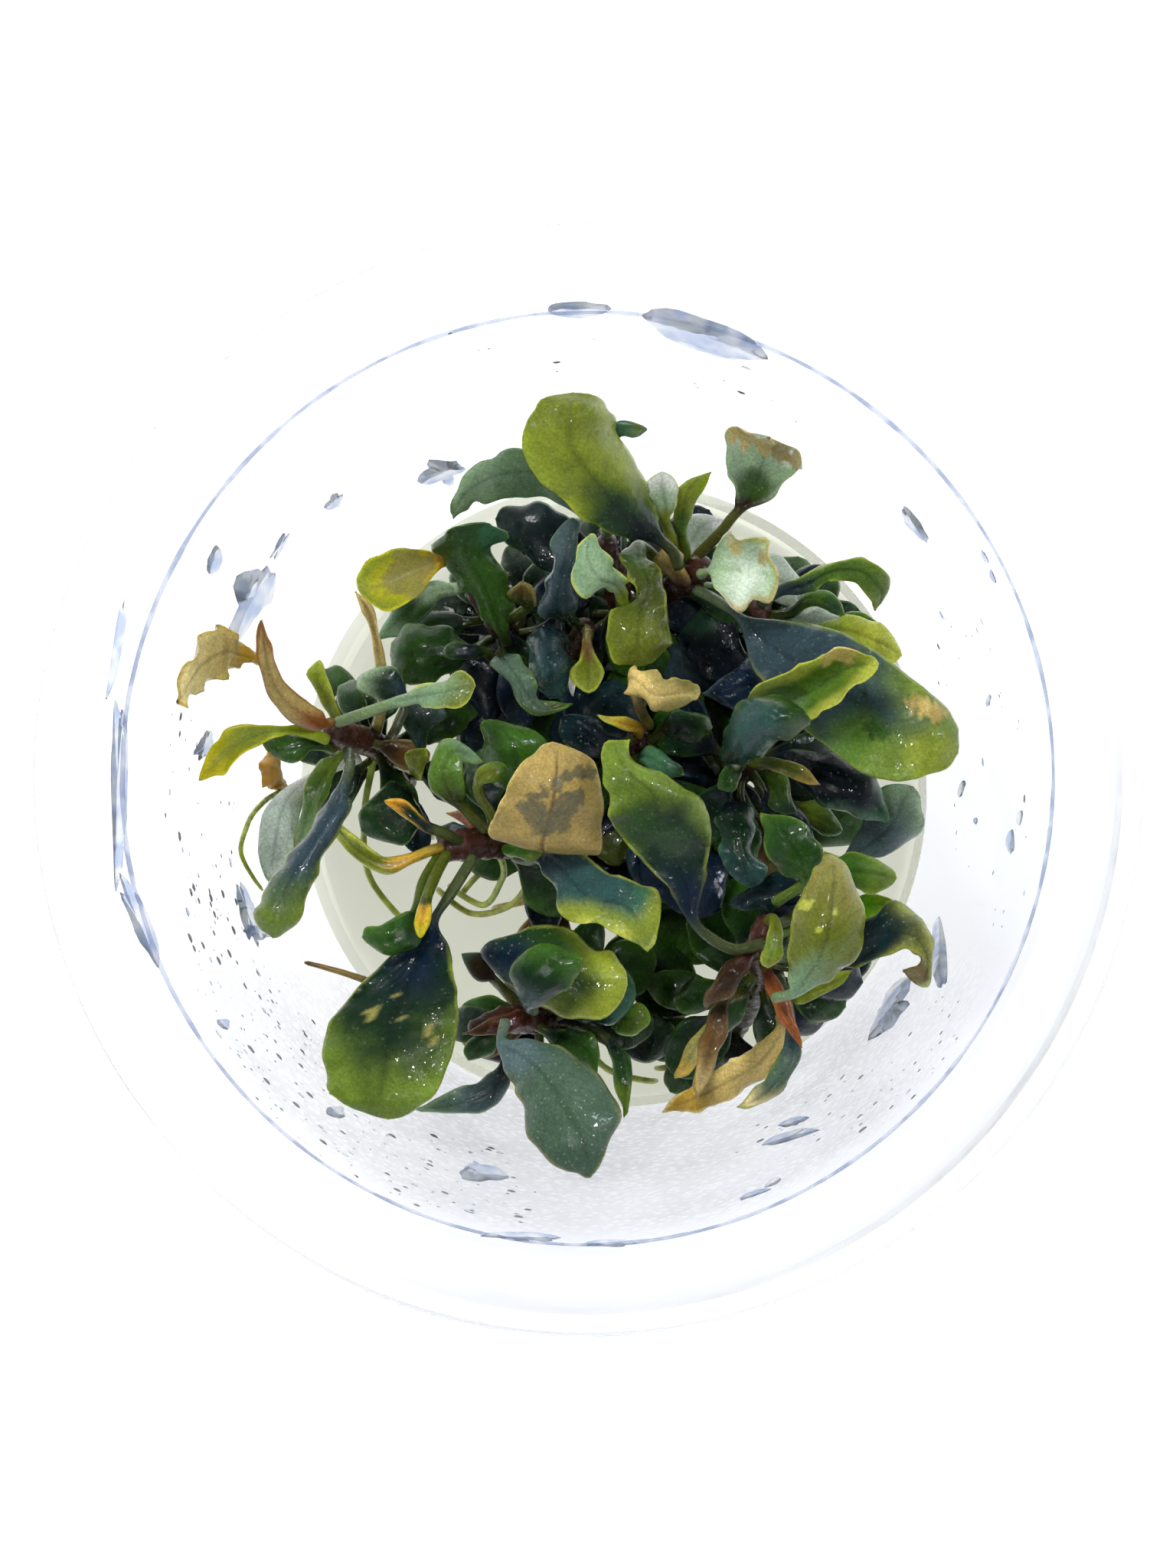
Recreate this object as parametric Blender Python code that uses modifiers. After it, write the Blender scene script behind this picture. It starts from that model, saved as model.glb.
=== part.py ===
"""Bucephalandra plantlets on a bed of gel in their clear open culture jar.

Run with: blender --background --python part.py

The origin is the middle of the jar's foot and +Z is up. Blender works in metres here. The sizes
and heights below are millimetres, times MM. Where a leaf lies across the jar is given by pixels of
the view that the plants were measured in, and spot() turns a pixel and a height into a place.
"""

import bmesh
import bpy
import numpy as np

MM = 0.001
GAP = 0.35  # free space between two pieces that touch

# The jar, a thin moulding that widens by about eight degrees towards its mouth
JAR_WALL = 0.9
FLOOR_THICKNESS = 1.0
FLOOR_RADIUS = 34.6  # inside, where the wall starts
LEDGE_HEIGHT = 60.0
LEDGE_RADIUS = 42.5  # inside, where the wall ends at the ledge that the lid drops on
LEDGE_WIDTH = 3.9
COLLAR_HEIGHT = 4.4  # from the ledge up to the lip
LIP_RADIUS = 49.7  # outside
LIP_DROP = 2.8
JAR_STEPS = 32

# The gel
GEL_TOP = 7.2
GEL_RISE = 0.8  # how far it creeps up the wall
GEL_STEPS = 24

# The view, 1536 by 2048 pixels, from nearly straight above the jar
VIEW_MIDDLE = (768.0, 1024.0)
VIEW_FOCAL = 3000.0  # pixels
VIEW_POINT = np.array([13.5, -7.9, 267.0])
VIEW_AIM = np.array([0.62, -0.83, 60.0])

# Plant sizes
STALK_WIDTH = 1.2
STALK_THICKNESS = 1.1
BLADE_THICKNESS = 0.6
TIP_THICKNESS = 0.36
TIP_WIDTH = 0.3
ROOT_RADIUS = 0.36

# How finely the pieces are faceted
LEAF_STEPS = 2
LEAF_COLUMNS = 2
RHIZOME_STEPS = 7
RHIZOME_RESOLUTION = 1
ROOT_STEPS = 4
ROOT_RESOLUTION = 0

RHIZOME_COLOUR = (0.12, 0.03, 0.03)
LEAF_COLOURS = {
    "green": (0.07, 0.16, 0.03),
    "navy": (0.012, 0.028, 0.035),
    "lime": (0.21, 0.27, 0.02),
    "olive": (0.13, 0.16, 0.02),
    "grey": (0.10, 0.15, 0.11),
    "tan": (0.45, 0.27, 0.08),
}

# The rhizomes, each a line of (pixel x, pixel y, height, radius)
RHIZOMES = {
    "rhizome_left": [(530, 1020, 8.4, 1.0), (505, 985, 16, 1.3), (478, 968, 23, 1.4), (452, 962, 28, 1.5),
                     (430, 952, 31, 1.2)],
    "rhizome_left_centre": [(765, 1135, 8.4, 1.1), (722, 1112, 17, 1.4), (680, 1102, 23.5, 1.5),
                            (640, 1100, 28, 1.7), (602, 1104, 31, 1.6), (572, 1110, 32, 1.2)],
    "rhizome_lower_left": [(775, 1345, 8.4, 1.1), (735, 1335, 18, 1.4), (697, 1331, 25, 1.5),
                           (655, 1333, 29, 1.4), (612, 1345, 30, 0.7)],
    "rhizome_top": [(815, 815, 8.4, 1.1), (845, 785, 18, 1.5), (875, 765, 24, 1.6), (903, 752, 27.5, 1.6),
                    (922, 735, 30, 1.0)],
    "rhizome_lower_right": [(955, 1350, 8.4, 1.1), (985, 1300, 17, 1.3), (996, 1262, 25, 1.4),
                            (992, 1235, 29.5, 1.4), (1003, 1198, 31, 1.1)],
    "rhizome_right": [(925, 1050, 8.4, 1.1), (955, 1020, 16, 1.4), (973, 993, 24, 1.4), (975, 975, 29, 1.3),
                      (978, 955, 32, 0.9)],
    "rhizome_upper_left": [(705, 885, 8.4, 1.1), (678, 848, 17, 1.4), (650, 812, 22, 1.3), (622, 772, 25, 1.1),
                           (606, 745, 26.5, 0.9)],
    "rhizome_back": [(800, 860, 8.4, 1.0), (812, 815, 17, 1.3), (808, 775, 24, 1.3), (797, 735, 28, 1.2),
                     (790, 700, 30, 1.0)],
    "rhizome_centre": [(725, 935, 8.4, 1.1), (738, 885, 16, 1.4), (755, 845, 22, 1.3), (765, 815, 26, 1.1)],
    "rhizome_middle": [(865, 1080, 8.4, 1.1), (848, 1035, 15, 1.4), (838, 990, 21, 1.4), (832, 955, 26, 1.1)],
    "rhizome_upper_right": [(1020, 880, 8.4, 1.1), (1015, 845, 16, 1.3), (1003, 815, 22, 1.3),
                            (988, 790, 25.5, 1.0)],
}

# The leaves. A stalk is points of (pixel x, pixel y, height) from the foot to the neck. A row across
# the blade is (left margin pixel x and y, right margin pixel x and y, height, how much higher the left
# margin is than the right, how much higher the midrib is than the margins).
LEAVES = {
    # Round the top
    "crown_leaf": {
        "stalk": [(887, 740, 32.2), (878, 720, 34.0), (863, 706, 35.2)],
        "rows": [(797, 696, 858, 672, 37.5, 0, 0.5), (730, 650, 842, 625, 40.5, 0, 1.0),
                 (686, 597, 808, 568, 43.0, 0, 1.2), (694, 541, 797, 537, 44.5, 0, 1.0)],
        "kind": "green", "tip": (748, 514, 44.0), "blunt": 1.6},
    "grey_leaf": {
        "stalk": [(782, 685, 30.0), (760, 668, 32)],
        "rows": [(705, 650, 705, 590, 34.0, -1, 0.5), (655, 653, 648, 592, 35.5, -1, 1.0),
                 (618, 660, 603, 628, 34.5, -2, 0.8)],
        "kind": "grey", "tip": (592, 676, 32.5), "blunt": 0.6},
    "fan_leaf": {
        "stalk": [(914, 723, 31.6), (938, 698, 35), (966, 664, 38)],
        "rows": [(957, 640, 1007, 648, 40.0, 0, -1.5), (950, 598, 1038, 616, 42.5, 0, -2.0),
                 (952, 563, 1051, 607, 43.5, 0, -1.2)],
        "kind": "grey", "tip": (1004, 572, 45.0), "blunt": 1.2},
    "decayed_round_leaf": {
        "stalk": [(915, 750, 31.0), (931, 745, 33.4)],
        "rows": [(940, 706, 938, 775, 35.5, 0, -1.0), (965, 695, 965, 788, 37.0, 0, -1.6),
                 (989, 703, 992, 786, 37.5, 0, -1.4), (1003, 724, 1010, 776, 38.0, 0, -0.6)],
        "kind": "lime", "tip": (1016, 752, 38.4), "blunt": 1.1},
    "right_curl_leaf": {
        "stalk": [(993, 790, 27.2), (1018, 772, 29)],
        "rows": [(1045, 752, 1058, 776, 32.0, 1, 0), (1098, 732, 1088, 757, 35.5, 2, 0),
                 (1140, 731, 1117, 764, 37.0, 2, 0), (1164, 762, 1137, 784, 35.5, 1, 0)],
        "kind": "olive", "tip": (1143, 796, 33.5), "blunt": 0.3},
    "upper_right_leaf": {
        "stalk": [(1012, 820, 24.0), (1060, 824, 27)],
        "rows": [(1108, 806, 1098, 842, 30.0, 0, 0.5), (1150, 813, 1135, 862, 31.5, 0, 0.8)],
        "kind": "lime", "tip": (1177, 856, 31.0), "blunt": 0.9},
    "big_right_leaf": {
        "stalk": [(909, 770, 29.2), (938, 786, 31.0), (970, 810, 33.2)],
        "rows": [(1022, 810, 982, 868, 35.0, 0, -0.6), (1090, 822, 1025, 925, 37.5, 0, -0.8),
                 (1152, 856, 1090, 984, 39.0, 0, -0.6), (1207, 900, 1150, 1018, 40.0, 0, 0.4),
                 (1246, 936, 1212, 1013, 39.5, 0, 0.6)],
        "kind": "olive", "tip": (1250, 984, 38.5), "blunt": 0.9},
    "trough_leaf": {
        "stalk": [(962, 962, 33.6), (975, 945, 37)],
        "rows": [(978, 905, 1030, 945, 40.0, 0, -1.6), (1048, 869, 1078, 930, 43.0, 0, -2.2),
                 (1102, 845, 1118, 895, 44.5, 0, -1.8)],
        "kind": "green", "tip": (1147, 866, 44.0), "blunt": 0.9},
    "drape_leaf": {
        "stalk": [(960, 1000, 34.4), (950, 993, 36.6)],
        "rows": [(943, 970, 980, 996, 39.5, 0, 1.5), (955, 935, 1008, 977, 42.5, 0, 2.0),
                 (990, 908, 1040, 960, 44.5, 0, 1.8)],
        "kind": "green", "tip": (1049, 928, 44.5), "blunt": 1.5},
    "navy_left_point_leaf": {
        "stalk": [(985, 938, 30.6), (1000, 915, 31)],
        "rows": [(985, 931, 984, 858, 31.5, 0, 0.5), (955, 926, 950, 880, 32.0, 0, 0.5)],
        "kind": "navy", "tip": (917, 906, 31.5), "blunt": 0.1},
    "navy_right_leaf": {
        "stalk": [(997, 992, 26.4), (1008, 992, 29.0)],
        "rows": [(1045, 980, 1035, 1018, 31.5, 0, 0.5), (1092, 984, 1065, 1045, 33.0, 0, 0.8),
                 (1135, 1004, 1103, 1062, 33.0, 0, 0.8), (1153, 1038, 1137, 1073, 32.0, 0, 0.3)],
        "kind": "navy", "tip": (1160, 1074, 31.3), "blunt": 0.2},
    "wall_grey_leaf": {
        "stalk": [(1019, 1248, 26.6), (1068, 1190, 24.5), (1108, 1122, 25.5)],
        "rows": [(1120, 1085, 1158, 1114, 27.0, 0, 0.5), (1136, 1052, 1202, 1090, 28.5, 0, 0.8),
                 (1158, 1026, 1205, 1056, 29.0, 0, 0.5)],
        "kind": "grey", "tip": (1192, 1028, 28.8), "blunt": 0.7},
    "green_oval_leaf": {
        "stalk": [(1012, 1180, 31.5), (1050, 1150, 33)],
        "rows": [(1018, 1139, 1074, 1116, 34.0, 0, 0.8), (1003, 1112, 1058, 1083, 35.0, 0, 1.0),
                 (994, 1083, 1025, 1068, 34.6, 0, 0.6)],
        "kind": "green", "tip": (994, 1063, 34.0), "blunt": 0.3},
    "glossy_olive_leaf": {
        "stalk": [(1012, 1303, 35.4), (1036, 1297, 37.5)],
        "rows": [(1028, 1268, 1083, 1279, 39.0, 0, 0.4), (1031, 1222, 1126, 1236, 41.0, 0, 0.8),
                 (1046, 1166, 1128, 1188, 42.0, 0, 1.0), (1066, 1130, 1110, 1142, 42.0, 0, 0.8)],
        "kind": "olive", "tip": (1084, 1117, 41.4), "blunt": 0.8},
    "bright_right_leaf": {
        "stalk": [(1018, 1174, 29.4), (1070, 1148, 31)],
        "rows": [(1108, 1115, 1108, 1160, 33.0, 0, 0.8), (1152, 1122, 1147, 1163, 33.5, 0, 0.6)],
        "kind": "lime", "tip": (1170, 1147, 33.0), "blunt": 1.1},
    "hook_leaf": {
        "stalk": [(1013, 1251, 29.4), (1070, 1246, 32.4)],
        "rows": [(1125, 1204, 1108, 1264, 34.5, 0, 0.8), (1172, 1180, 1147, 1254, 37.0, 0, 1.2),
                 (1210, 1205, 1178, 1242, 38.4, 0, 0.8), (1221, 1250, 1198, 1250, 38.0, -1, 0),
                 (1212, 1288, 1198, 1262, 37.4, -2, 0)],
        "kind": "grey", "tip": (1180, 1268, 36.8), "blunt": 0.4},
    # Upper left
    "yellow_left_leaf": {
        "stalk": [(600, 743, 28.6), (580, 733, 30)],
        "rows": [(555, 766, 545, 716, 32.5, 0, -0.8), (525, 793, 503, 721, 34.5, 0, -1.0),
                 (492, 793, 475, 741, 35.0, 0, -0.6)],
        "kind": "lime", "tip": (467, 768, 34.8), "blunt": 1.0},
    "olive_strap_leaf": {
        "stalk": [(662, 840, 22.8), (657, 828, 25.0)],
        "rows": [(624, 797, 668, 797, 27.5, 0, 0.8), (598, 762, 664, 757, 30.0, 0, 1.2),
                 (577, 728, 645, 718, 32.5, 0, 1.2), (577, 700, 648, 688, 34.8, 0, 0.8)],
        "kind": "olive", "tip": (612, 684, 36.0), "blunt": 1.5},
    "blue_strap_leaf": {
        "stalk": [(757, 818, 27.8), (748, 811, 29)],
        "rows": [(705, 796, 753, 798, 31.0, 0, 0.8), (716, 748, 756, 748, 33.0, 0, 1.0),
                 (728, 706, 761, 708, 34.5, 0, 0.8)],
        "kind": "navy", "tip": (748, 677, 35.0), "blunt": 1.5},
    "light_square_leaf": {
        "stalk": [(820, 801, 23.8), (814, 785, 31.0)],
        "rows": [(792, 770, 815, 757, 35.0, 0, 0.5), (757, 770, 803, 737, 37.5, 0, 0.8),
                 (746, 742, 789, 716, 38.5, 0, 0.6)],
        "kind": "lime", "tip": (771, 698, 38.6), "blunt": 0.8},
    "twisted_olive_leaf": {
        "stalk": [(868, 750, 26.8), (850, 722, 29.5), (834, 712, 31.5)],
        "rows": [(853, 732, 814, 736, 33.5, -1, 0.8), (869, 768, 832, 768, 36.0, 2, 0.5),
                 (873, 808, 798, 806, 37.5, 2, 0.5), (876, 844, 792, 842, 37.5, 0, 0.8)],
        "kind": "olive", "tip": (835, 869, 36.5), "blunt": 1.2},
    "tan_broken_leaf": {
        "stalk": [(848, 947, 27.6), (836, 925, 33.0)],
        "rows": [(830, 868, 828, 905, 37.5, 0, 0.6), (862, 888, 850, 928, 38.0, 0, 0.4),
                 (893, 884, 880, 925, 37.5, 0, -0.4)],
        "kind": "tan", "tip": (914, 906, 36.5), "blunt": 0.9},
    "rolled_dark_leaf": {
        "stalk": [(741, 836, 24.8), (722, 826, 29.0)],
        "rows": [(742, 842, 692, 832, 33.0, 0, 2.2), (748, 872, 693, 876, 34.5, 0, 2.6)],
        "kind": "navy", "tip": (720, 912, 33.0), "blunt": 1.2},
    "curled_green_leaf": {
        "stalk": [(693, 860, 18.8), (668, 864, 26), (655, 860, 30)],
        "rows": [(682, 862, 644, 872, 34.0, 0, 0.6), (700, 895, 670, 903, 35.0, 0, 0.8),
                 (706, 912, 692, 932, 34.6, -1, 0.4)],
        "kind": "green", "tip": (748, 920, 32.5), "blunt": 0.5},
    "dark_slab_leaf": {
        "stalk": [(640, 836, 19.6), (613, 848, 24.0)],
        "rows": [(592, 880, 588, 824, 26.0, 0, 0.8), (556, 892, 552, 814, 27.0, 0, 1.2),
                 (525, 890, 522, 822, 26.6, 0, 0.8)],
        "kind": "green", "tip": (511, 856, 26.0), "blunt": 1.2},
    # Left
    "left_sheath_leaf": {
        "stalk": [(432, 944, 33.0), (424, 946, 34.5)],
        "rows": [(398, 952, 420, 928, 37.0, 0, 0.8), (363, 928, 387, 906, 40.0, 0, 0.8),
                 (344, 888, 363, 874, 42.5, 0, 0.6), (334, 845, 352, 836, 44.0, 0, -0.6)],
        "kind": "tan", "tip": (341, 811, 45.0), "blunt": 0.5},
    "far_left_leaf": {
        "stalk": [(427, 966, 32.4), (404, 958, 34)],
        "rows": [(370, 961, 368, 948, 36.5, 0, 0.2), (335, 975, 325, 947, 39.0, 0, -0.6),
                 (302, 1000, 286, 962, 40.6, 0, -0.8), (281, 1013, 267, 993, 41.2, 0, -0.4)],
        "kind": "lime", "tip": (260, 1019, 41.0), "blunt": 0.5},
    "dark_glossy_left_leaf": {
        "stalk": [(433, 980, 29.0), (422, 974, 31.0)],
        "rows": [(405, 983, 400, 960, 32.5, 0, 0.5), (378, 998, 362, 961, 34.0, 0, 0.8)],
        "kind": "navy", "tip": (341, 967, 34.0), "blunt": 0.5},
    "wing_leaf": {
        "stalk": [(442, 943, 32.4), (475, 932, 35), (518, 917, 37)],
        "rows": [(550, 900, 548, 922, 38.5, 0, 0.4), (583, 884, 576, 925, 40.0, 0, 0.5),
                 (608, 876, 600, 922, 40.0, 0, 0.3)],
        "kind": "grey", "tip": (620, 896, 39.5), "blunt": 0.8},
    "long_dark_leaf": {
        "stalk": [(455, 980, 30.4), (456, 1005, 33.5), (447, 1030, 36)],
        "rows": [(457, 1056, 422, 1054, 38.0, 0, 0.8), (430, 1108, 383, 1113, 39.5, 0, 1.0),
                 (403, 1167, 344, 1166, 40.4, 0, 1.0), (382, 1212, 334, 1197, 40.2, 0, 0.6)],
        "kind": "navy", "tip": (357, 1224, 39.6), "blunt": 0.8},
    "pale_wall_leaf": {
        "stalk": [(470, 990, 21.0), (405, 1018, 23)],
        "rows": [(392, 1062, 350, 1050, 25.5, 0, 0.5), (384, 1110, 337, 1098, 27.0, 0, 0.6)],
        "kind": "grey", "tip": (352, 1152, 27.5), "blunt": 0.7},
    "c_curl_leaf": {
        "stalk": [(634, 1084, 31.6), (616, 1066, 33.4), (600, 1050, 34.6)],
        "rows": [(566, 1035, 608, 1030, 36.0, 0, 1.0), (559, 1003, 603, 1008, 37.0, 0, 1.2),
                 (577, 970, 608, 996, 36.8, 0, 0.8), (608, 972, 616, 998, 35.6, 0, 0.4)],
        "kind": "green", "tip": (629, 995, 34.6), "blunt": 0.6},
    # Middle
    "centre_leaf": {
        "stalk": [(998, 1232, 32.6), (960, 1240, 33.5), (928, 1225, 34.5), (905, 1200, 36)],
        "rows": [(880, 1172, 919, 1160, 37.5, 0, -0.4), (838, 1123, 925, 1118, 39.5, 0, -0.6),
                 (798, 1078, 928, 1076, 41.5, 0, 0.5), (795, 1035, 908, 1034, 43.0, 0, 1.0),
                 (783, 1000, 850, 1007, 43.6, 0, 0.8), (795, 969, 818, 984, 43.0, 0, 0.3)],
        "kind": "green", "tip": (822, 967, 42.4), "blunt": 0.3},
    "tan_leaf": {
        "stalk": [(706, 1086, 23.8), (722, 1096, 28.5), (717, 1108, 33.4)],
        "rows": [(643, 1094, 776, 1115, 35.5, 0, 0.8), (652, 1055, 787, 1070, 38.0, 0, 1.0),
                 (668, 1018, 786, 1028, 39.5, 0, 1.0), (692, 984, 762, 986, 40.2, 0, 0.5)],
        "kind": "tan", "tip": (722, 970, 40.0), "blunt": 0.6},
    "yellow_edge_leaf": {
        "stalk": [(672, 1119, 26.2), (690, 1124, 27.4), (705, 1122, 30.0)],
        "rows": [(745, 1112, 718, 1152, 31.5, 0, 0.6), (803, 1142, 738, 1202, 33.5, 0, 0.8),
                 (860, 1166, 785, 1208, 34.6, 0, 0.4), (862, 1206, 818, 1227, 34.4, 0, 0.2)],
        "kind": "green", "tip": (846, 1242, 33.6), "blunt": 0.3},
    "green_under_tan_leaf": {
        "stalk": [(672, 1080, 26.2), (684, 1050, 28.4)],
        "rows": [(642, 1015, 708, 1015, 31.0, 0, 0.8), (630, 972, 712, 968, 33.0, 0, 1.0)],
        "kind": "green", "tip": (640, 940, 33.0), "blunt": 1.0},
    "teal_middle_leaf": {
        "stalk": [(826, 966, 26.6), (812, 972, 28)],
        "rows": [(770, 986, 790, 952, 30.5, 0, 0.8), (737, 966, 766, 930, 31.5, 0, 0.8)],
        "kind": "navy", "tip": (733, 938, 31.5), "blunt": 0.5},
    "wavy_blue_leaf": {
        "stalk": [(949, 1042, 17.8), (955, 1050, 25.0)],
        "rows": [(986, 1062, 933, 1072, 28.0, 0, 0.8), (984, 1103, 944, 1108, 29.5, 0, 0.8),
                 (999, 1138, 952, 1143, 30.0, 0, 0.6)],
        "kind": "navy", "tip": (982, 1158, 29.5), "blunt": 0.9},
    # Round the bottom
    "bottom_broad_leaf": {
        "stalk": [(652, 1256, 29.2), (634, 1246, 29.4)],
        "rows": [(672, 1216, 662, 1284, 30.4, 0, 0.6), (735, 1209, 705, 1316, 31.0, 0, 0.6),
                 (778, 1240, 755, 1331, 31.4, 0, 0.4), (807, 1250, 798, 1321, 31.0, 0, 0.2)],
        "kind": "navy", "tip": (819, 1286, 30.6), "blunt": 1.0},
    "round_green_leaf": {
        "stalk": [(697, 1320, 28.8), (690, 1313, 33.0)],
        "rows": [(668, 1284, 716, 1308, 35.0, 0, 0.6), (676, 1250, 750, 1284, 36.4, 0, 0.8),
                 (716, 1235, 760, 1264, 36.4, 0, 0.6)],
        "kind": "green", "tip": (750, 1246, 36.0), "blunt": 0.7},
    "big_lower_left_leaf": {
        "stalk": [(618, 1120, 32.6), (590, 1165, 35), (566, 1203, 37)],
        "rows": [(584, 1233, 515, 1244, 38.5, 0, -0.4), (596, 1288, 465, 1292, 40.5, 0, -0.6),
                 (598, 1338, 426, 1345, 42.0, 0, 0.4), (584, 1395, 425, 1393, 43.4, 0, 0.8),
                 (556, 1440, 440, 1435, 44.2, 0, 0.4)],
        "kind": "green", "tip": (507, 1461, 43.6), "blunt": 0.9},
    "bottom_grey_leaf": {
        "stalk": [(660, 1334, 33.0), (655, 1361, 34.6)],
        "rows": [(704, 1357, 662, 1400, 36.0, 0, 0.4), (757, 1383, 680, 1440, 38.5, 0, 0.8),
                 (797, 1424, 686, 1477, 40.0, 0, 0.8), (811, 1466, 715, 1513, 40.6, 0, 0.6),
                 (789, 1504, 748, 1533, 40.4, 0, 0.3)],
        "kind": "grey", "tip": (771, 1537, 40.0), "blunt": 0.6},
    "folded_dark_leaf": {
        "stalk": [(660, 1352, 29.0), (661, 1385, 30)],
        "rows": [(655, 1436, 636, 1404, 31.5, 0, 0.8), (612, 1456, 600, 1422, 33.0, 0, 0.5)],
        "kind": "navy", "tip": (543, 1449, 34.0), "blunt": 0.2},
    "tan_strap_leaf": {
        "stalk": [(1004, 1306, 18.4), (1019, 1345, 23.5)],
        "rows": [(1018, 1388, 985, 1366, 24.0, 0, 0.5), (962, 1431, 942, 1392, 22.0, 0, 0.5),
                 (908, 1451, 898, 1420, 20.0, 0, 0.4)],
        "kind": "tan", "tip": (866, 1452, 18.6), "blunt": 0.5},
    "dark_hook_leaf": {
        "stalk": [(1017, 1273, 25.0), (1030, 1320, 28.0), (1033, 1352, 30.0)],
        "rows": [(1046, 1386, 1016, 1386, 31.0, 0, 0.6), (1028, 1417, 998, 1411, 31.4, 0, 0.6),
                 (1002, 1440, 980, 1428, 31.0, 0, 0.3)],
        "kind": "navy", "tip": (964, 1446, 30.6), "blunt": 0.3},
    "wall_decayed_leaf": {
        "stalk": [(338, 862, 32.0), (330, 858, 33.6)],
        "rows": [(313, 872, 314, 838, 36.6, -2.5, 0), (289, 882, 291, 820, 41.4, -4, 0),
                 (262, 905, 256, 838, 45.8, -4, 0)],
        "kind": "tan", "tip": (232, 918, 48.6), "blunt": 0.6},
}

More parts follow.
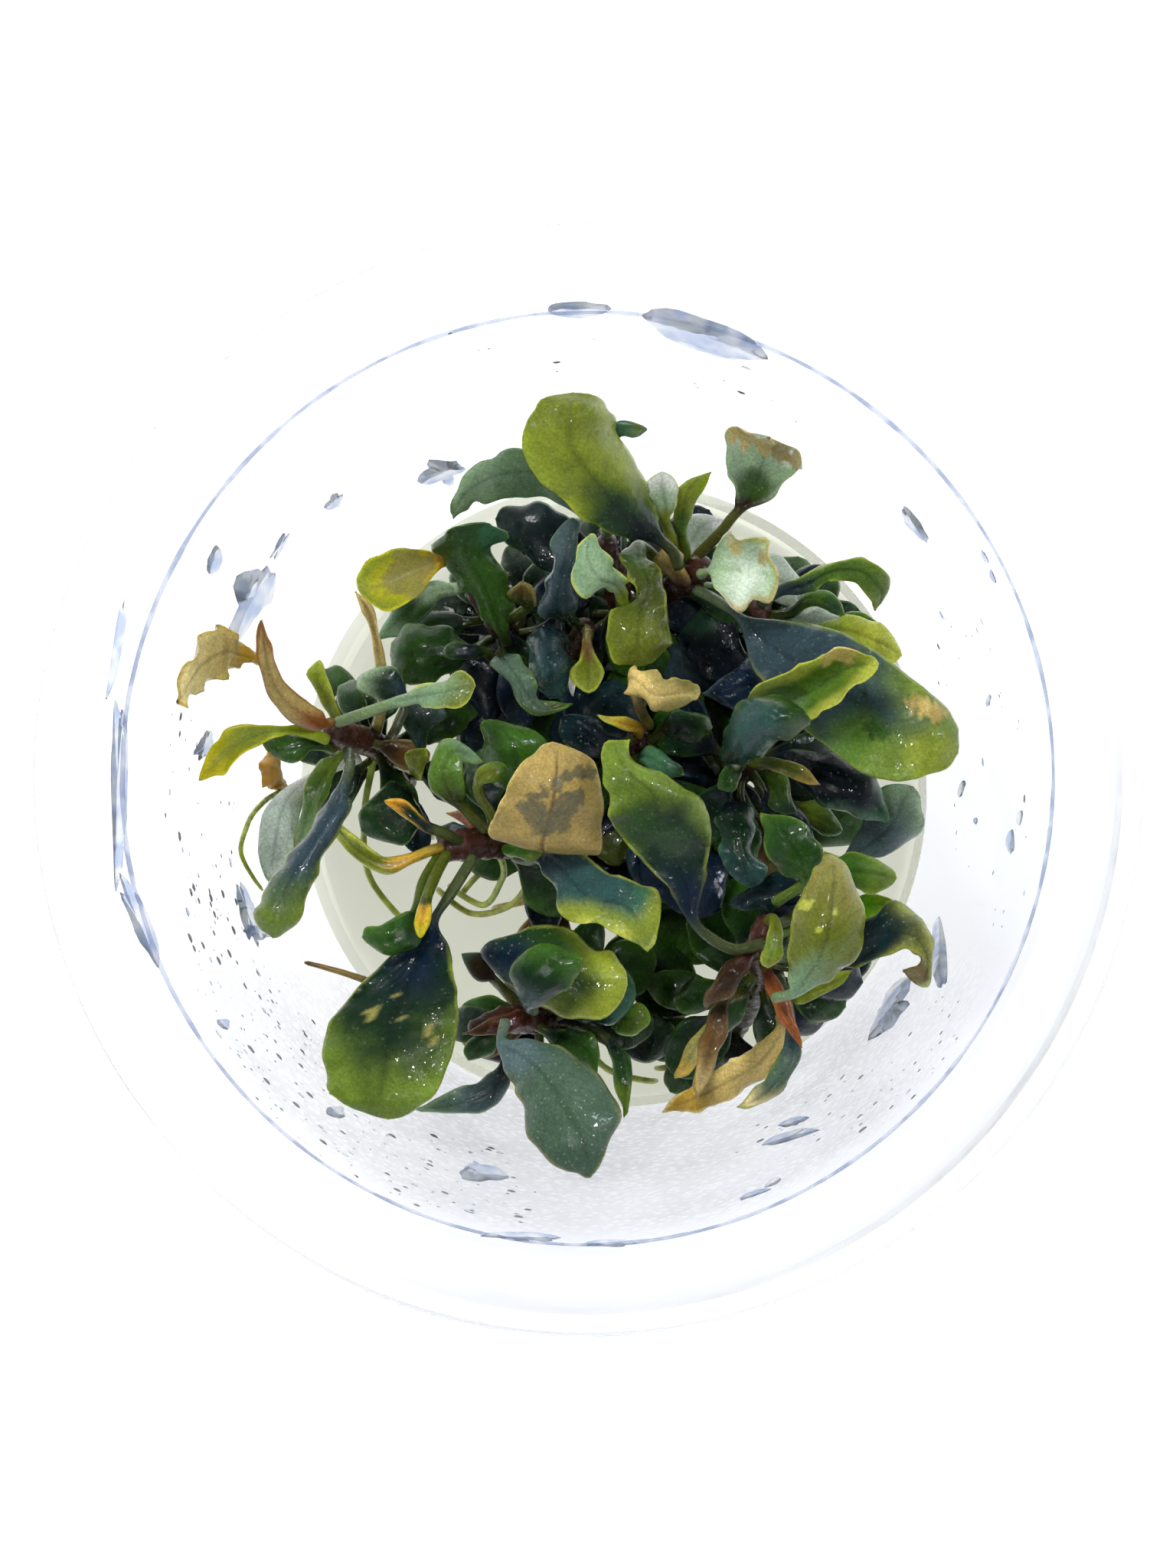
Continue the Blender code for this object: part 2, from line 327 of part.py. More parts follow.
# Leaves, buds, bracts and dead stubs that are one piece with their rhizome
YOUNG = {
    "rhizome_left": {
        "bud_tall": {
            "stalk": [(448, 958, 29.0), (438, 934, 31)],
            "rows": [(412, 905, 433, 902, 34.0, 0, 0.3), (403, 880, 426, 878, 35.5, 0, 0.3)],
            "tip": (417, 862, 36.0), "blunt": 0.7},
        "dark_small": {
            "stalk": [(500, 978, 18.0), (520, 945, 26), (527, 912, 31)],
            "rows": [(497, 916, 512, 873, 33.0, 0, 0.8), (474, 906, 486, 871, 33.5, 0, 0.5)],
            "tip": (468, 887, 33.0), "blunt": 0.8},
        "tan_strap": {
            "stalk": [(488, 972, 20.0), (500, 905, 27), (497, 868, 31)],
            "rows": [(484, 830, 496, 829, 34.0, 0, 0), (470, 790, 482, 787, 36.0, 0, 0)],
            "tip": (464, 773, 36.6), "blunt": 0.5},
        "green_low": {
            "stalk": [(503, 984, 16.6), (530, 992, 20), (548, 978, 22.5)],
            "rows": [(531, 950, 563, 956, 24.0, 0, 0.5), (525, 922, 583, 930, 25.0, 0, 0.5)],
            "tip": (552, 902, 25.5), "blunt": 0.7},
        "under_left": {
            "stalk": [(470, 968, 23.6), (440, 990, 24)],
            "rows": [(432, 1030, 412, 1000, 26.0, 0, 0.5), (418, 1060, 396, 1040, 27.0, 0, 0.5)],
            "tip": (385, 1120, 27.0), "blunt": 0.4},
        "dark_low": {
            "stalk": [(520, 1008, 12.6), (532, 1035, 20)],
            "rows": [(548, 1082, 508, 1022, 24.0, 0, 0.8), (520, 1105, 480, 1050, 25.0, 0, 0.8)],
            "tip": (473, 1085, 24.5), "blunt": 0.9},
        "small_curl": {
            "stalk": [(512, 995, 13.6), (545, 1008, 24)],
            "rows": [(532, 1000, 552, 1012, 27.0, 0, 0.4), (535, 980, 558, 990, 28.0, 0, 0.4)],
            "tip": (556, 978, 28.0), "blunt": 0.6},
    },
    "rhizome_left_centre": {
        "long_bud": {
            "stalk": [(590, 1104, 31.4), (560, 1112, 33), (535, 1122, 34)],
            "rows": [(505, 1143, 500, 1118, 35.5, 0, 0), (460, 1120, 478, 1102, 37.0, 0, 0)],
            "tip": (427, 1066, 38.5), "blunt": 0.2, "thickness": 1.5, "stalk_thickness": 1.8},
        "orange_tip_bud": {
            "stalk": [(602, 1100, 32.0), (580, 1088, 34.5), (558, 1080, 36)],
            "rows": [(540, 1076, 550, 1064, 37.5, 0, 0), (512, 1056, 522, 1043, 39.0, 0, 0)],
            "tip": (503, 1046, 39.6), "blunt": 0.8, "thickness": 0.9},
        "yellow_bud": {
            "stalk": [(585, 1112, 32.2), (566, 1150, 37), (556, 1178, 40)],
            "rows": [(564, 1196, 543, 1194, 41.5, 0, 0), (558, 1214, 541, 1213, 42.0, 0, 0)],
            "tip": (549, 1225, 42.0), "blunt": 0.8, "thickness": 1.5},
        "rolled_small": {
            "stalk": [(576, 1114, 32.0), (552, 1155, 35.5), (545, 1185, 38.0)],
            "rows": [(541, 1240, 528, 1194, 40.2, 0, 0.8), (508, 1248, 498, 1207, 41.0, 0, 0.8)],
            "tip": (474, 1224, 40.6), "blunt": 1.0},
        "small_right": {
            "stalk": [(648, 1094, 28.2), (640, 1060, 33), (624, 1028, 36)],
            "rows": [(630, 999, 640, 1020, 37.5, 0, 0.4), (650, 993, 656, 1018, 37.5, 0, 0.3)],
            "tip": (663, 1005, 37.2), "blunt": 0.9},
        "half_round": {
            "stalk": [(662, 1103, 26.2), (663, 1110, 29.6)],
            "rows": [(680, 1100, 674, 1122, 31.4, 0, 0.4), (698, 1100, 696, 1124, 32.0, 0, 0.3)],
            "tip": (711, 1110, 32.0), "blunt": 0.9},
        "bract": {
            "stalk": [(626, 1098, 29.6), (622, 1086, 29.8)],
            "rows": [(612, 1082, 616, 1060, 30.2, 0, 0.3)],
            "tip": (583, 1062, 30.6), "blunt": 0},
    },
    "rhizome_lower_left": {
        "dark_narrow": {
            "stalk": [(748, 1338, 16.0), (775, 1345, 25), (797, 1362, 28)],
            "rows": [(822, 1382, 799, 1388, 29.5, 0, 0.5), (828, 1410, 806, 1420, 30.5, 0, 0.5)],
            "tip": (815, 1460, 31.0), "blunt": 0.2},
        "teal_under": {
            "stalk": [(712, 1334, 22.4), (742, 1322, 24.5)],
            "rows": [(775, 1275, 772, 1338, 25.5, 0, 0.8), (815, 1262, 806, 1334, 26.0, 0, 0.8)],
            "tip": (830, 1300, 25.6), "blunt": 1.0},
        "green_small_right": {
            "stalk": [(733, 1337, 18.0), (742, 1355, 23)],
            "rows": [(748, 1343, 728, 1368, 25.5, 0, 0.5), (775, 1352, 762, 1392, 27.0, 0, 0.5)],
            "tip": (780, 1400, 27.0), "blunt": 0.5},
        "green_small_left": {
            "stalk": [(655, 1336, 28.0), (645, 1350, 28.5)],
            "rows": [(650, 1362, 622, 1350, 28.5, 0, 0.4), (640, 1380, 610, 1365, 28.0, 0, 0.4)],
            "tip": (612, 1384, 27.6), "blunt": 0.6},
        "round_bright": {
            "stalk": [(765, 1343, 12.0), (800, 1335, 20)],
            "rows": [(815, 1313, 810, 1347, 24.0, 0, 0.6), (840, 1313, 838, 1348, 25.0, 0, 0.6)],
            "tip": (849, 1331, 25.0), "blunt": 0.9},
        "upper_shoot": {
            "stalk": [(690, 1330, 25.6), (665, 1300, 26), (640, 1275, 26.5)],
            "rows": [(622, 1282, 640, 1250, 27.0, 0, 0.4)],
            "tip": (603, 1246, 27.4), "blunt": 0.3, "thickness": 1.6, "stalk_thickness": 1.8},
        "bract": {
            "stalk": [(702, 1331, 24.6), (690, 1330, 27)],
            "rows": [(672, 1348, 668, 1322, 31.0, 0, 0.5), (640, 1352, 640, 1332, 31.6, 0, 0.4)],
            "tip": (605, 1350, 31.0), "blunt": 0.2},
    },
    "rhizome_top": {
        "round_pale": {
            "stalk": [(890, 755, 26.0), (876, 700, 31), (868, 674, 34)],
            "rows": [(852, 656, 886, 653, 35.5, 0, 0.6), (844, 635, 886, 634, 36.4, 0, 0.6)],
            "tip": (865, 617, 36.6), "blunt": 1.0},
        "olive_point": {
            "stalk": [(897, 752, 27.2), (895, 715, 29.5), (890, 690, 31)],
            "rows": [(878, 668, 907, 664, 32.5, 0, 0.5), (888, 632, 918, 638, 34.5, 0, 0.5)],
            "tip": (928, 617, 35.6), "blunt": 0.4},
        "sheath": {
            "stalk": [(892, 757, 27.4), (884, 768, 29.4)],
            "rows": [(857, 755, 898, 762, 30.0, 0, 0.6), (858, 722, 910, 740, 30.6, 0, 0.5)],
            "tip": (880, 706, 30.4), "blunt": 0.7},
        "pale_top": {
            "stalk": [(880, 762, 24.4), (895, 725, 22)],
            "rows": [(893, 700, 915, 712, 22.0, 0, 0.4), (903, 672, 938, 700, 22.5, 0, 0.6)],
            "tip": (946, 680, 22.5), "blunt": 0.7},
        "pale_right": {
            "stalk": [(895, 757, 26.4), (950, 762, 22)],
            "rows": [(988, 722, 975, 772, 21.5, 0, 0.5), (1028, 735, 1010, 785, 22, 0, 0.8),
                     (1052, 762, 1038, 796, 22.5, 0, 0.5)],
            "tip": (1062, 792, 22.0), "blunt": 0.7},
        "deep_right": {
            "stalk": [(865, 772, 22.0), (884, 800, 20)],
            "rows": [(935, 788, 890, 842, 21.0, 0, 0.8), (968, 832, 925, 885, 21.5, 0, 0.8)],
            "tip": (972, 878, 21.0), "blunt": 1.0},
    },
    "rhizome_lower_right": {
        "yellow_small": {
            "stalk": [(1002, 1205, 30.6), (1009, 1200, 34), (1012, 1206, 35.5)],
            "rows": [(1023, 1232, 1000, 1230, 36.5, 0, 0.4), (1020, 1252, 992, 1250, 36.8, 0, 0.4)],
            "tip": (1003, 1263, 36.4), "blunt": 0.8},
        "purple_sheath": {
            "stalk": [(994, 1248, 28.6), (980, 1250, 32)],
            "rows": [(972, 1272, 948, 1262, 34.0, 0, 0.8), (948, 1302, 922, 1296, 34.0, 0, 0.6)],
            "tip": (922, 1318, 33.0), "blunt": 0.2, "thickness": 1.2},
        "brown_sheath": {
            "stalk": [(990, 1285, 20.0), (965, 1300, 27), (945, 1312, 31)],
            "rows": [(950, 1340, 922, 1334, 32.0, 0, 0.6), (936, 1385, 912, 1380, 32.6, 0, 0.5),
                     (920, 1420, 907, 1416, 32.6, 0, 0.3)],
            "tip": (911, 1432, 32.4), "blunt": 0.3, "thickness": 0.9},
        "red_sheath": {
            "stalk": [(996, 1256, 26.4), (1003, 1272, 31)],
            "rows": [(1022, 1290, 1004, 1300, 32.4, 0, 0.5), (1040, 1335, 1020, 1330, 33.0, 0, 0.5)],
            "tip": (1047, 1368, 33.0), "blunt": 0.2, "thickness": 1.2},
        "yellow_sheath": {
            "stalk": [(980, 1308, 15.8), (935, 1335, 23)],
            "rows": [(922, 1360, 908, 1352, 25.0, 0, 0.3), (903, 1398, 885, 1388, 26.0, 0, 0.3)],
            "tip": (882, 1408, 26.0), "blunt": 0.6},
        "dark_wet": {
            "stalk": [(1002, 1210, 30.0), (1036, 1197, 28.6), (1047, 1180, 28.0)],
            "rows": [(1020, 1188, 1044, 1150, 27.5, 0, 0.8), (978, 1186, 992, 1148, 27.0, 0, 0.8)],
            "tip": (953, 1180, 26.4), "blunt": 0.4},
        "bright_low": {
            "stalk": [(1000, 1225, 29.8), (1060, 1205, 27), (1105, 1192, 26.5)],
            "rows": [(1130, 1165, 1134, 1198, 27.5, 0, 0.4)],
            "tip": (1172, 1182, 28.0), "blunt": 0.3},
        "green_back": {
            "stalk": [(991, 1281, 21.4), (1035, 1297, 23.6)],
            "rows": [(1060, 1285, 1040, 1312, 26.0, 0, 0.4), (1095, 1270, 1075, 1300, 27.0, 0, 0.4)],
            "tip": (1112, 1268, 27.4), "blunt": 0.3},
    },
    "rhizome_right": {
        "brown_bud": {
            "stalk": [(976, 980, 28.4), (985, 996, 33), (998, 996, 35)],
            "rows": [(1020, 990, 1018, 1008, 35.8, 0, 0.2), (1050, 1002, 1042, 1021, 36.0, 0, 0.2)],
            "tip": (1071, 1025, 36.0), "blunt": 0.2, "thickness": 1.0},
        "small_curl": {
            "stalk": [(972, 995, 23.6), (966, 1000, 29), (962, 1004, 32)],
            "rows": [(968, 1018, 946, 1004, 32.6, 0, 0.3), (958, 1034, 937, 1018, 32.2, 0, 0.3)],
            "tip": (940, 1030, 32.0), "blunt": 0.9},
        "green_middle": {
            "stalk": [(962, 1010, 19.0), (985, 1015, 21)],
            "rows": [(1024, 1012, 995, 1045, 23.0, 0, 0.6), (1035, 1040, 1012, 1058, 23.6, 0, 0.4)],
            "tip": (1040, 1062, 23.4), "blunt": 0.6},
        "small_light": {
            "stalk": [(948, 1028, 14.8), (1000, 1060, 17)],
            "rows": [(1060, 1045, 1045, 1075, 19.0, 0, 0.5), (1085, 1055, 1075, 1090, 20.0, 0, 0.4)],
            "tip": (1100, 1085, 20.0), "blunt": 0.7},
    },
    "rhizome_upper_left": {
        "small_curl": {
            "stalk": [(673, 843, 17.8), (652, 864, 23), (626, 850, 29)],
            "rows": [(606, 862, 604, 841, 31.0, 0, 0.4), (588, 864, 584, 842, 31.4, 0, 0.4)],
            "tip": (580, 853, 31.0), "blunt": 0.8},
        "shade_left": {
            "stalk": [(615, 762, 25.4), (598, 768, 23)],
            "rows": [(578, 784, 560, 762, 23.5, 0, 0.5), (545, 815, 514, 790, 23.5, 0, 0.5)],
            "tip": (498, 834, 22.0), "blunt": 0.6},
        "cupped_bract": {
            "stalk": [(655, 818, 21.6), (680, 800, 25), (690, 790, 27)],
            "rows": [(664, 783, 702, 785, 29.0, 0, -0.6)],
            "tip": (682, 760, 30.5), "blunt": 0.9},
        "deep": {
            "stalk": [(690, 866, 13.8), (672, 880, 17)],
            "rows": [(640, 945, 652, 850, 19.0, 0, 0.8), (612, 915, 614, 842, 19.0, 0, 0.8)],
            "tip": (587, 875, 18.0), "blunt": 1.0},
    },
    "rhizome_back": {
        "top_small": {
            "stalk": [(793, 716, 29.2), (792, 640, 33), (796, 580, 36)],
            "rows": [(808, 552, 812, 571, 37.0, 0, 0.2), (830, 550, 832, 570, 37.4, 0, 0.2)],
            "tip": (845, 561, 37.4), "blunt": 0.5},
        "deep_top": {
            "stalk": [(799, 742, 27.6), (770, 716, 26)],
            "rows": [(728, 748, 735, 672, 26.0, 0, 0.8), (680, 722, 690, 656, 26.0, 0, 0.8)],
            "tip": (648, 678, 25.0), "blunt": 1.0},
        "deep_low": {
            "stalk": [(806, 835, 13.2), (835, 842, 16)],
            "rows": [(885, 830, 862, 885, 18.0, 0, 0.8), (925, 858, 900, 905, 18.5, 0, 0.6)],
            "tip": (950, 905, 18.5), "blunt": 0.8},
    },
    "rhizome_centre": {
        "yellow_hollow": {
            "stalk": [(763, 820, 25.0), (768, 828, 30), (767, 845, 33)],
            "rows": [(781, 860, 756, 862, 34.5, 0, -0.6), (789, 884, 747, 882, 35.5, 0, -0.8)],
            "tip": (768, 905, 35.5), "blunt": 1.0},
        "deep": {
            "stalk": [(744, 870, 18.0), (762, 896, 20)],
            "rows": [(806, 888, 762, 950, 22.5, 0, 0.8), (838, 918, 800, 972, 22.5, 0, 0.8)],
            "tip": (838, 962, 21.5), "blunt": 1.0},
        "root_tip_bud": {
            "stalk": [(748, 860, 19.6), (742, 880, 24)],
            "rows": [(752, 893, 742, 888, 28.0, 0, 0)],
            "tip": (748, 908, 29.0), "blunt": 0.6, "thickness": 1.0},
    },
    "rhizome_middle": {
        "round_dark": {
            "stalk": [(836, 975, 23.4), (857, 963, 26), (868, 950, 29.5)],
            "rows": [(884, 929, 885, 971, 31.0, 0, 1.0), (915, 932, 915, 969, 31.0, 0, 1.0)],
            "tip": (929, 950, 30.4), "blunt": 1.0},
        "oval_dark": {
            "stalk": [(839, 995, 20.4), (832, 992, 26), (838, 990, 28)],
            "rows": [(852, 976, 846, 1003, 30.0, 0, 0.8), (874, 985, 868, 1015, 30.6, 0, 0.8)],
            "tip": (893, 1011, 30.4), "blunt": 0.6},
        "amber_bract": {
            "stalk": [(834, 962, 25.0), (832, 950, 28.6)],
            "rows": [(808, 952, 812, 936, 31.4, 0, 0.3)],
            "tip": (780, 934, 32.4), "blunt": 0.5},
        "deep": {
            "stalk": [(856, 1055, 12.4), (866, 1085, 16)],
            "rows": [(940, 1115, 832, 1125, 20.0, 0, 0.8), (948, 1165, 858, 1172, 21.5, 0, 0.8)],
            "tip": (915, 1200, 21.5), "blunt": 0.9},
        "deep_right": {
            "stalk": [(845, 1025, 16.4), (875, 1020, 18)],
            "rows": [(900, 978, 890, 1030, 19.0, 0, 0.8), (920, 985, 914, 1030, 19.0, 0, 0.6)],
            "tip": (932, 1012, 18.6), "blunt": 0.7},
    },
    "rhizome_upper_right": {
        "green_small": {
            "stalk": [(998, 805, 23.4), (1035, 800, 26)],
            "rows": [(1066, 770, 1062, 792, 28.0, 0, 0.4), (1088, 778, 1080, 800, 29.0, 0, 0.4)],
            "tip": (1103, 803, 29.0), "blunt": 0.6},
        "green_tiny": {
            "stalk": [(1010, 830, 19.0), (1080, 815, 23.5)],
            "rows": [(1128, 801, 1122, 815, 25.5, 0, 0.3)],
            "tip": (1160, 824, 26.5), "blunt": 0.5},
        "navy_strip": {
            "stalk": [(1000, 810, 22.6), (1012, 806, 22)],
            "rows": [(1045, 789, 1030, 826, 23.5, 0, 0.5), (1084, 798, 1068, 832, 24.5, 0, 0.5)],
            "tip": (1106, 818, 25.0), "blunt": 0.5},
    },
}

# Roots, each from a rhizome down to the gel, points of (pixel x, pixel y, height)
ROOTS = {
    "rhizome_left": [[(518, 1002, 12), (540, 1060, 12), (560, 1090, 8)],
                     [(490, 980, 18.5), (475, 1078, 14), (485, 1150, 10), (520, 1195, 8)]],
    "rhizome_left_centre": [[(668, 1102, 25), (690, 1150, 17), (662, 1185, 12), (612, 1192, 9), (575, 1165, 8)],
                            [(648, 1102, 27), (655, 1150, 16), (630, 1182, 11), (590, 1160, 8)],
                            [(700, 1108, 20), (705, 1170, 12), (650, 1185, 8)],
                            [(735, 1118, 14), (640, 1130, 11), (605, 1165, 8)],
                            [(755, 1130, 11), (700, 1230, 8)]],
    "rhizome_lower_left": [[(750, 1340, 15), (720, 1400, 10), (660, 1400, 8)],
                           [(742, 1336, 16), (800, 1400, 11), (850, 1412, 8)]],
    "rhizome_lower_right": [[(975, 1318, 13), (930, 1380, 10), (865, 1395, 8)],
                            [(965, 1333, 11), (900, 1345, 8)],
                            [(990, 1290, 19), (940, 1240, 12), (890, 1225, 8)]],
    "rhizome_right": [[(935, 1040, 12), (1000, 1090, 10), (1090, 1120, 8)]],
    "rhizome_upper_left": [[(690, 865, 13), (640, 900, 10), (570, 935, 8)]],
}


def unit(vector):
    return vector / np.linalg.norm(vector)


def spot(px, py, height):
    """The place at this height, in millimetres, that the view shows at this pixel."""
    ahead = unit(VIEW_AIM - VIEW_POINT)
    right = unit(np.cross(ahead, (0.0, 1.0, 0.0)))
    up = np.cross(right, ahead)
    ray = ahead * VIEW_FOCAL + right * (px - VIEW_MIDDLE[0]) - up * (py - VIEW_MIDDLE[1])
    return VIEW_POINT + ray * (height - VIEW_POINT[2]) / ray[2]


def smooth_curve(points, knots, places, end_slope=None):
    """A cubic through the points, which sit at the knots, read at the places."""
    points = np.array(points)
    knots = np.array(knots)
    steps = np.diff(knots)[:, None]
    chords = np.diff(points, axis=0) / steps
    slopes = np.empty_like(points)
    slopes[0] = chords[0]
    slopes[-1] = chords[-1] if end_slope is None else end_slope
    slopes[1:-1] = (chords[:-1] * steps[1:] + chords[1:] * steps[:-1]) / (steps[1:] + steps[:-1])
    spans = np.clip(np.searchsorted(knots, places, side="right") - 1, 0, len(knots) - 2)
    width = steps[spans]
    t = (np.array(places)[:, None] - knots[spans][:, None]) / width
    return (points[spans] * (1 + 2 * t) * (1 - t) ** 2 + slopes[spans] * width * t * (1 - t) ** 2
            + points[spans + 1] * t ** 2 * (3 - 2 * t) + slopes[spans + 1] * width * t ** 2 * (t - 1))


def leaf_stations(leaf):
    """The left margin, midrib and right margin points of a leaf, from its foot to its tip."""
    stalk = [spot(*point) for point in leaf["stalk"]]
    left, middle, right = [], [], []
    for lx, ly, rx, ry, height, lift, sag in leaf["rows"]:
        left.append(spot(lx, ly, height + lift / 2))
        right.append(spot(rx, ry, height - lift / 2))
        middle.append((left[-1] + right[-1]) / 2 + np.array([0.0, 0.0, sag]))
    line = stalk + middle
    side = right[0] - left[0]
    for i in reversed(range(len(stalk))):
        along = unit(line[i + 1] - line[max(i - 1, 0)])
        side = unit(side - along * side.dot(along)) * STALK_WIDTH / 2
        left.insert(0, stalk[i] - side)
        right.insert(0, stalk[i] + side)
    tip = spot(*leaf["tip"])
    return left + [tip], line + [tip], right + [tip]


def leaf_surface(leaf, steps, columns):
    """Rows of points across a leaf's middle surface, and its thickness at each row."""
    left, middle, right = leaf_stations(leaf)
    knots = np.concatenate([[0.0], np.cumsum(np.linalg.norm(np.diff(middle, axis=0), axis=1))])
    places = list(knots[:len(leaf["stalk"]) - 1])
    for start, end in zip(knots[len(leaf["stalk"]) - 1:-2], knots[len(leaf["stalk"]):-1]):
        places += [start + (end - start) * k / steps for k in range(steps)]
    tip_steps = max(steps, 2)
    tip_span = knots[-1] - knots[-2]
    places += [knots[-2] + tip_span * np.sin(np.pi / 2 * k / tip_steps) for k in range(tip_steps + 1)]
    bend = leaf["blunt"] * (right[-2] - left[-2]) / tip_span
    middle_line = smooth_curve(middle, knots, places)
    left_line = smooth_curve(left, knots, places, bend if leaf["blunt"] else None)
    right_line = smooth_curve(right, knots, places, -bend if leaf["blunt"] else None)
    side = unit(right_line[-2] - left_line[-2]) * TIP_WIDTH / 2
    left_line[-1] = middle_line[-1] - side
    right_line[-1] = middle_line[-1] + side
    across = np.linspace(-1.0, 1.0, columns + 1)[None, :, None]
    grid = (middle_line[:, None] * (1 - across ** 2) + left_line[:, None] * (across ** 2 - across) / 2
            + right_line[:, None] * (across ** 2 + across) / 2)
    stalk_end = knots[len(leaf["stalk"]) - 1]
    blade_start = knots[len(leaf["stalk"])]
    thickness = np.interp(places, [stalk_end, blade_start, knots[-1]],
                          [leaf.get("stalk_thickness", STALK_THICKNESS), leaf.get("thickness", BLADE_THICKNESS),
                           TIP_THICKNESS])
    return grid, thickness, np.array(places) / knots[-1]


def leaf_shell(leaf, steps, columns):
    """The points and faces of a leaf as one closed skin, lens-shaped across and blunt at its foot."""
    grid, thickness, _ = leaf_surface(leaf, steps, columns)
    along = np.gradient(grid, axis=0)
    across = np.gradient(grid, axis=1)
    normals = np.cross(across, along)
    normals /= np.linalg.norm(normals, axis=2)[:, :, None]
    v = np.linspace(-1.0, 1.0, columns + 1)
    lift = np.sqrt(1 - v ** 2)[None, :, None] * thickness[:, None, None] / 2 * normals
    upper = grid + lift
    lower = grid - lift
    rings = [list(upper[i]) + list(lower[i][-2:0:-1]) for i in range(len(grid))]
    ring_size = 2 * columns
    points = [point for ring in rings for point in ring]
    faces = []
    for i in range(len(rings) - 1):
        for k in range(ring_size):
            a = i * ring_size + k
            b = i * ring_size + (k + 1) % ring_size
            faces.append((a, b, b + ring_size, a + ring_size))
    faces.append(tuple(range(ring_size - 1, -1, -1)))
    faces.append(tuple(range(len(points) - ring_size, len(points))))
    return points, faces


def new_object(name, mesh, collection):
    item = bpy.data.objects.new(name, mesh)
    collection.objects.link(item)
    return item


def skin_object(name, points, faces, collection):
    """A smooth object from points in millimetres."""
    mesh = bpy.data.meshes.new(name)
    mesh.from_pydata([tuple(float(c) * MM for c in point) for point in points], [], faces)
    mesh.shade_smooth()
    return new_object(name, mesh, collection)


def turned_object(name, profile, steps, collection):
    """An object turned about the jar's axis from (radius, height) points in millimetres."""
    mesh = bpy.data.meshes.new(name)
    points = [(radius * MM, 0.0, height * MM) for radius, height in profile]
    mesh.from_pydata(points, [(i, i + 1) for i in range(len(points) - 1)], [])
    item = new_object(name, mesh, collection)
    screw = item.modifiers.new("Turn", "SCREW")
    screw.steps = screw.render_steps = steps
    screw.use_merge_vertices = True
    screw.merge_threshold = 0.00005
    screw.use_smooth_shade = True
    return item


def tube_object(name, line, radii, steps, resolution, collection):
    """A mesh tube along a smooth line through (pixel x, pixel y, height) points."""
    places = [spot(*point) for point in line]
    knots = np.concatenate([[0.0], np.cumsum(np.linalg.norm(np.diff(places, axis=0), axis=1))])
    reads = np.linspace(0.0, knots[-1], steps + 1)
    curve = bpy.data.curves.new(name, "CURVE")
    curve.dimensions = "3D"
    curve.bevel_depth = MM
    curve.bevel_resolution = resolution
    curve.use_fill_caps = True
    spline = curve.splines.new("POLY")
    spline.points.add(len(reads) - 1)
    middles = smooth_curve(places, knots, reads)
    widths = np.interp(reads, knots, radii)
    for point, middle, width in zip(spline.points, middles, widths):
        point.co = (*(float(c) * MM for c in middle), 1.0)
        point.radius = float(width)
    guide = new_object(name, curve, collection)
    mesh = bpy.data.meshes.new_from_object(guide.evaluated_get(bpy.context.evaluated_depsgraph_get()))
    bpy.data.objects.remove(guide)
    skin = bmesh.new()
    skin.from_mesh(mesh)
    bmesh.ops.remove_doubles(skin, verts=skin.verts, dist=0.00001)
    bmesh.ops.recalc_face_normals(skin, faces=skin.faces)
    skin.to_mesh(mesh)
    skin.free()
    mesh.shade_smooth()
    return new_object(name, mesh, collection)


def fuse(item, growth):
    """Make the item one body with all that grew out of it, which stays in a hidden collection."""
    join = item.modifiers.new("Grow", "BOOLEAN")
    join.operation = "UNION"
    join.solver = "EXACT"
    join.operand_type = "COLLECTION"
    join.collection = growth
    for piece in growth.objects:
        piece.hide_render = True
        piece.display_type = "WIRE"


def give_material(item, colour, roughness=0.35, alpha=1.0):
    material = bpy.data.materials.new(item.name)
    material.use_nodes = True
    shader = material.node_tree.nodes["Principled BSDF"]
    shader.inputs["Base Color"].default_value = (*colour, 1.0)
    shader.inputs["Roughness"].default_value = roughness
    shader.inputs["Metallic"].default_value = 0.0
    shader.inputs["Alpha"].default_value = alpha
    item.data.materials.append(material)


def wall_radius(height):
    """The inside radius of the jar's wall at a height."""
    rise = (height - FLOOR_THICKNESS) / (LEDGE_HEIGHT - FLOOR_THICKNESS)
    return FLOOR_RADIUS + (LEDGE_RADIUS - FLOOR_RADIUS) * rise


def add_jar(collection):
    """The jar: floor, flared wall, the ledge for a lid, the collar above it and the turned-down lip."""
    collar = LEDGE_RADIUS + LEDGE_WIDTH
    lip_top = LEDGE_HEIGHT + COLLAR_HEIGHT
    foot = FLOOR_RADIUS - 1.0
    profile = [
        (0.0, FLOOR_THICKNESS),
        (FLOOR_RADIUS - 1.6, FLOOR_THICKNESS),
        (wall_radius(FLOOR_THICKNESS + 1.6), FLOOR_THICKNESS + 1.6),
        (LEDGE_RADIUS, LEDGE_HEIGHT),
        (collar, LEDGE_HEIGHT + 0.3),
        (collar + 0.4, lip_top - 0.5),
        (collar + 1.0, lip_top),
        (LIP_RADIUS - 0.5, lip_top),
        (LIP_RADIUS, lip_top - 0.6),
        (LIP_RADIUS, lip_top - LIP_DROP),
        (LIP_RADIUS - 0.8, lip_top - LIP_DROP),
        (LIP_RADIUS - 0.8, lip_top - 1.0),
        (collar + 1.4, lip_top - 1.0),
        (collar + JAR_WALL, LEDGE_HEIGHT - 0.6),
        (LEDGE_RADIUS + JAR_WALL, LEDGE_HEIGHT - 0.6),
        (FLOOR_RADIUS + JAR_WALL - 0.2, 1.4),
        (foot, 0.0),
        (0.0, 0.0),
    ]
    jar = turned_object("jar", profile, JAR_STEPS, collection)
    give_material(jar, (0.93, 0.95, 0.96), 0.05, 0.25)


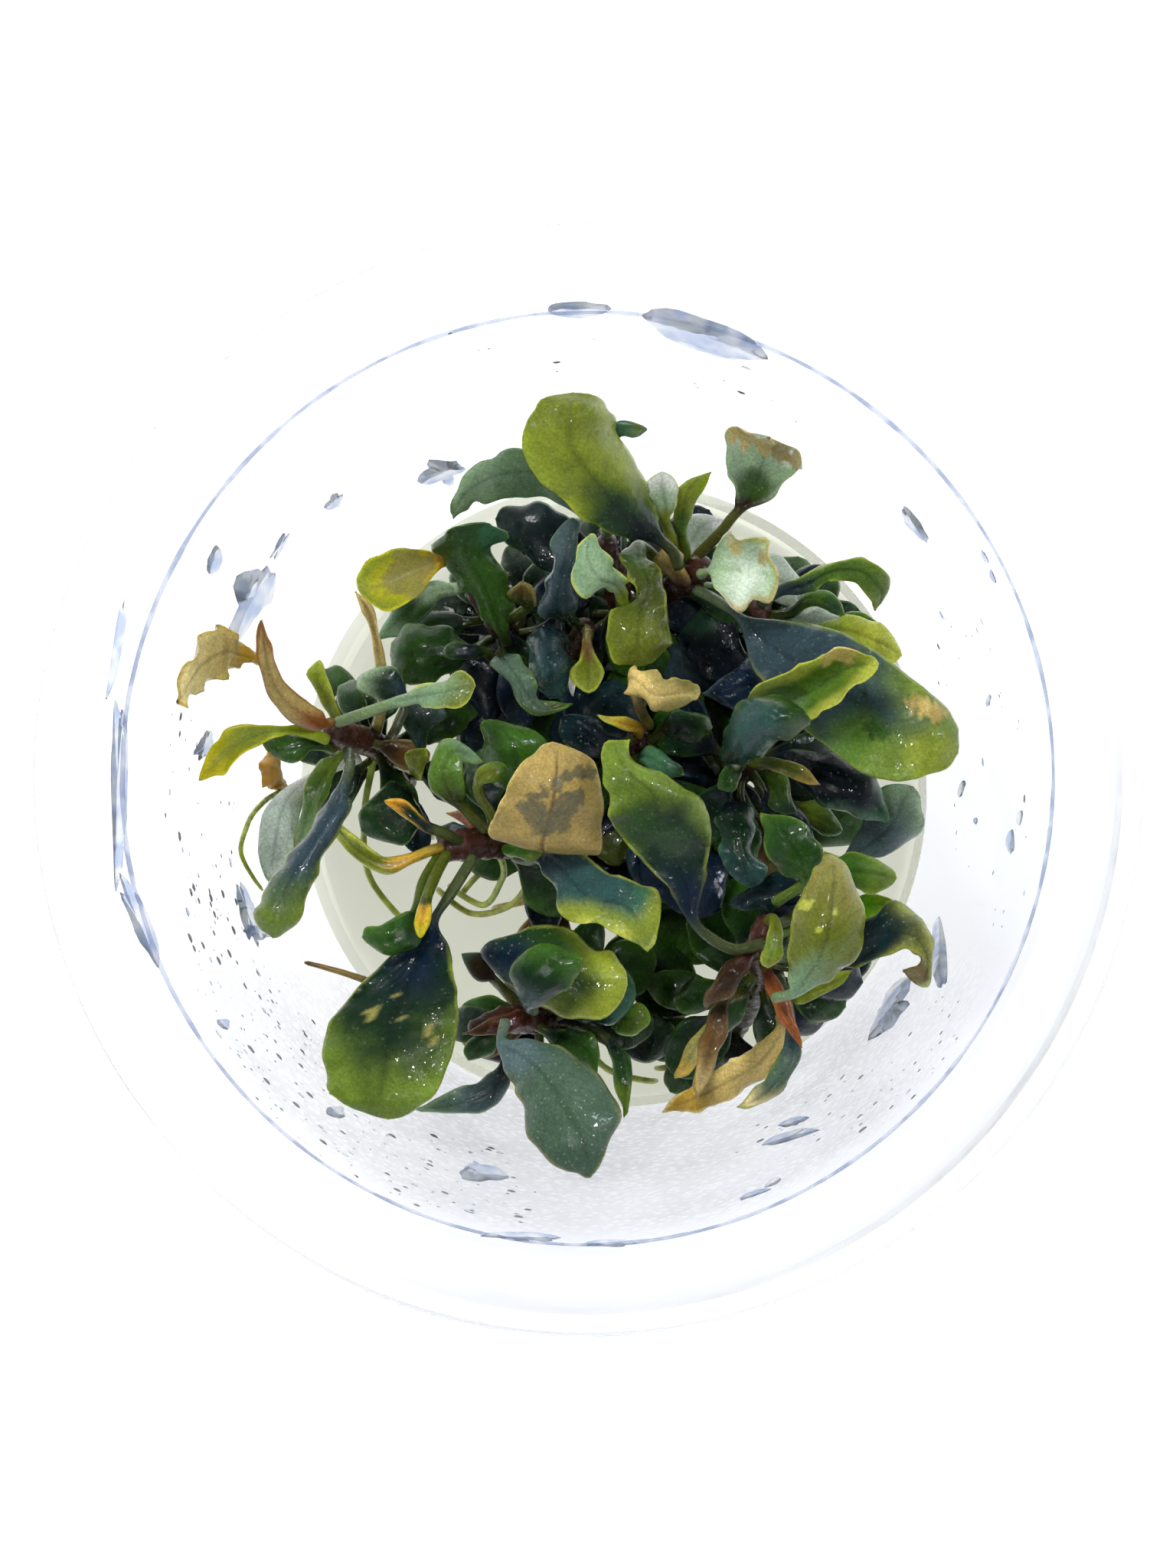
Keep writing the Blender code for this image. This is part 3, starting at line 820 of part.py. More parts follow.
def add_gel(collection):
    """The gel, level but for its rim, where it creeps up the wall."""
    bottom = FLOOR_THICKNESS + GAP
    rim = wall_radius(GEL_TOP) - GAP
    profile = [
        (0.0, GEL_TOP),
        (rim - 3.0, GEL_TOP),
        (rim - 0.8, GEL_TOP + 0.25 * GEL_RISE),
        (rim, GEL_TOP + GEL_RISE),
        (wall_radius(FLOOR_THICKNESS + 2.4) - GAP, FLOOR_THICKNESS + 2.4),
        (FLOOR_RADIUS - 2.0, bottom),
        (0.0, bottom),
    ]
    gel = turned_object("gel", profile, GEL_STEPS, collection)
    give_material(gel, (0.62, 0.62, 0.48), 0.1, 0.7)


def add_rhizome(name, line, collection, guides):
    """A rhizome with everything that is one piece with it: young leaves, buds, bracts and roots."""
    stem = tube_object(name, [point[:3] for point in line], [point[3] for point in line],
                       RHIZOME_STEPS, RHIZOME_RESOLUTION, collection)
    growth = new_collection(name + "_growth", guides)
    for leaf_name, leaf in YOUNG[name].items():
        skin_object(f"{name}_{leaf_name}", *leaf_shell(leaf, 1, LEAF_COLUMNS), growth)
    for number, line in enumerate(ROOTS.get(name, [])):
        radii = [ROOT_RADIUS] * len(line)
        tube_object(f"{name}_root_{number}", line, radii, ROOT_STEPS, ROOT_RESOLUTION, growth)
    fuse(stem, growth)
    give_material(stem, RHIZOME_COLOUR)


def add_leaf(name, leaf, collection):
    item = skin_object(name, *leaf_shell(leaf, LEAF_STEPS, LEAF_COLUMNS), collection)
    give_material(item, LEAF_COLOURS[leaf["kind"]])


def new_collection(name, parent):
    collection = bpy.data.collections.new(name)
    parent.children.link(collection)
    return collection


def main():
    for item in list(bpy.data.objects):
        bpy.data.objects.remove(item)
    parts = new_collection("bucephalandra", bpy.context.scene.collection)
    guides = new_collection("guides", bpy.context.scene.collection)
    add_jar(parts)
    add_gel(parts)
    for name, line in RHIZOMES.items():
        add_rhizome(name, line, parts, guides)
    for name, leaf in LEAVES.items():
        add_leaf(name, leaf, parts)


if __name__ == "__main__":
    main()
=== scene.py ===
import math
import bpy
import numpy as np
from mathutils import Matrix, Vector, noise


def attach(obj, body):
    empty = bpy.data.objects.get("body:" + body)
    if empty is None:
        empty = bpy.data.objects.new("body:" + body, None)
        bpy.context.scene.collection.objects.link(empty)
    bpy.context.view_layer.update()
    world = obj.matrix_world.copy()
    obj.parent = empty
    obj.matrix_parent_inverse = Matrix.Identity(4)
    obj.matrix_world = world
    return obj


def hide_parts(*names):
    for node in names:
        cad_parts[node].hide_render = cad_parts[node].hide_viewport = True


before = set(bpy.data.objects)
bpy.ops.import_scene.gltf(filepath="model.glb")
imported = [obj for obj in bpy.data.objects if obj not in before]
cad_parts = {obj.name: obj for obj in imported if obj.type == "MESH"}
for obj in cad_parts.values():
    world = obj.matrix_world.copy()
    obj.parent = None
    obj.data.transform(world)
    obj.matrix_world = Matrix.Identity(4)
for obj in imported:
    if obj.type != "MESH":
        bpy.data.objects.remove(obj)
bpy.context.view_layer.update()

# Bucephalandra plantlets on gel in their open culture jar, seen from nearly straight above.
# Lengths here are millimetres unless a line says otherwise, and toMetres turns them into Blender's.
toMetres = 0.001

# the photograph's camera, which the plants' places were read through
view = {
    "middle": (768.0, 1024.0),  # pixels
    "tall": 2048.0,  # pixels
    "focal": 3000.0,  # pixels
    "eye": (13.5, -7.9, 267.0),
    "aim": (0.62, -0.83, 60.0),
    "sensor": 36.0,
}

# The rhizomes, each a line of (pixel x, pixel y, height, radius)
rhizomes = {
    "rhizome_left": [(530, 1020, 8.4, 1.0), (505, 985, 16, 1.3), (478, 968, 23, 1.4), (452, 962, 28, 1.5),
                     (430, 952, 31, 1.2)],
    "rhizome_left_centre": [(765, 1135, 8.4, 1.1), (722, 1112, 17, 1.4), (680, 1102, 23.5, 1.5),
                            (640, 1100, 28, 1.7), (602, 1104, 31, 1.6), (572, 1110, 32, 1.2)],
    "rhizome_lower_left": [(775, 1345, 8.4, 1.1), (735, 1335, 18, 1.4), (697, 1331, 25, 1.5),
                           (655, 1333, 29, 1.4), (612, 1345, 30, 0.7)],
    "rhizome_top": [(815, 815, 8.4, 1.1), (845, 785, 18, 1.5), (875, 765, 24, 1.6), (903, 752, 27.5, 1.6),
                    (922, 735, 30, 1.0)],
    "rhizome_lower_right": [(955, 1350, 8.4, 1.1), (985, 1300, 17, 1.3), (996, 1262, 25, 1.4),
                            (992, 1235, 29.5, 1.4), (1003, 1198, 31, 1.1)],
    "rhizome_right": [(925, 1050, 8.4, 1.1), (955, 1020, 16, 1.4), (973, 993, 24, 1.4), (975, 975, 29, 1.3),
                      (978, 955, 32, 0.9)],
    "rhizome_upper_left": [(705, 885, 8.4, 1.1), (678, 848, 17, 1.4), (650, 812, 22, 1.3),
                           (622, 772, 25, 1.1), (606, 745, 26.5, 0.9)],
    "rhizome_back": [(800, 860, 8.4, 1.0), (812, 815, 17, 1.3), (808, 775, 24, 1.3), (797, 735, 28, 1.2),
                     (790, 700, 30, 1.0)],
    "rhizome_centre": [(725, 935, 8.4, 1.1), (738, 885, 16, 1.4), (755, 845, 22, 1.3), (765, 815, 26, 1.1)],
    "rhizome_middle": [(865, 1080, 8.4, 1.1), (848, 1035, 15, 1.4), (838, 990, 21, 1.4),
                       (832, 955, 26, 1.1)],
    "rhizome_upper_right": [(1020, 880, 8.4, 1.1), (1015, 845, 16, 1.3), (1003, 815, 22, 1.3),
                            (988, 790, 25.5, 1.0)],
}

# The colours of the plants' skins
leafPalette = {
    "ink": "06101a", "navy": "0a1a2c", "night": "0b2226", "pine": "0c2412", "forest": "1d3c12",
    "moss": "325618", "fern": "4a6a22", "vivid": "6fae14", "leaf": "647a28", "spring": "86922c",
    "lime": "94a61e", "citron": "b2b64a", "yellow": "bcb014", "amber": "e2a024", "gold": "b8902a",
    "olive": "5e6818", "darkOlive": "36400f", "khaki": "8a8448", "drab": "425846", "slate": "2a3c44",
    "steel": "4c6062", "teal": "2a4a48", "jade": "3a6648", "sage": "6f8c6a", "mint": "98b28c",
    "frost": "c2d0c0", "milk": "e8eae4", "tan": "a28c50", "straw": "c8b06c", "cream": "ead698",
    "bark": "5c4220", "rust": "8a4c20", "wine": "3a130e", "rose": "9a6858", "umber": "2c1e10",
    "ash": "625e48",
}

# The leaves. A stalk is points of (pixel x, pixel y, height) from the foot to the neck. A row across
# the blade is (left margin pixel x and y, right margin pixel x and y, height, how much higher the left
# margin is than the right, how much higher the midrib is than the margins). The tints are those of the
# base, the body, the tip and the edge. A patch is (pixel x and y, radius in pixels, tint, softness).
grownLeaves = {
    # Round the top
    "crown_leaf": {
        "stalk": [(887, 740, 32.2), (878, 720, 34.0), (863, 706, 35.2)],
        "rows": [(797, 696, 858, 672, 37.5, 0, 0.5), (730, 650, 842, 625, 40.5, 0, 1.0),
                 (686, 597, 808, 568, 43.0, 0, 1.2), (694, 541, 797, 537, 44.5, 0, 1.0)],
        "tip": (748, 514, 44.0), "blunt": 1.6, "tints": "ink forest spring lime", "wave": 0.25,
        "roll": (1.0, -2.6), "blend": (0.34, 0.82)},
    "grey_leaf": {
        "stalk": [(782, 685, 30.0), (760, 668, 32)],
        "rows": [(705, 650, 705, 590, 34.0, -1, 0.5), (655, 653, 648, 592, 35.5, -1, 1.0),
                 (618, 660, 603, 628, 34.5, -2, 0.8)],
        "tip": (592, 676, 32.5), "blunt": 0.6, "kind": "grey", "tints": "steel sage mint sage",
        "wave": 0.3, "roll": (-1.5, 1.0)},
    "fan_leaf": {
        "stalk": [(914, 723, 31.6), (938, 698, 35), (966, 664, 38)],
        "rows": [(957, 640, 1007, 648, 40.0, 0, -1.5), (950, 598, 1038, 616, 42.5, 0, -2.0),
                 (952, 563, 1051, 607, 43.5, 0, -1.2)],
        "tip": (1004, 572, 45.0), "blunt": 1.2, "kind": "grey", "tints": "umber mint milk mint",
        "wave": 0.35, "rim": 0.1, "fine": 2, "roll": (1.2, 1.2),
        "patches": [(985, 632, 20, "moss", 0.9), (958, 568, 11, "straw"), (976, 575, 13, "straw"),
                    (998, 583, 13, "straw"), (1020, 592, 13, "tan"), (1041, 603, 13, "tan")]},
    "decayed_round_leaf": {
        "stalk": [(915, 750, 31.0), (931, 745, 33.4)],
        "rows": [(940, 706, 938, 775, 35.5, 0, -1.0), (965, 695, 965, 788, 37.0, 0, -1.6),
                 (989, 703, 992, 786, 37.5, 0, -1.4), (1003, 724, 1010, 776, 38.0, 0, -0.6)],
        "tip": (1016, 752, 38.4), "blunt": 1.1, "kind": "lime", "tints": "mint frost mint tan",
        "wave": 0.8, "ragged": 0.15, "band": 0.8, "rib": "mint", "roll": (1.5, 2.0),
        "patches": [(985, 745, 15, "frost"), (960, 715, 11, "straw"), (996, 730, 8, "tan")]},
    "right_curl_leaf": {
        "stalk": [(993, 790, 27.2), (1018, 772, 29)],
        "rows": [(1045, 752, 1058, 776, 32.0, 1, 0), (1098, 732, 1088, 757, 35.5, 2, 0),
                 (1140, 731, 1117, 764, 37.0, 2, 0), (1164, 762, 1137, 784, 35.5, 1, 0)],
        "tip": (1143, 796, 33.5), "blunt": 0.3, "kind": "olive", "tints": "slate fern leaf spring",
        "wave": 0.3, "roll": (-1.0, 0.6)},
    "upper_right_leaf": {
        "stalk": [(1012, 820, 24.0), (1060, 824, 27)],
        "rows": [(1108, 806, 1098, 842, 30.0, 0, 0.5), (1150, 813, 1135, 862, 31.5, 0, 0.8)],
        "tip": (1177, 856, 31.0), "blunt": 0.9, "kind": "lime", "tints": "fern spring citron citron"},
    "big_right_leaf": {
        "stalk": [(909, 770, 29.2), (938, 786, 31.0), (970, 810, 33.2)],
        "rows": [(1022, 810, 982, 868, 35.0, 0, -0.6), (1090, 822, 1025, 925, 37.5, 0, -0.8),
                 (1152, 856, 1090, 984, 39.0, 0, -0.6), (1207, 900, 1150, 1018, 40.0, 0, 0.4),
                 (1246, 936, 1212, 1013, 39.5, 0, 0.6)],
        "tip": (1250, 984, 38.5), "blunt": 0.9, "kind": "olive", "tints": "slate slate leaf spring",
        "blend": (0.5, 1.05), "roll": (-0.8, 0.8),
        "patches": [(1122, 968, 40, "fern", 0.9), (1165, 998, 38, "leaf", 0.9),
                    (1218, 990, 34, "spring", 0.9), (1196, 918, 10, "tan"), (1211, 924, 11, "straw"),
                    (1227, 933, 11, "tan"), (1143, 956, 14, "forest"), (1124, 905, 9, "pine")]},
    "trough_leaf": {
        "stalk": [(962, 962, 33.6), (975, 945, 37)],
        "rows": [(978, 905, 1030, 945, 40.0, 0, -1.6), (1048, 869, 1078, 930, 43.0, 0, -2.2),
                 (1102, 845, 1118, 895, 44.5, 0, -1.8)],
        "tip": (1147, 866, 44.0), "blunt": 0.9, "tints": "sage fern leaf citron", "wave": 0.2,
        "ragged": 0.15, "band": 1.2, "roll": (1.8, 1.8),
        "patches": [(1080, 858, 11, "straw"), (1097, 852, 16, "straw"), (1110, 846, 11, "straw")]},
    "drape_leaf": {
        "stalk": [(960, 1000, 34.4), (950, 993, 36.6)],
        "rows": [(943, 970, 980, 996, 39.5, 0, 1.5), (955, 935, 1008, 977, 42.5, 0, 2.0),
                 (990, 908, 1040, 960, 44.5, 0, 1.8)],
        "tip": (1049, 928, 44.5), "blunt": 1.5, "tints": "pine pine forest fern", "roll": (-1.8, -1.8),
        "patches": [(985, 950, 36, "teal", 0.8)]},
    "navy_left_point_leaf": {
        "stalk": [(985, 938, 30.6), (1000, 915, 31)],
        "rows": [(985, 931, 984, 858, 31.5, 0, 0.5), (955, 926, 950, 880, 32.0, 0, 0.5)],
        "tip": (917, 906, 31.5), "blunt": 0.1, "kind": "navy", "tints": "ink navy ink slate",
        "roll": (-1.0, -1.0)},
    "navy_right_leaf": {
        "stalk": [(997, 992, 26.4), (1008, 992, 29.0)],
        "rows": [(1045, 980, 1035, 1018, 31.5, 0, 0.5), (1092, 984, 1065, 1045, 33.0, 0, 0.8),
                 (1135, 1004, 1103, 1062, 33.0, 0, 0.8), (1153, 1038, 1137, 1073, 32.0, 0, 0.3)],
        "tip": (1160, 1074, 31.3), "blunt": 0.2, "kind": "navy", "tints": "ink ink jade moss",
        "roll": (-1.0, -1.0), "blend": (0.62, 1.1)},
    "wall_grey_leaf": {
        "stalk": [(1019, 1248, 26.6), (1068, 1190, 24.5), (1108, 1122, 25.5)],
        "rows": [(1120, 1085, 1158, 1114, 27.0, 0, 0.5), (1136, 1052, 1202, 1090, 28.5, 0, 0.8),
                 (1158, 1026, 1205, 1056, 29.0, 0, 0.5)],
        "tip": (1192, 1028, 28.8), "kind": "grey", "tints": "steel steel mint steel", "roll": (0.8, -1.0)},
    "green_oval_leaf": {
        "stalk": [(1012, 1180, 31.5), (1050, 1150, 33)],
        "rows": [(1018, 1139, 1074, 1116, 34.0, 0, 0.8), (1003, 1112, 1058, 1083, 35.0, 0, 1.0),
                 (994, 1083, 1025, 1068, 34.6, 0, 0.6)],
        "tip": (994, 1063, 34.0), "blunt": 0.3, "tints": "moss forest moss leaf", "wave": 0.35,
        "roll": (-0.8, 1.0)},
    "glossy_olive_leaf": {
        "stalk": [(1012, 1303, 35.4), (1036, 1297, 37.5)],
        "rows": [(1028, 1268, 1083, 1279, 39.0, 0, 0.4), (1031, 1222, 1126, 1236, 41.0, 0, 0.8),
                 (1046, 1166, 1128, 1188, 42.0, 0, 1.0), (1066, 1130, 1110, 1142, 42.0, 0, 0.8)],
        "tip": (1084, 1117, 41.4), "blunt": 0.8, "kind": "olive", "tints": "sage olive khaki spring",
        "fine": 2, "roll": (-1.2, -1.2),
        "patches": [(1052, 1180, 9, "citron"), (1070, 1215, 6, "citron"), (1090, 1190, 5, "citron")]},
    "bright_right_leaf": {
        "stalk": [(1018, 1174, 29.4), (1070, 1148, 31)],
        "rows": [(1108, 1115, 1108, 1160, 33.0, 0, 0.8), (1152, 1122, 1147, 1163, 33.5, 0, 0.6)],
        "tip": (1170, 1147, 33.0), "blunt": 1.1, "kind": "lime", "tints": "moss moss leaf spring"},
    "hook_leaf": {
        "stalk": [(1013, 1251, 29.4), (1070, 1246, 32.4)],
        "rows": [(1125, 1204, 1108, 1264, 34.5, 0, 0.8), (1172, 1180, 1147, 1254, 37.0, 0, 1.2),
                 (1210, 1205, 1178, 1242, 38.4, 0, 0.8), (1221, 1250, 1198, 1250, 38.0, -1, 0),
                 (1212, 1288, 1198, 1262, 37.4, -2, 0)],
        "tip": (1180, 1268, 36.8), "blunt": 0.4, "kind": "grey", "tints": "slate night citron leaf",
        "wave": 0.35, "roll": (-1.4, 1.0),
        "patches": [(1190, 1268, 20, "bark")]},
    # Upper left
    "yellow_left_leaf": {
        "stalk": [(600, 743, 28.6), (580, 733, 30)],
        "rows": [(555, 766, 545, 716, 32.5, 0, -0.8), (525, 793, 503, 721, 34.5, 0, -1.0),
                 (492, 793, 475, 741, 35.0, 0, -0.6)],
        "tip": (467, 768, 34.8), "blunt": 1.0, "kind": "lime", "tints": "gold yellow spring yellow",
        "roll": (1.4, 1.4),
        "patches": [(532, 748, 32, "khaki")]},
    "olive_strap_leaf": {
        "stalk": [(662, 840, 22.8), (657, 828, 25.0)],
        "rows": [(624, 797, 668, 797, 27.5, 0, 0.8), (598, 762, 664, 757, 30.0, 0, 1.2),
                 (577, 728, 645, 718, 32.5, 0, 1.2), (577, 700, 648, 688, 34.8, 0, 0.8)],
        "tip": (612, 684, 36.0), "blunt": 1.5, "kind": "olive", "tints": "moss moss forest fern",
        "wave": 0.45, "roll": (-1.5, -1.5),
        "patches": [(650, 700, 26, "jade", 0.6)]},
    "blue_strap_leaf": {
        "stalk": [(757, 818, 27.8), (748, 811, 29)],
        "rows": [(705, 796, 753, 798, 31.0, 0, 0.8), (716, 748, 756, 748, 33.0, 0, 1.0),
                 (728, 706, 761, 708, 34.5, 0, 0.8)],
        "tip": (748, 677, 35.0), "blunt": 1.5, "kind": "navy", "tints": "pine slate steel jade",
        "wave": 0.5, "roll": (-1.5, -1.5)},
    "light_square_leaf": {
        "stalk": [(820, 801, 23.8), (814, 785, 31.0)],
        "rows": [(792, 770, 815, 757, 35.0, 0, 0.5), (757, 770, 803, 737, 37.5, 0, 0.8),
                 (746, 742, 789, 716, 38.5, 0, 0.6)],
        "tip": (771, 698, 38.6), "blunt": 0.8, "kind": "lime", "tints": "lime mint sage citron",
        "wave": 0.6, "roll": (1.0, 1.5)},
    "twisted_olive_leaf": {
        "stalk": [(868, 750, 26.8), (850, 722, 29.5), (834, 712, 31.5)],
        "rows": [(853, 732, 814, 736, 33.5, -1, 0.8), (869, 768, 832, 768, 36.0, 2, 0.5),
                 (873, 808, 798, 806, 37.5, 2, 0.5), (876, 844, 792, 842, 37.5, 0, 0.8)],
        "tip": (835, 869, 36.5), "blunt": 1.2, "kind": "olive", "tints": "moss darkOlive olive spring",
        "wave": 0.7, "roll": (-2.2, 1.0)},
    "tan_broken_leaf": {
        "stalk": [(848, 947, 27.6), (836, 925, 33.0)],
        "rows": [(830, 868, 828, 905, 37.5, 0, 0.6), (862, 888, 850, 928, 38.0, 0, 0.4),
                 (893, 884, 880, 925, 37.5, 0, -0.4)],
        "tip": (914, 906, 36.5), "blunt": 0.9, "kind": "tan", "tints": "bark straw khaki tan", "wave": 0.8,
        "ragged": 0.3, "roll": (1.2, -1.5)},
    "rolled_dark_leaf": {
        "stalk": [(741, 836, 24.8), (722, 826, 29.0)],
        "rows": [(742, 842, 692, 832, 33.0, 0, 2.2), (748, 872, 693, 876, 34.5, 0, 2.6)],
        "tip": (720, 912, 33.0), "blunt": 1.2, "kind": "navy", "tints": "night night teal teal",
        "roll": (-2.2, -2.2)},
    "curled_green_leaf": {
        "stalk": [(693, 860, 18.8), (668, 864, 26), (655, 860, 30)],
        "rows": [(682, 862, 644, 872, 34.0, 0, 0.6), (700, 895, 670, 903, 35.0, 0, 0.8),
                 (706, 912, 692, 932, 34.6, -1, 0.4)],
        "tip": (748, 920, 32.5), "blunt": 0.5, "tints": "pine drab darkOlive fern", "roll": (1.4, -1.0)},
    "dark_slab_leaf": {
        "stalk": [(640, 836, 19.6), (613, 848, 24.0)],
        "rows": [(592, 880, 588, 824, 26.0, 0, 0.8), (556, 892, 552, 814, 27.0, 0, 1.2),
                 (525, 890, 522, 822, 26.6, 0, 0.8)],
        "tip": (511, 856, 26.0), "blunt": 1.2, "tints": "forest forest moss fern", "wave": 0.4,
        "roll": (-1.2, -1.0)},
    # Left
    "left_sheath_leaf": {
        "stalk": [(432, 944, 33.0), (424, 946, 34.5)],
        "rows": [(398, 952, 420, 928, 37.0, 0, 0.8), (363, 928, 387, 906, 40.0, 0, 0.8),
                 (344, 888, 363, 874, 42.5, 0, 0.6), (334, 845, 352, 836, 44.0, 0, -0.6)],
        "tip": (341, 811, 45.0), "blunt": 0.5, "kind": "tan", "tints": "rust tan tan rust", "wave": 0.1},
    "far_left_leaf": {
        "stalk": [(427, 966, 32.4), (404, 958, 34)],
        "rows": [(370, 961, 368, 948, 36.5, 0, 0.2), (335, 975, 325, 947, 39.0, 0, -0.6),
                 (302, 1000, 286, 962, 40.6, 0, -0.8), (281, 1013, 267, 993, 41.2, 0, -0.4)],
        "tip": (260, 1019, 41.0), "blunt": 0.5, "kind": "lime", "tints": "lime spring yellow yellow",
        "roll": (1.0, 1.0)},
    "dark_glossy_left_leaf": {
        "stalk": [(433, 980, 29.0), (422, 974, 31.0)],
        "rows": [(405, 983, 400, 960, 32.5, 0, 0.5), (378, 998, 362, 961, 34.0, 0, 0.8)],
        "tip": (341, 967, 34.0), "blunt": 0.5, "kind": "navy", "tints": "forest moss moss leaf"},
    "wing_leaf": {
        "stalk": [(442, 943, 32.4), (475, 932, 35), (518, 917, 37)],
        "rows": [(550, 900, 548, 922, 38.5, 0, 0.4), (583, 884, 576, 925, 40.0, 0, 0.5),
                 (608, 876, 600, 922, 40.0, 0, 0.3)],
        "tip": (620, 896, 39.5), "blunt": 0.8, "kind": "grey", "tints": "sage sage olive citron",
        "wave": 0.4, "roll": (-0.8, 0.8)},
    "long_dark_leaf": {
        "stalk": [(455, 980, 30.4), (456, 1005, 33.5), (447, 1030, 36)],
        "rows": [(457, 1056, 422, 1054, 38.0, 0, 0.8), (430, 1108, 383, 1113, 39.5, 0, 1.0),
                 (403, 1167, 344, 1166, 40.4, 0, 1.0), (382, 1212, 334, 1197, 40.2, 0, 0.6)],
        "tip": (357, 1224, 39.6), "blunt": 0.8, "kind": "navy", "tints": "slate slate leaf spring",
        "roll": (-1.5, -1.0)},
    "pale_wall_leaf": {
        "stalk": [(470, 990, 21.0), (405, 1018, 23)],
        "rows": [(392, 1062, 350, 1050, 25.5, 0, 0.5), (384, 1110, 337, 1098, 27.0, 0, 0.6)],
        "tip": (352, 1152, 27.5), "kind": "grey", "tints": "milk frost frost mint", "wave": 0.1},
    "c_curl_leaf": {
        "stalk": [(634, 1084, 31.6), (616, 1066, 33.4), (600, 1050, 34.6)],
        "rows": [(566, 1035, 608, 1030, 36.0, 0, 1.0), (559, 1003, 603, 1008, 37.0, 0, 1.2),
                 (577, 970, 608, 996, 36.8, 0, 0.8), (608, 972, 616, 998, 35.6, 0, 0.4)],
        "tip": (629, 995, 34.6), "blunt": 0.6, "tints": "darkOlive fern sage leaf", "wave": 0.2,
        "roll": (1.2, 1.2)},
    # Middle
    "centre_leaf": {
        "stalk": [(998, 1232, 32.6), (960, 1240, 33.5), (928, 1225, 34.5), (905, 1200, 36)],
        "rows": [(880, 1172, 919, 1160, 37.5, 0, -0.4), (838, 1123, 925, 1118, 39.5, 0, -0.6),
                 (798, 1078, 928, 1076, 41.5, 0, 0.5), (795, 1035, 908, 1034, 43.0, 0, 1.0),
                 (783, 1000, 850, 1007, 43.6, 0, 0.8), (795, 969, 818, 984, 43.0, 0, 0.3)],
        "tip": (822, 967, 42.4), "blunt": 0.3, "tints": "navy pine leaf spring", "wave": 0.35,
        "ragged": 0.1, "blend": (0.46, 0.86), "roll": (0.8, -1.3),
        "patches": [(838, 1078, 26, "forest", 0.9), (880, 1098, 22, "forest", 0.9)]},
    "tan_leaf": {
        "stalk": [(706, 1086, 23.8), (722, 1096, 28.5), (717, 1108, 33.4)],
        "rows": [(643, 1094, 776, 1115, 35.5, 0, 0.8), (652, 1055, 787, 1070, 38.0, 0, 1.0),
                 (668, 1018, 786, 1028, 39.5, 0, 1.0), (692, 984, 762, 986, 40.2, 0, 0.5)],
        "tip": (722, 970, 40.0), "blunt": 0.6, "kind": "tan", "tints": "tan tan tan straw", "wave": 0.3,
        "rib": "bark", "fine": 2, "roll": (0.8, -0.8),
        "patches": [(770, 1009, 9, "ash"), (757, 1008, 8, "ash"), (741, 1015, 9, "ash"),
                    (726, 1026, 9, "ash"), (710, 1034, 9, "ash"), (694, 1043, 9, "ash"),
                    (738, 1052, 17, "ash"), (752, 1040, 11, "ash"), (729, 1072, 17, "ash"),
                    (700, 1062, 17, "ash"), (710, 1078, 13, "ash"), (685, 1052, 9, "ash")]},
    "yellow_edge_leaf": {
        "stalk": [(672, 1119, 26.2), (690, 1124, 27.4), (705, 1122, 30.0)],
        "rows": [(745, 1112, 718, 1152, 31.5, 0, 0.6), (803, 1142, 738, 1202, 33.5, 0, 0.8),
                 (860, 1166, 785, 1208, 34.6, 0, 0.4), (862, 1206, 818, 1227, 34.4, 0, 0.2)],
        "tip": (846, 1242, 33.6), "blunt": 0.3, "tints": "slate teal jade citron", "wave": 0.4,
        "rim": 0.25, "band": 0.45, "roll": (0.5, 1.0),
        "patches": [(742, 1198, 20, "spring", 1.2), (770, 1202, 22, "spring", 1.2),
                    (798, 1214, 24, "spring", 1.2), (822, 1226, 24, "spring", 1.2),
                    (862, 1180, 16, "spring", 1.2), (856, 1206, 22, "spring", 1.2),
                    (810, 1226, 14, "citron", 1.2), (764, 1210, 12, "citron", 1.2)]},
    "green_under_tan_leaf": {
        "stalk": [(672, 1080, 26.2), (684, 1050, 28.4)],
        "rows": [(642, 1015, 708, 1015, 31.0, 0, 0.8), (630, 972, 712, 968, 33.0, 0, 1.0)],
        "tip": (640, 940, 33.0), "blunt": 1.0, "tints": "forest moss moss fern", "roll": (-1.0, -1.0)},
    "teal_middle_leaf": {
        "stalk": [(826, 966, 26.6), (812, 972, 28)],
        "rows": [(770, 986, 790, 952, 30.5, 0, 0.8), (737, 966, 766, 930, 31.5, 0, 0.8)],
        "tip": (733, 938, 31.5), "blunt": 0.5, "kind": "navy", "tints": "ink ink night night"},
    "wavy_blue_leaf": {
        "stalk": [(949, 1042, 17.8), (955, 1050, 25.0)],
        "rows": [(986, 1062, 933, 1072, 28.0, 0, 0.8), (984, 1103, 944, 1108, 29.5, 0, 0.8),
                 (999, 1138, 952, 1143, 30.0, 0, 0.6)],
        "tip": (982, 1158, 29.5), "blunt": 0.9, "kind": "navy", "tints": "ink pine teal jade", "wave": 0.5,
        "roll": (-1.0, 0.8)},
    # Round the bottom
    "bottom_broad_leaf": {
        "stalk": [(652, 1256, 29.2), (634, 1246, 29.4)],
        "rows": [(672, 1216, 662, 1284, 30.4, 0, 0.6), (735, 1209, 705, 1316, 31.0, 0, 0.6),
                 (778, 1240, 755, 1331, 31.4, 0, 0.4), (807, 1250, 798, 1321, 31.0, 0, 0.2)],
        "tip": (819, 1286, 30.6), "blunt": 1.0, "kind": "navy", "tints": "navy forest spring citron",
        "wave": 0.3, "roll": (-1.0, -1.0)},
    "round_green_leaf": {
        "stalk": [(697, 1320, 28.8), (690, 1313, 33.0)],
        "rows": [(668, 1284, 716, 1308, 35.0, 0, 0.6), (676, 1250, 750, 1284, 36.4, 0, 0.8),
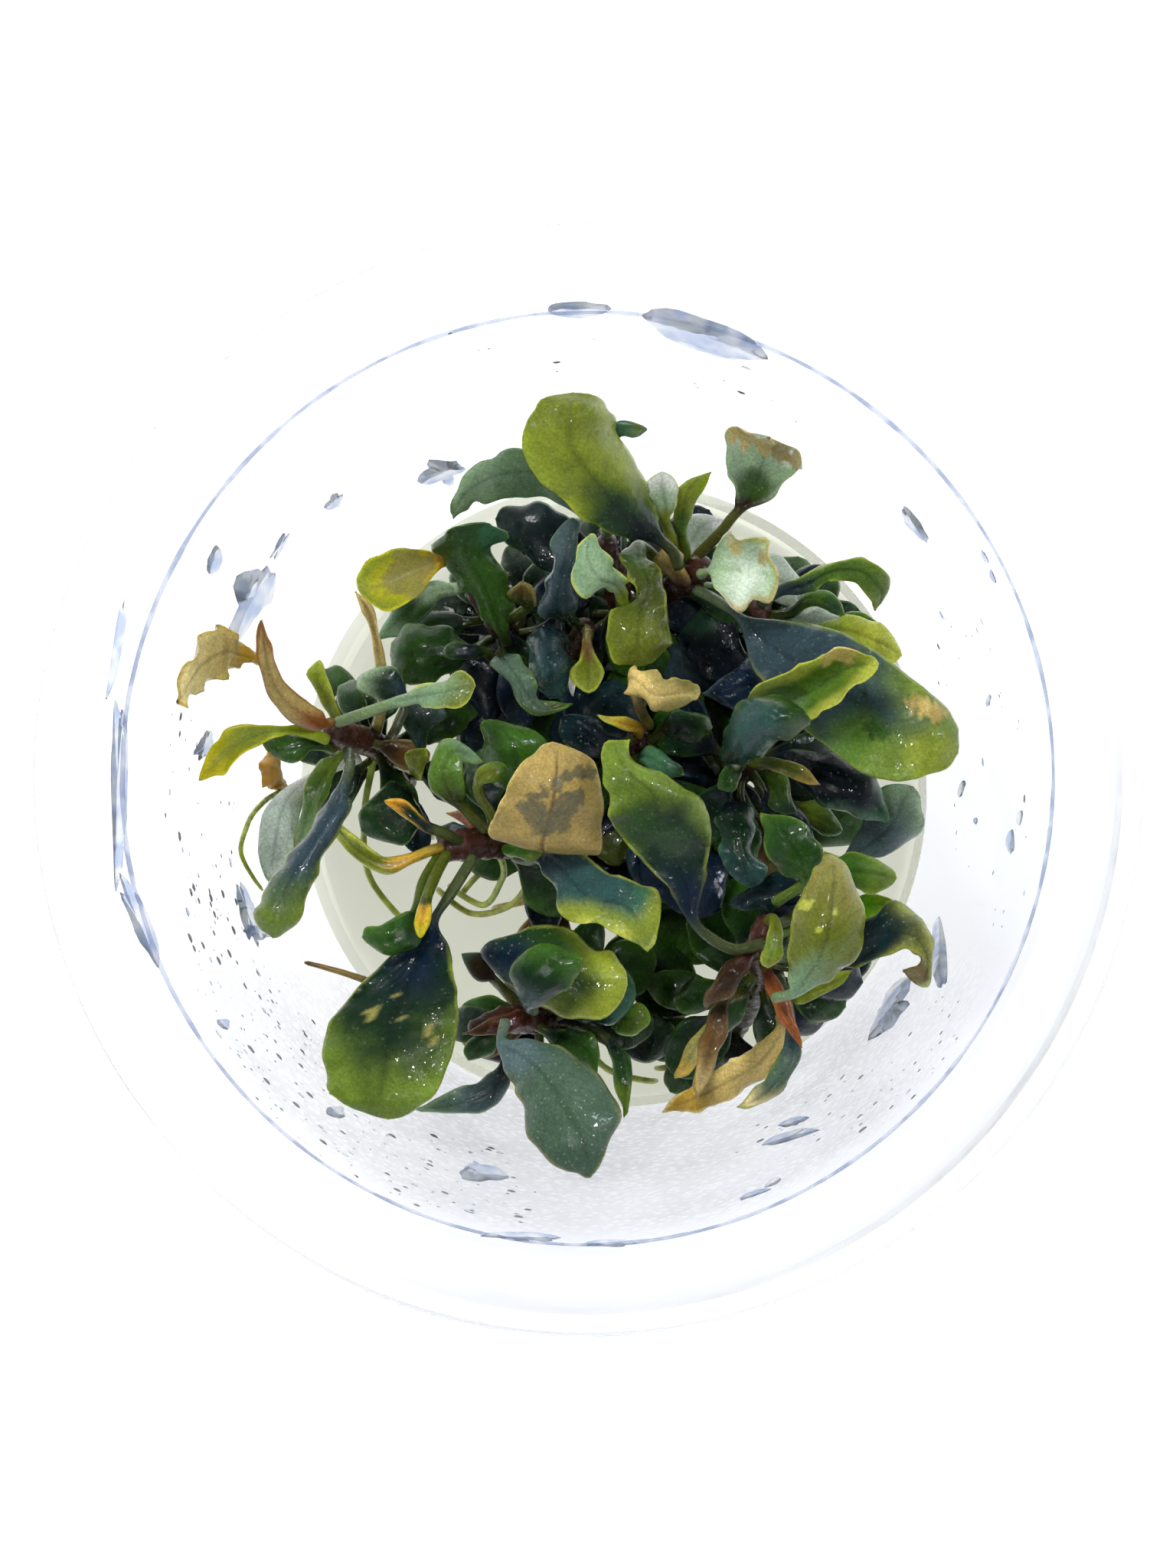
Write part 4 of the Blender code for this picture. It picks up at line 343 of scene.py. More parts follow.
                 (716, 1235, 760, 1264, 36.4, 0, 0.6)],
        "tip": (750, 1246, 36.0), "tints": "steel pine moss fern", "roll": (-1.0, -0.6)},
    "big_lower_left_leaf": {
        "stalk": [(618, 1120, 32.6), (590, 1165, 35), (566, 1203, 37)],
        "rows": [(584, 1233, 515, 1244, 38.5, 0, -0.4), (596, 1288, 465, 1292, 40.5, 0, -0.6),
                 (598, 1338, 426, 1345, 42.0, 0, 0.4), (584, 1395, 425, 1393, 43.4, 0, 0.8),
                 (556, 1440, 440, 1435, 44.2, 0, 0.4)],
        "tip": (507, 1461, 43.6), "blunt": 0.9, "tints": "navy pine leaf spring", "wave": 0.35,
        "patches": [(487, 1321, 8, "khaki"), (484, 1326, 6, "khaki"), (520, 1300, 5, "khaki"),
                    (527, 1332, 4, "khaki"), (560, 1345, 8, "khaki"), (564, 1358, 5, "khaki")]},
    "bottom_grey_leaf": {
        "stalk": [(660, 1334, 33.0), (655, 1361, 34.6)],
        "rows": [(704, 1357, 662, 1400, 36.0, 0, 0.4), (757, 1383, 680, 1440, 38.5, 0, 0.8),
                 (797, 1424, 686, 1477, 40.0, 0, 0.8), (811, 1466, 715, 1513, 40.6, 0, 0.6),
                 (789, 1504, 748, 1533, 40.4, 0, 0.3)],
        "tip": (771, 1537, 40.0), "blunt": 0.6, "kind": "grey", "tints": "steel drab drab khaki",
        "wave": 0.3, "roll": (-1.2, -0.8)},
    "folded_dark_leaf": {
        "stalk": [(660, 1352, 29.0), (661, 1385, 30)],
        "rows": [(655, 1436, 636, 1404, 31.5, 0, 0.8), (612, 1456, 600, 1422, 33.0, 0, 0.5)],
        "tip": (543, 1449, 34.0), "blunt": 0.2, "kind": "navy", "tints": "ink steel sage mint"},
    "tan_strap_leaf": {
        "stalk": [(1004, 1306, 18.4), (1019, 1345, 23.5)],
        "rows": [(1018, 1388, 985, 1366, 24.0, 0, 0.5), (962, 1431, 942, 1392, 22.0, 0, 0.5),
                 (908, 1451, 898, 1420, 20.0, 0, 0.4)],
        "tip": (866, 1452, 18.6), "blunt": 0.5, "kind": "tan", "tints": "straw straw gold cream",
        "wave": 0.3, "ragged": 0.2},
    "dark_hook_leaf": {
        "stalk": [(1017, 1273, 25.0), (1030, 1320, 28.0), (1033, 1352, 30.0)],
        "rows": [(1046, 1386, 1016, 1386, 31.0, 0, 0.6), (1028, 1417, 998, 1411, 31.4, 0, 0.6),
                 (1002, 1440, 980, 1428, 31.0, 0, 0.3)],
        "tip": (964, 1446, 30.6), "blunt": 0.3, "kind": "navy", "tints": "slate drab cream leaf"},
    "wall_decayed_leaf": {
        "stalk": [(338, 862, 32.0), (330, 858, 33.6)],
        "rows": [(313, 872, 314, 838, 36.6, -2.5, 0), (289, 882, 291, 820, 41.4, -4, 0),
                 (262, 905, 256, 838, 45.8, -4, 0)],
        "tip": (232, 918, 48.6), "blunt": 0.6, "kind": "tan", "tints": "gold straw cream gold",
        "wave": 0.6, "ragged": 0.5},
}

# Leaves, buds, bracts and dead stubs that are one piece with their rhizome
youngLeaves = {
    "rhizome_left": {
        "bud_tall": {
            "stalk": [(448, 958, 29.0), (438, 934, 31)],
            "rows": [(412, 905, 433, 902, 34.0, 0, 0.3), (403, 880, 426, 878, 35.5, 0, 0.3)],
            "tip": (417, 862, 36.0), "tints": "spring spring lime citron"},
        "dark_small": {
            "stalk": [(500, 978, 18.0), (520, 945, 26), (527, 912, 31)],
            "rows": [(497, 916, 512, 873, 33.0, 0, 0.8), (474, 906, 486, 871, 33.5, 0, 0.5)],
            "tip": (468, 887, 33.0), "blunt": 0.8, "tints": "slate pine mint sage"},
        "tan_strap": {
            "stalk": [(488, 972, 20.0), (500, 905, 27), (497, 868, 31)],
            "rows": [(484, 830, 496, 829, 34.0, 0, 0), (470, 790, 482, 787, 36.0, 0, 0)],
            "tip": (464, 773, 36.6), "blunt": 0.5, "tints": "straw tan tan straw"},
        "green_low": {
            "stalk": [(503, 984, 16.6), (530, 992, 20), (548, 978, 22.5)],
            "rows": [(531, 950, 563, 956, 24.0, 0, 0.5), (525, 922, 583, 930, 25.0, 0, 0.5)],
            "tip": (552, 902, 25.5), "tints": "teal pine steel fern"},
        "under_left": {
            "stalk": [(470, 968, 23.6), (440, 990, 24)],
            "rows": [(432, 1030, 412, 1000, 26.0, 0, 0.5), (418, 1060, 396, 1040, 27.0, 0, 0.5)],
            "tip": (385, 1120, 27.0), "blunt": 0.4, "tints": "leaf fern mint spring"},
        "dark_low": {
            "stalk": [(520, 1008, 12.6), (532, 1035, 20)],
            "rows": [(548, 1082, 508, 1022, 24.0, 0, 0.8), (520, 1105, 480, 1050, 25.0, 0, 0.8)],
            "tip": (473, 1085, 24.5), "blunt": 0.9, "tints": "pine pine forest moss"},
        "small_curl": {
            "stalk": [(512, 995, 13.6), (545, 1008, 24)],
            "rows": [(532, 1000, 552, 1012, 27.0, 0, 0.4), (535, 980, 558, 990, 28.0, 0, 0.4)],
            "tip": (556, 978, 28.0), "blunt": 0.6, "tints": "olive olive olive lime"},
    },
    "rhizome_left_centre": {
        "long_bud": {
            "stalk": [(590, 1104, 31.4), (560, 1112, 33), (535, 1122, 34)],
            "rows": [(505, 1143, 500, 1118, 35.5, 0, 0), (460, 1120, 478, 1102, 37.0, 0, 0)],
            "tip": (427, 1066, 38.5), "blunt": 0.2, "thickness": 1.5, "stalk_thickness": 1.8,
            "tints": "gold olive spring citron"},
        "orange_tip_bud": {
            "stalk": [(602, 1100, 32.0), (580, 1088, 34.5), (558, 1080, 36)],
            "rows": [(540, 1076, 550, 1064, 37.5, 0, 0), (512, 1056, 522, 1043, 39.0, 0, 0)],
            "tip": (503, 1046, 39.6), "blunt": 0.8, "thickness": 0.9, "tints": "ink pine amber gold"},
        "yellow_bud": {
            "stalk": [(585, 1112, 32.2), (566, 1150, 37), (556, 1178, 40)],
            "rows": [(564, 1196, 543, 1194, 41.5, 0, 0), (558, 1214, 541, 1213, 42.0, 0, 0)],
            "tip": (549, 1225, 42.0), "blunt": 0.8, "thickness": 1.5,
            "tints": "darkOlive gold yellow yellow"},
        "rolled_small": {
            "stalk": [(576, 1114, 32.0), (552, 1155, 35.5), (545, 1185, 38.0)],
            "rows": [(541, 1240, 528, 1194, 40.2, 0, 0.8), (508, 1248, 498, 1207, 41.0, 0, 0.8)],
            "tip": (474, 1224, 40.6), "blunt": 1.0, "tints": "forest forest moss fern"},
        "small_right": {
            "stalk": [(648, 1094, 28.2), (640, 1060, 33), (624, 1028, 36)],
            "rows": [(630, 999, 640, 1020, 37.5, 0, 0.4), (650, 993, 656, 1018, 37.5, 0, 0.3)],
            "tip": (663, 1005, 37.2), "blunt": 0.9, "tints": "olive olive moss leaf"},
        "half_round": {
            "stalk": [(662, 1103, 26.2), (663, 1110, 29.6)],
            "rows": [(680, 1100, 674, 1122, 31.4, 0, 0.4), (698, 1100, 696, 1124, 32.0, 0, 0.3)],
            "tip": (711, 1110, 32.0), "blunt": 0.9, "tints": "moss moss leaf leaf"},
        "bract": {
            "stalk": [(626, 1098, 29.6), (622, 1086, 29.8)],
            "rows": [(612, 1082, 616, 1060, 30.2, 0, 0.3)],
            "tip": (583, 1062, 30.6), "blunt": 0, "tints": "rust rose rose tan"},
    },
    "rhizome_lower_left": {
        "dark_narrow": {
            "stalk": [(748, 1338, 16.0), (775, 1345, 25), (797, 1362, 28)],
            "rows": [(822, 1382, 799, 1388, 29.5, 0, 0.5), (828, 1410, 806, 1420, 30.5, 0, 0.5)],
            "tip": (815, 1460, 31.0), "blunt": 0.2, "tints": "ink forest leaf fern"},
        "teal_under": {
            "stalk": [(712, 1334, 22.4), (742, 1322, 24.5)],
            "rows": [(775, 1275, 772, 1338, 25.5, 0, 0.8), (815, 1262, 806, 1334, 26.0, 0, 0.8)],
            "tip": (830, 1300, 25.6), "blunt": 1.0, "tints": "forest teal jade jade"},
        "green_small_right": {
            "stalk": [(733, 1337, 18.0), (742, 1355, 23)],
            "rows": [(748, 1343, 728, 1368, 25.5, 0, 0.5), (775, 1352, 762, 1392, 27.0, 0, 0.5)],
            "tip": (780, 1400, 27.0), "blunt": 0.5, "tints": "forest forest moss fern"},
        "green_small_left": {
            "stalk": [(655, 1336, 28.0), (645, 1350, 28.5)],
            "rows": [(650, 1362, 622, 1350, 28.5, 0, 0.4), (640, 1380, 610, 1365, 28.0, 0, 0.4)],
            "tip": (612, 1384, 27.6), "blunt": 0.6, "tints": "forest forest moss fern"},
        "round_bright": {
            "stalk": [(765, 1343, 12.0), (800, 1335, 20)],
            "rows": [(815, 1313, 810, 1347, 24.0, 0, 0.6), (840, 1313, 838, 1348, 25.0, 0, 0.6)],
            "tip": (849, 1331, 25.0), "blunt": 0.9, "tints": "moss fern leaf vivid"},
        "upper_shoot": {
            "stalk": [(690, 1330, 25.6), (665, 1300, 26), (640, 1275, 26.5)],
            "rows": [(622, 1282, 640, 1250, 27.0, 0, 0.4)],
            "tip": (603, 1246, 27.4), "blunt": 0.3, "thickness": 1.6, "stalk_thickness": 1.8,
            "tints": "umber umber drab drab"},
        "bract": {
            "stalk": [(702, 1331, 24.6), (690, 1330, 27)],
            "rows": [(672, 1348, 668, 1322, 31.0, 0, 0.5), (640, 1352, 640, 1332, 31.6, 0, 0.4)],
            "tip": (605, 1350, 31.0), "blunt": 0.2, "tints": "wine wine bark bark"},
        "gap_low": {
            "stalk": [(740, 1336, 17.0), (748, 1290, 18.5)],
            "rows": [(738, 1258, 768, 1262, 19.0, 0, 0.4), (745, 1222, 790, 1232, 19.5, 0, 0.4)],
            "tip": (782, 1198, 19.6), "blunt": 0.8, "tints": "ink pine forest moss"},
    },
    "rhizome_top": {
        "round_pale": {
            "stalk": [(890, 755, 26.0), (876, 700, 31), (868, 674, 34)],
            "rows": [(852, 656, 886, 653, 35.5, 0, 0.6), (844, 635, 886, 634, 36.4, 0, 0.6)],
            "tip": (865, 617, 36.6), "blunt": 1.0, "tints": "spring mint milk citron"},
        "olive_point": {
            "stalk": [(897, 752, 27.2), (895, 715, 29.5), (890, 690, 31)],
            "rows": [(878, 668, 907, 664, 32.5, 0, 0.5), (888, 632, 918, 638, 34.5, 0, 0.5)],
            "tip": (928, 617, 35.6), "blunt": 0.4, "tints": "fern spring lime lime"},
        "sheath": {
            "stalk": [(892, 757, 27.4), (890, 764, 29.0)],
            "rows": [(866, 750, 903, 756, 29.8, 0, 0.6), (862, 722, 892, 726, 30.6, 0, 0.5)],
            "tip": (868, 696, 31.0), "blunt": 0.4, "tints": "wine tan straw bark", "wave": 0.8,
            "ragged": 0.3},
        "pale_top": {
            "stalk": [(880, 762, 24.4), (895, 725, 22)],
            "rows": [(893, 700, 915, 712, 22.0, 0, 0.4), (903, 672, 938, 700, 22.5, 0, 0.6)],
            "tip": (946, 680, 22.5), "tints": "frost frost milk milk"},
        "pale_right": {
            "stalk": [(895, 757, 26.4), (950, 762, 22)],
            "rows": [(988, 722, 975, 772, 21.5, 0, 0.5), (1028, 735, 1010, 785, 22, 0, 0.8),
                     (1052, 762, 1038, 796, 22.5, 0, 0.5)],
            "tip": (1062, 792, 22.0), "tints": "mint frost frost frost"},
        # a dark leaf low in the clump, tinted near black: its own dark colour and painted shade
        "deep_right": {
            "stalk": [(865, 772, 22.0), (884, 800, 20)],
            "rows": [(935, 788, 890, 842, 21.0, 0, 0.8), (968, 832, 925, 885, 21.5, 0, 0.8)],
            "tip": (972, 878, 21.0), "blunt": 1.0, "tints": "jade ink ink teal"},
    },
    "rhizome_lower_right": {
        "yellow_small": {
            "stalk": [(1002, 1205, 30.6), (1009, 1200, 34), (1012, 1206, 35.5)],
            "rows": [(1023, 1232, 1000, 1230, 36.5, 0, 0.4), (1020, 1252, 992, 1250, 36.8, 0, 0.4)],
            "tip": (1003, 1263, 36.4), "blunt": 0.8, "tints": "olive leaf spring citron"},
        "purple_sheath": {
            "stalk": [(994, 1248, 28.6), (980, 1250, 32)],
            "rows": [(972, 1272, 948, 1262, 34.0, 0, 0.8), (948, 1302, 922, 1296, 34.0, 0, 0.6)],
            "tip": (922, 1318, 33.0), "blunt": 0.2, "thickness": 1.2, "tints": "wine umber bark bark"},
        "brown_sheath": {
            "stalk": [(990, 1285, 20.0), (965, 1300, 27), (945, 1312, 31)],
            "rows": [(950, 1340, 922, 1334, 32.0, 0, 0.6), (936, 1385, 912, 1380, 32.6, 0, 0.5),
                     (920, 1420, 907, 1416, 32.6, 0, 0.3)],
            "tip": (911, 1432, 32.4), "blunt": 0.3, "thickness": 0.9, "tints": "umber bark straw bark"},
        "red_sheath": {
            "stalk": [(996, 1256, 26.4), (1003, 1272, 31)],
            "rows": [(1022, 1290, 1004, 1300, 32.4, 0, 0.5), (1040, 1335, 1020, 1330, 33.0, 0, 0.5)],
            "tip": (1047, 1368, 33.0), "blunt": 0.2, "thickness": 1.2, "tints": "wine rust rust rust"},
        "yellow_sheath": {
            "stalk": [(980, 1308, 15.8), (935, 1335, 23)],
            "rows": [(922, 1360, 908, 1352, 25.0, 0, 0.3), (903, 1398, 885, 1388, 26.0, 0, 0.3)],
            "tip": (882, 1408, 26.0), "blunt": 0.6, "tints": "olive khaki gold khaki"},
        "dark_wet": {
            "stalk": [(1002, 1210, 30.0), (1036, 1197, 28.6), (1047, 1180, 28.0)],
            "rows": [(1020, 1188, 1044, 1150, 27.5, 0, 0.8), (978, 1186, 992, 1148, 27.0, 0, 0.8)],
            "tip": (953, 1180, 26.4), "blunt": 0.4, "tints": "navy night slate teal"},
        "bright_low": {
            "stalk": [(1000, 1225, 29.8), (1060, 1205, 27), (1105, 1192, 26.5)],
            "rows": [(1130, 1165, 1134, 1198, 27.5, 0, 0.4)],
            "tip": (1172, 1182, 28.0), "blunt": 0.3, "tints": "fern vivid lime lime"},
        "green_back": {
            "stalk": [(991, 1281, 21.4), (1035, 1297, 23.6)],
            "rows": [(1060, 1285, 1040, 1312, 26.0, 0, 0.4), (1095, 1270, 1075, 1300, 27.0, 0, 0.4)],
            "tip": (1112, 1268, 27.4), "blunt": 0.3, "tints": "fern spring spring spring"},
    },
    "rhizome_right": {
        "brown_bud": {
            "stalk": [(976, 980, 28.4), (985, 996, 33), (998, 996, 35)],
            "rows": [(1020, 990, 1018, 1008, 35.8, 0, 0.2), (1050, 1002, 1042, 1021, 36.0, 0, 0.2)],
            "tip": (1071, 1025, 36.0), "blunt": 0.2, "thickness": 1.0, "tints": "darkOlive olive gold tan"},
        "small_curl": {
            "stalk": [(972, 995, 23.6), (966, 1000, 29), (962, 1004, 32)],
            "rows": [(968, 1018, 946, 1004, 32.6, 0, 0.3), (958, 1034, 937, 1018, 32.2, 0, 0.3)],
            "tip": (940, 1030, 32.0), "blunt": 0.9, "tints": "pine forest moss fern"},
        "green_middle": {
            "stalk": [(962, 1010, 19.0), (985, 1015, 21)],
            "rows": [(1024, 1012, 995, 1045, 23.0, 0, 0.6), (1035, 1040, 1012, 1058, 23.6, 0, 0.4)],
            "tip": (1040, 1062, 23.4), "blunt": 0.6, "tints": "fern fern navy fern"},
        "small_light": {
            "stalk": [(948, 1028, 14.8), (1000, 1060, 17)],
            "rows": [(1060, 1045, 1045, 1075, 19.0, 0, 0.5), (1085, 1055, 1075, 1090, 20.0, 0, 0.4)],
            "tip": (1100, 1085, 20.0), "tints": "fern leaf forest sage"},
    },
    "rhizome_upper_left": {
        "small_curl": {
            "stalk": [(673, 843, 17.8), (652, 864, 23), (626, 850, 29)],
            "rows": [(606, 862, 604, 841, 31.0, 0, 0.4), (588, 864, 584, 842, 31.4, 0, 0.4)],
            "tip": (580, 853, 31.0), "blunt": 0.8, "tints": "pine ink forest darkOlive"},
        "shade_left": {
            "stalk": [(615, 762, 25.4), (598, 768, 23)],
            "rows": [(578, 784, 560, 762, 23.5, 0, 0.5), (545, 815, 514, 790, 23.5, 0, 0.5)],
            "tip": (498, 834, 22.0), "blunt": 0.6, "tints": "mint forest sage sage"},
        "cupped_bract": {
            "stalk": [(655, 818, 21.6), (680, 800, 25), (690, 790, 27)],
            "rows": [(664, 783, 702, 785, 29.0, 0, -0.6)],
            "tip": (682, 760, 30.5), "blunt": 0.9, "tints": "darkOlive darkOlive bark khaki"},
        # a dark leaf low in the clump, tinted near black: its own dark colour and painted shade
        "deep": {
            "stalk": [(690, 866, 13.8), (672, 880, 17)],
            "rows": [(640, 945, 652, 850, 19.0, 0, 0.8), (612, 915, 614, 842, 19.0, 0, 0.8)],
            "tip": (587, 875, 18.0), "blunt": 1.0, "tints": "ink ink navy night"},
    },
    "rhizome_back": {
        "top_small": {
            "stalk": [(793, 716, 29.2), (792, 640, 33), (796, 580, 36)],
            "rows": [(808, 552, 812, 571, 37.0, 0, 0.2), (830, 550, 832, 570, 37.4, 0, 0.2)],
            "tip": (845, 561, 37.4), "blunt": 0.5, "tints": "steel jade leaf steel"},
        # a dark leaf low in the clump, tinted near black: its own dark colour and painted shade
        "deep_top": {
            "stalk": [(799, 742, 27.6), (770, 716, 26)],
            "rows": [(728, 748, 735, 672, 26.0, 0, 0.8), (680, 722, 690, 656, 26.0, 0, 0.8)],
            "tip": (648, 678, 25.0), "blunt": 1.0, "tints": "ink night pine forest"},
        # a dark leaf low in the clump, tinted near black: its own dark colour and painted shade
        "deep_low": {
            "stalk": [(806, 835, 13.2), (835, 842, 16)],
            "rows": [(885, 830, 862, 885, 18.0, 0, 0.8), (925, 858, 900, 905, 18.5, 0, 0.6)],
            "tip": (950, 905, 18.5), "blunt": 0.8, "tints": "navy slate navy slate"},
    },
    "rhizome_centre": {
        "yellow_hollow": {
            "stalk": [(763, 820, 25.0), (768, 828, 30), (767, 845, 33)],
            "rows": [(781, 860, 756, 862, 34.5, 0, -0.6), (789, 884, 747, 882, 35.5, 0, -0.8)],
            "tip": (768, 905, 35.5), "blunt": 1.0, "tints": "bark olive olive spring"},
        # a dark leaf low in the clump, tinted near black: its own dark colour and painted shade
        "deep": {
            "stalk": [(744, 870, 18.0), (762, 896, 20)],
            "rows": [(806, 888, 762, 950, 22.5, 0, 0.8), (838, 918, 800, 972, 22.5, 0, 0.8)],
            "tip": (838, 962, 21.5), "blunt": 1.0, "tints": "night night slate teal"},
        "root_tip_bud": {
            "stalk": [(748, 860, 19.6), (742, 880, 24)],
            "rows": [(752, 893, 742, 888, 28.0, 0, 0)],
            "tip": (748, 908, 29.0), "blunt": 0.6, "thickness": 1.0, "tints": "khaki cream milk milk"},
    },
    "rhizome_middle": {
        "round_dark": {
            "stalk": [(836, 975, 23.4), (857, 963, 26), (868, 950, 29.5)],
            "rows": [(884, 929, 885, 971, 31.0, 0, 1.0), (915, 932, 915, 969, 31.0, 0, 1.0)],
            "tip": (929, 950, 30.4), "blunt": 1.0, "tints": "pine pine moss moss"},
        "oval_dark": {
            "stalk": [(839, 995, 20.4), (832, 992, 26), (838, 990, 28)],
            "rows": [(852, 976, 846, 1003, 30.0, 0, 0.8), (874, 985, 868, 1015, 30.6, 0, 0.8)],
            "tip": (893, 1011, 30.4), "blunt": 0.6, "tints": "pine jade pine fern"},
        "amber_bract": {
            "stalk": [(834, 962, 25.0), (832, 950, 28.6)],
            "rows": [(808, 952, 812, 936, 31.4, 0, 0.3)],
            "tip": (780, 934, 32.4), "blunt": 0.5, "tints": "gold gold yellow citron"},
        # a dark leaf low in the clump, tinted near black: its own dark colour and painted shade
        "deep": {
            "stalk": [(856, 1055, 12.4), (866, 1085, 16)],
            "rows": [(940, 1115, 832, 1125, 20.0, 0, 0.8), (948, 1165, 858, 1172, 21.5, 0, 0.8)],
            "tip": (915, 1200, 21.5), "blunt": 0.9, "tints": "ink navy navy navy"},
        # a dark leaf low in the clump, tinted near black: its own dark colour and painted shade
        "deep_right": {
            "stalk": [(845, 1025, 16.4), (875, 1020, 18)],
            "rows": [(900, 978, 890, 1030, 19.0, 0, 0.8), (920, 985, 914, 1030, 19.0, 0, 0.6)],
            "tip": (932, 1012, 18.6), "tints": "ink navy night night"},
        "gap_dark": {
            "stalk": [(862, 1075, 9.5), (842, 1090, 13.0)],
            "rows": [(822, 1122, 838, 1088, 15.5, 0, 0.5), (792, 1130, 805, 1085, 17.0, 0, 0.5)],
            "tip": (772, 1100, 17.4), "blunt": 0.8, "kind": "olive",
            "tints": "umber darkOlive darkOlive olive"},
    },
    "rhizome_upper_right": {
        "green_small": {
            "stalk": [(998, 805, 23.4), (1035, 800, 26)],
            "rows": [(1066, 770, 1062, 792, 28.0, 0, 0.4), (1088, 778, 1080, 800, 29.0, 0, 0.4)],
            "tip": (1103, 803, 29.0), "blunt": 0.6, "tints": "forest fern jade leaf"},
        "green_tiny": {
            "stalk": [(1010, 830, 19.0), (1080, 815, 23.5)],
            "rows": [(1128, 801, 1122, 815, 25.5, 0, 0.3)],
            "tip": (1160, 824, 26.5), "blunt": 0.5, "tints": "forest fern fern leaf"},
        "navy_strip": {
            "stalk": [(1000, 810, 22.6), (1012, 806, 22)],
            "rows": [(1045, 789, 1030, 826, 23.5, 0, 0.5), (1084, 798, 1068, 832, 24.5, 0, 0.5)],
            "tip": (1106, 818, 25.0), "blunt": 0.5, "tints": "steel frost frost mint"},
    },
}

# Roots, each from a rhizome down to the gel, points of (pixel x, pixel y, height)
roots = {
    "rhizome_left": [[(518, 1002, 12), (540, 1060, 12), (560, 1090, 8)],
                     [(490, 980, 18.5), (475, 1078, 14), (485, 1150, 10), (520, 1195, 8)]],
    "rhizome_left_centre": [[(668, 1102, 25), (690, 1150, 17), (662, 1185, 12), (612, 1192, 9), (575, 1165, 8)],
                            [(648, 1102, 27), (655, 1150, 16), (630, 1182, 11), (590, 1160, 8)],
                            [(700, 1108, 20), (705, 1170, 12), (650, 1185, 8)],
                            [(735, 1118, 14), (640, 1130, 11), (605, 1165, 8)],
                            [(755, 1130, 11), (700, 1230, 8)]],
    "rhizome_lower_left": [[(750, 1340, 15), (720, 1400, 10), (660, 1400, 8)],
                           [(742, 1336, 16), (800, 1400, 11), (850, 1412, 8)]],
    "rhizome_lower_right": [[(975, 1318, 13), (930, 1380, 10), (865, 1395, 8)],
                            [(965, 1333, 11), (900, 1345, 8)],
                            [(990, 1290, 19), (940, 1240, 12), (890, 1225, 8)]],
    "rhizome_right": [[(935, 1040, 12), (1000, 1090, 10), (1090, 1120, 8)]],
    "rhizome_upper_left": [[(690, 865, 13), (640, 900, 10), (570, 935, 8)]],
}


def paint(hexColour):
    # sRGB hex to the linear values that Blender's shaders take
    parts = [int(hexColour[i:i + 2], 16) / 255 for i in (0, 2, 4)]
    return tuple(c / 12.92 if c <= 0.04045 else ((c + 0.055) / 1.055) ** 2.4 for c in parts) + (1.0,)


def unit(vector):
    return vector / np.linalg.norm(vector)


eye = np.array(view["eye"])
ahead = unit(np.array(view["aim"]) - eye)
rightward = unit(np.cross(ahead, (0.0, 1.0, 0.0)))
upward = np.cross(rightward, ahead)


def rayOf(px, py):
    return ahead * view["focal"] + rightward * (px - view["middle"][0]) - upward * (py - view["middle"][1])


def spot(px, py, height):
    # the place at this height that the photograph shows at this pixel
    ray = rayOf(px, py)
    return eye + ray * (height - eye[2]) / ray[2]


def pixelsOf(points):
    # the pixels that show these places, the other way round from spot
    away = np.asarray(points) - eye
    depth = away @ ahead
    px = view["middle"][0] + view["focal"] * (away @ rightward) / depth
    py = view["middle"][1] - view["focal"] * (away @ upward) / depth
    return px, py


def wallRadius(height):
    # the inside of the jar's flared wall
    rise = (height - jar["floor"]) / (jar["ledge"] - jar["floor"])
    return jar["floorRadius"] + (jar["ledgeRadius"] - jar["floorRadius"]) * rise


def wallSpot(px, py, inward=0.0):
    # the place on the jar's inside wall that the photograph shows at this pixel
    low, high = jar["floor"], jar["ledge"] + 2.0
    for _ in range(40):
        middle = (low + high) / 2
        place = spot(px, py, middle)
        if math.hypot(place[0], place[1]) > wallRadius(middle) - inward:
            low = middle
        else:
            high = middle
    return spot(px, py, (low + high) / 2)


def addNode(tree, kind, inputs=(), **settings):
    # one shader node with its settings; its inputs are given by name, or in order as a tuple
    node = tree.nodes.new(kind)
    for name, value in settings.items():
        setattr(node, name, value)
    for name, value in inputs.items() if isinstance(inputs, dict) else enumerate(inputs):
        if isinstance(value, bpy.types.NodeSocket):
            tree.links.new(value, node.inputs[name])
        else:
            node.inputs[name].default_value = value
    return node


def newMaterial(name):
    material = bpy.data.materials.new(name)
    material.use_nodes = True
    tree = material.node_tree
    shader = tree.nodes["Principled BSDF"]
    return material, tree, shader


def setSockets(shader, values):
    for name, value in values.items():
        shader.inputs[name].default_value = value


# How each kind of leaf takes the light. Leaf skin is a waxy cuticle over cells about a quarter of a
# millimetre across, which show as a fine grain, and it is wet in places.
leafFinishes = {
    "green": {"dry": 0.38, "wet": 0.22, "coat": 0.5, "glow": 0.20, "dots": 0.35, "grain": 1.0},
    "navy": {"dry": 0.34, "wet": 0.20, "coat": 0.6, "glow": 0.0, "dots": 0.70, "grain": 0.8},
    "lime": {"dry": 0.40, "wet": 0.26, "coat": 0.35, "glow": 0.40, "dots": 0.15, "grain": 0.9},
    "olive": {"dry": 0.38, "wet": 0.22, "coat": 0.55, "glow": 0.20, "dots": 0.45, "grain": 1.0},
    "grey": {"dry": 0.42, "wet": 0.28, "coat": 0.35, "glow": 0.15, "dots": 0.90, "grain": 1.0},
    "tan": {"dry": 0.44, "wet": 0.28, "coat": 0.5, "glow": 0.30, "dots": 0.10, "grain": 1.0},
    "shade": {"dry": 0.38, "wet": 0.22, "coat": 0.5, "glow": 0.0, "dots": 0.35, "grain": 1.0},  # low leaves
}


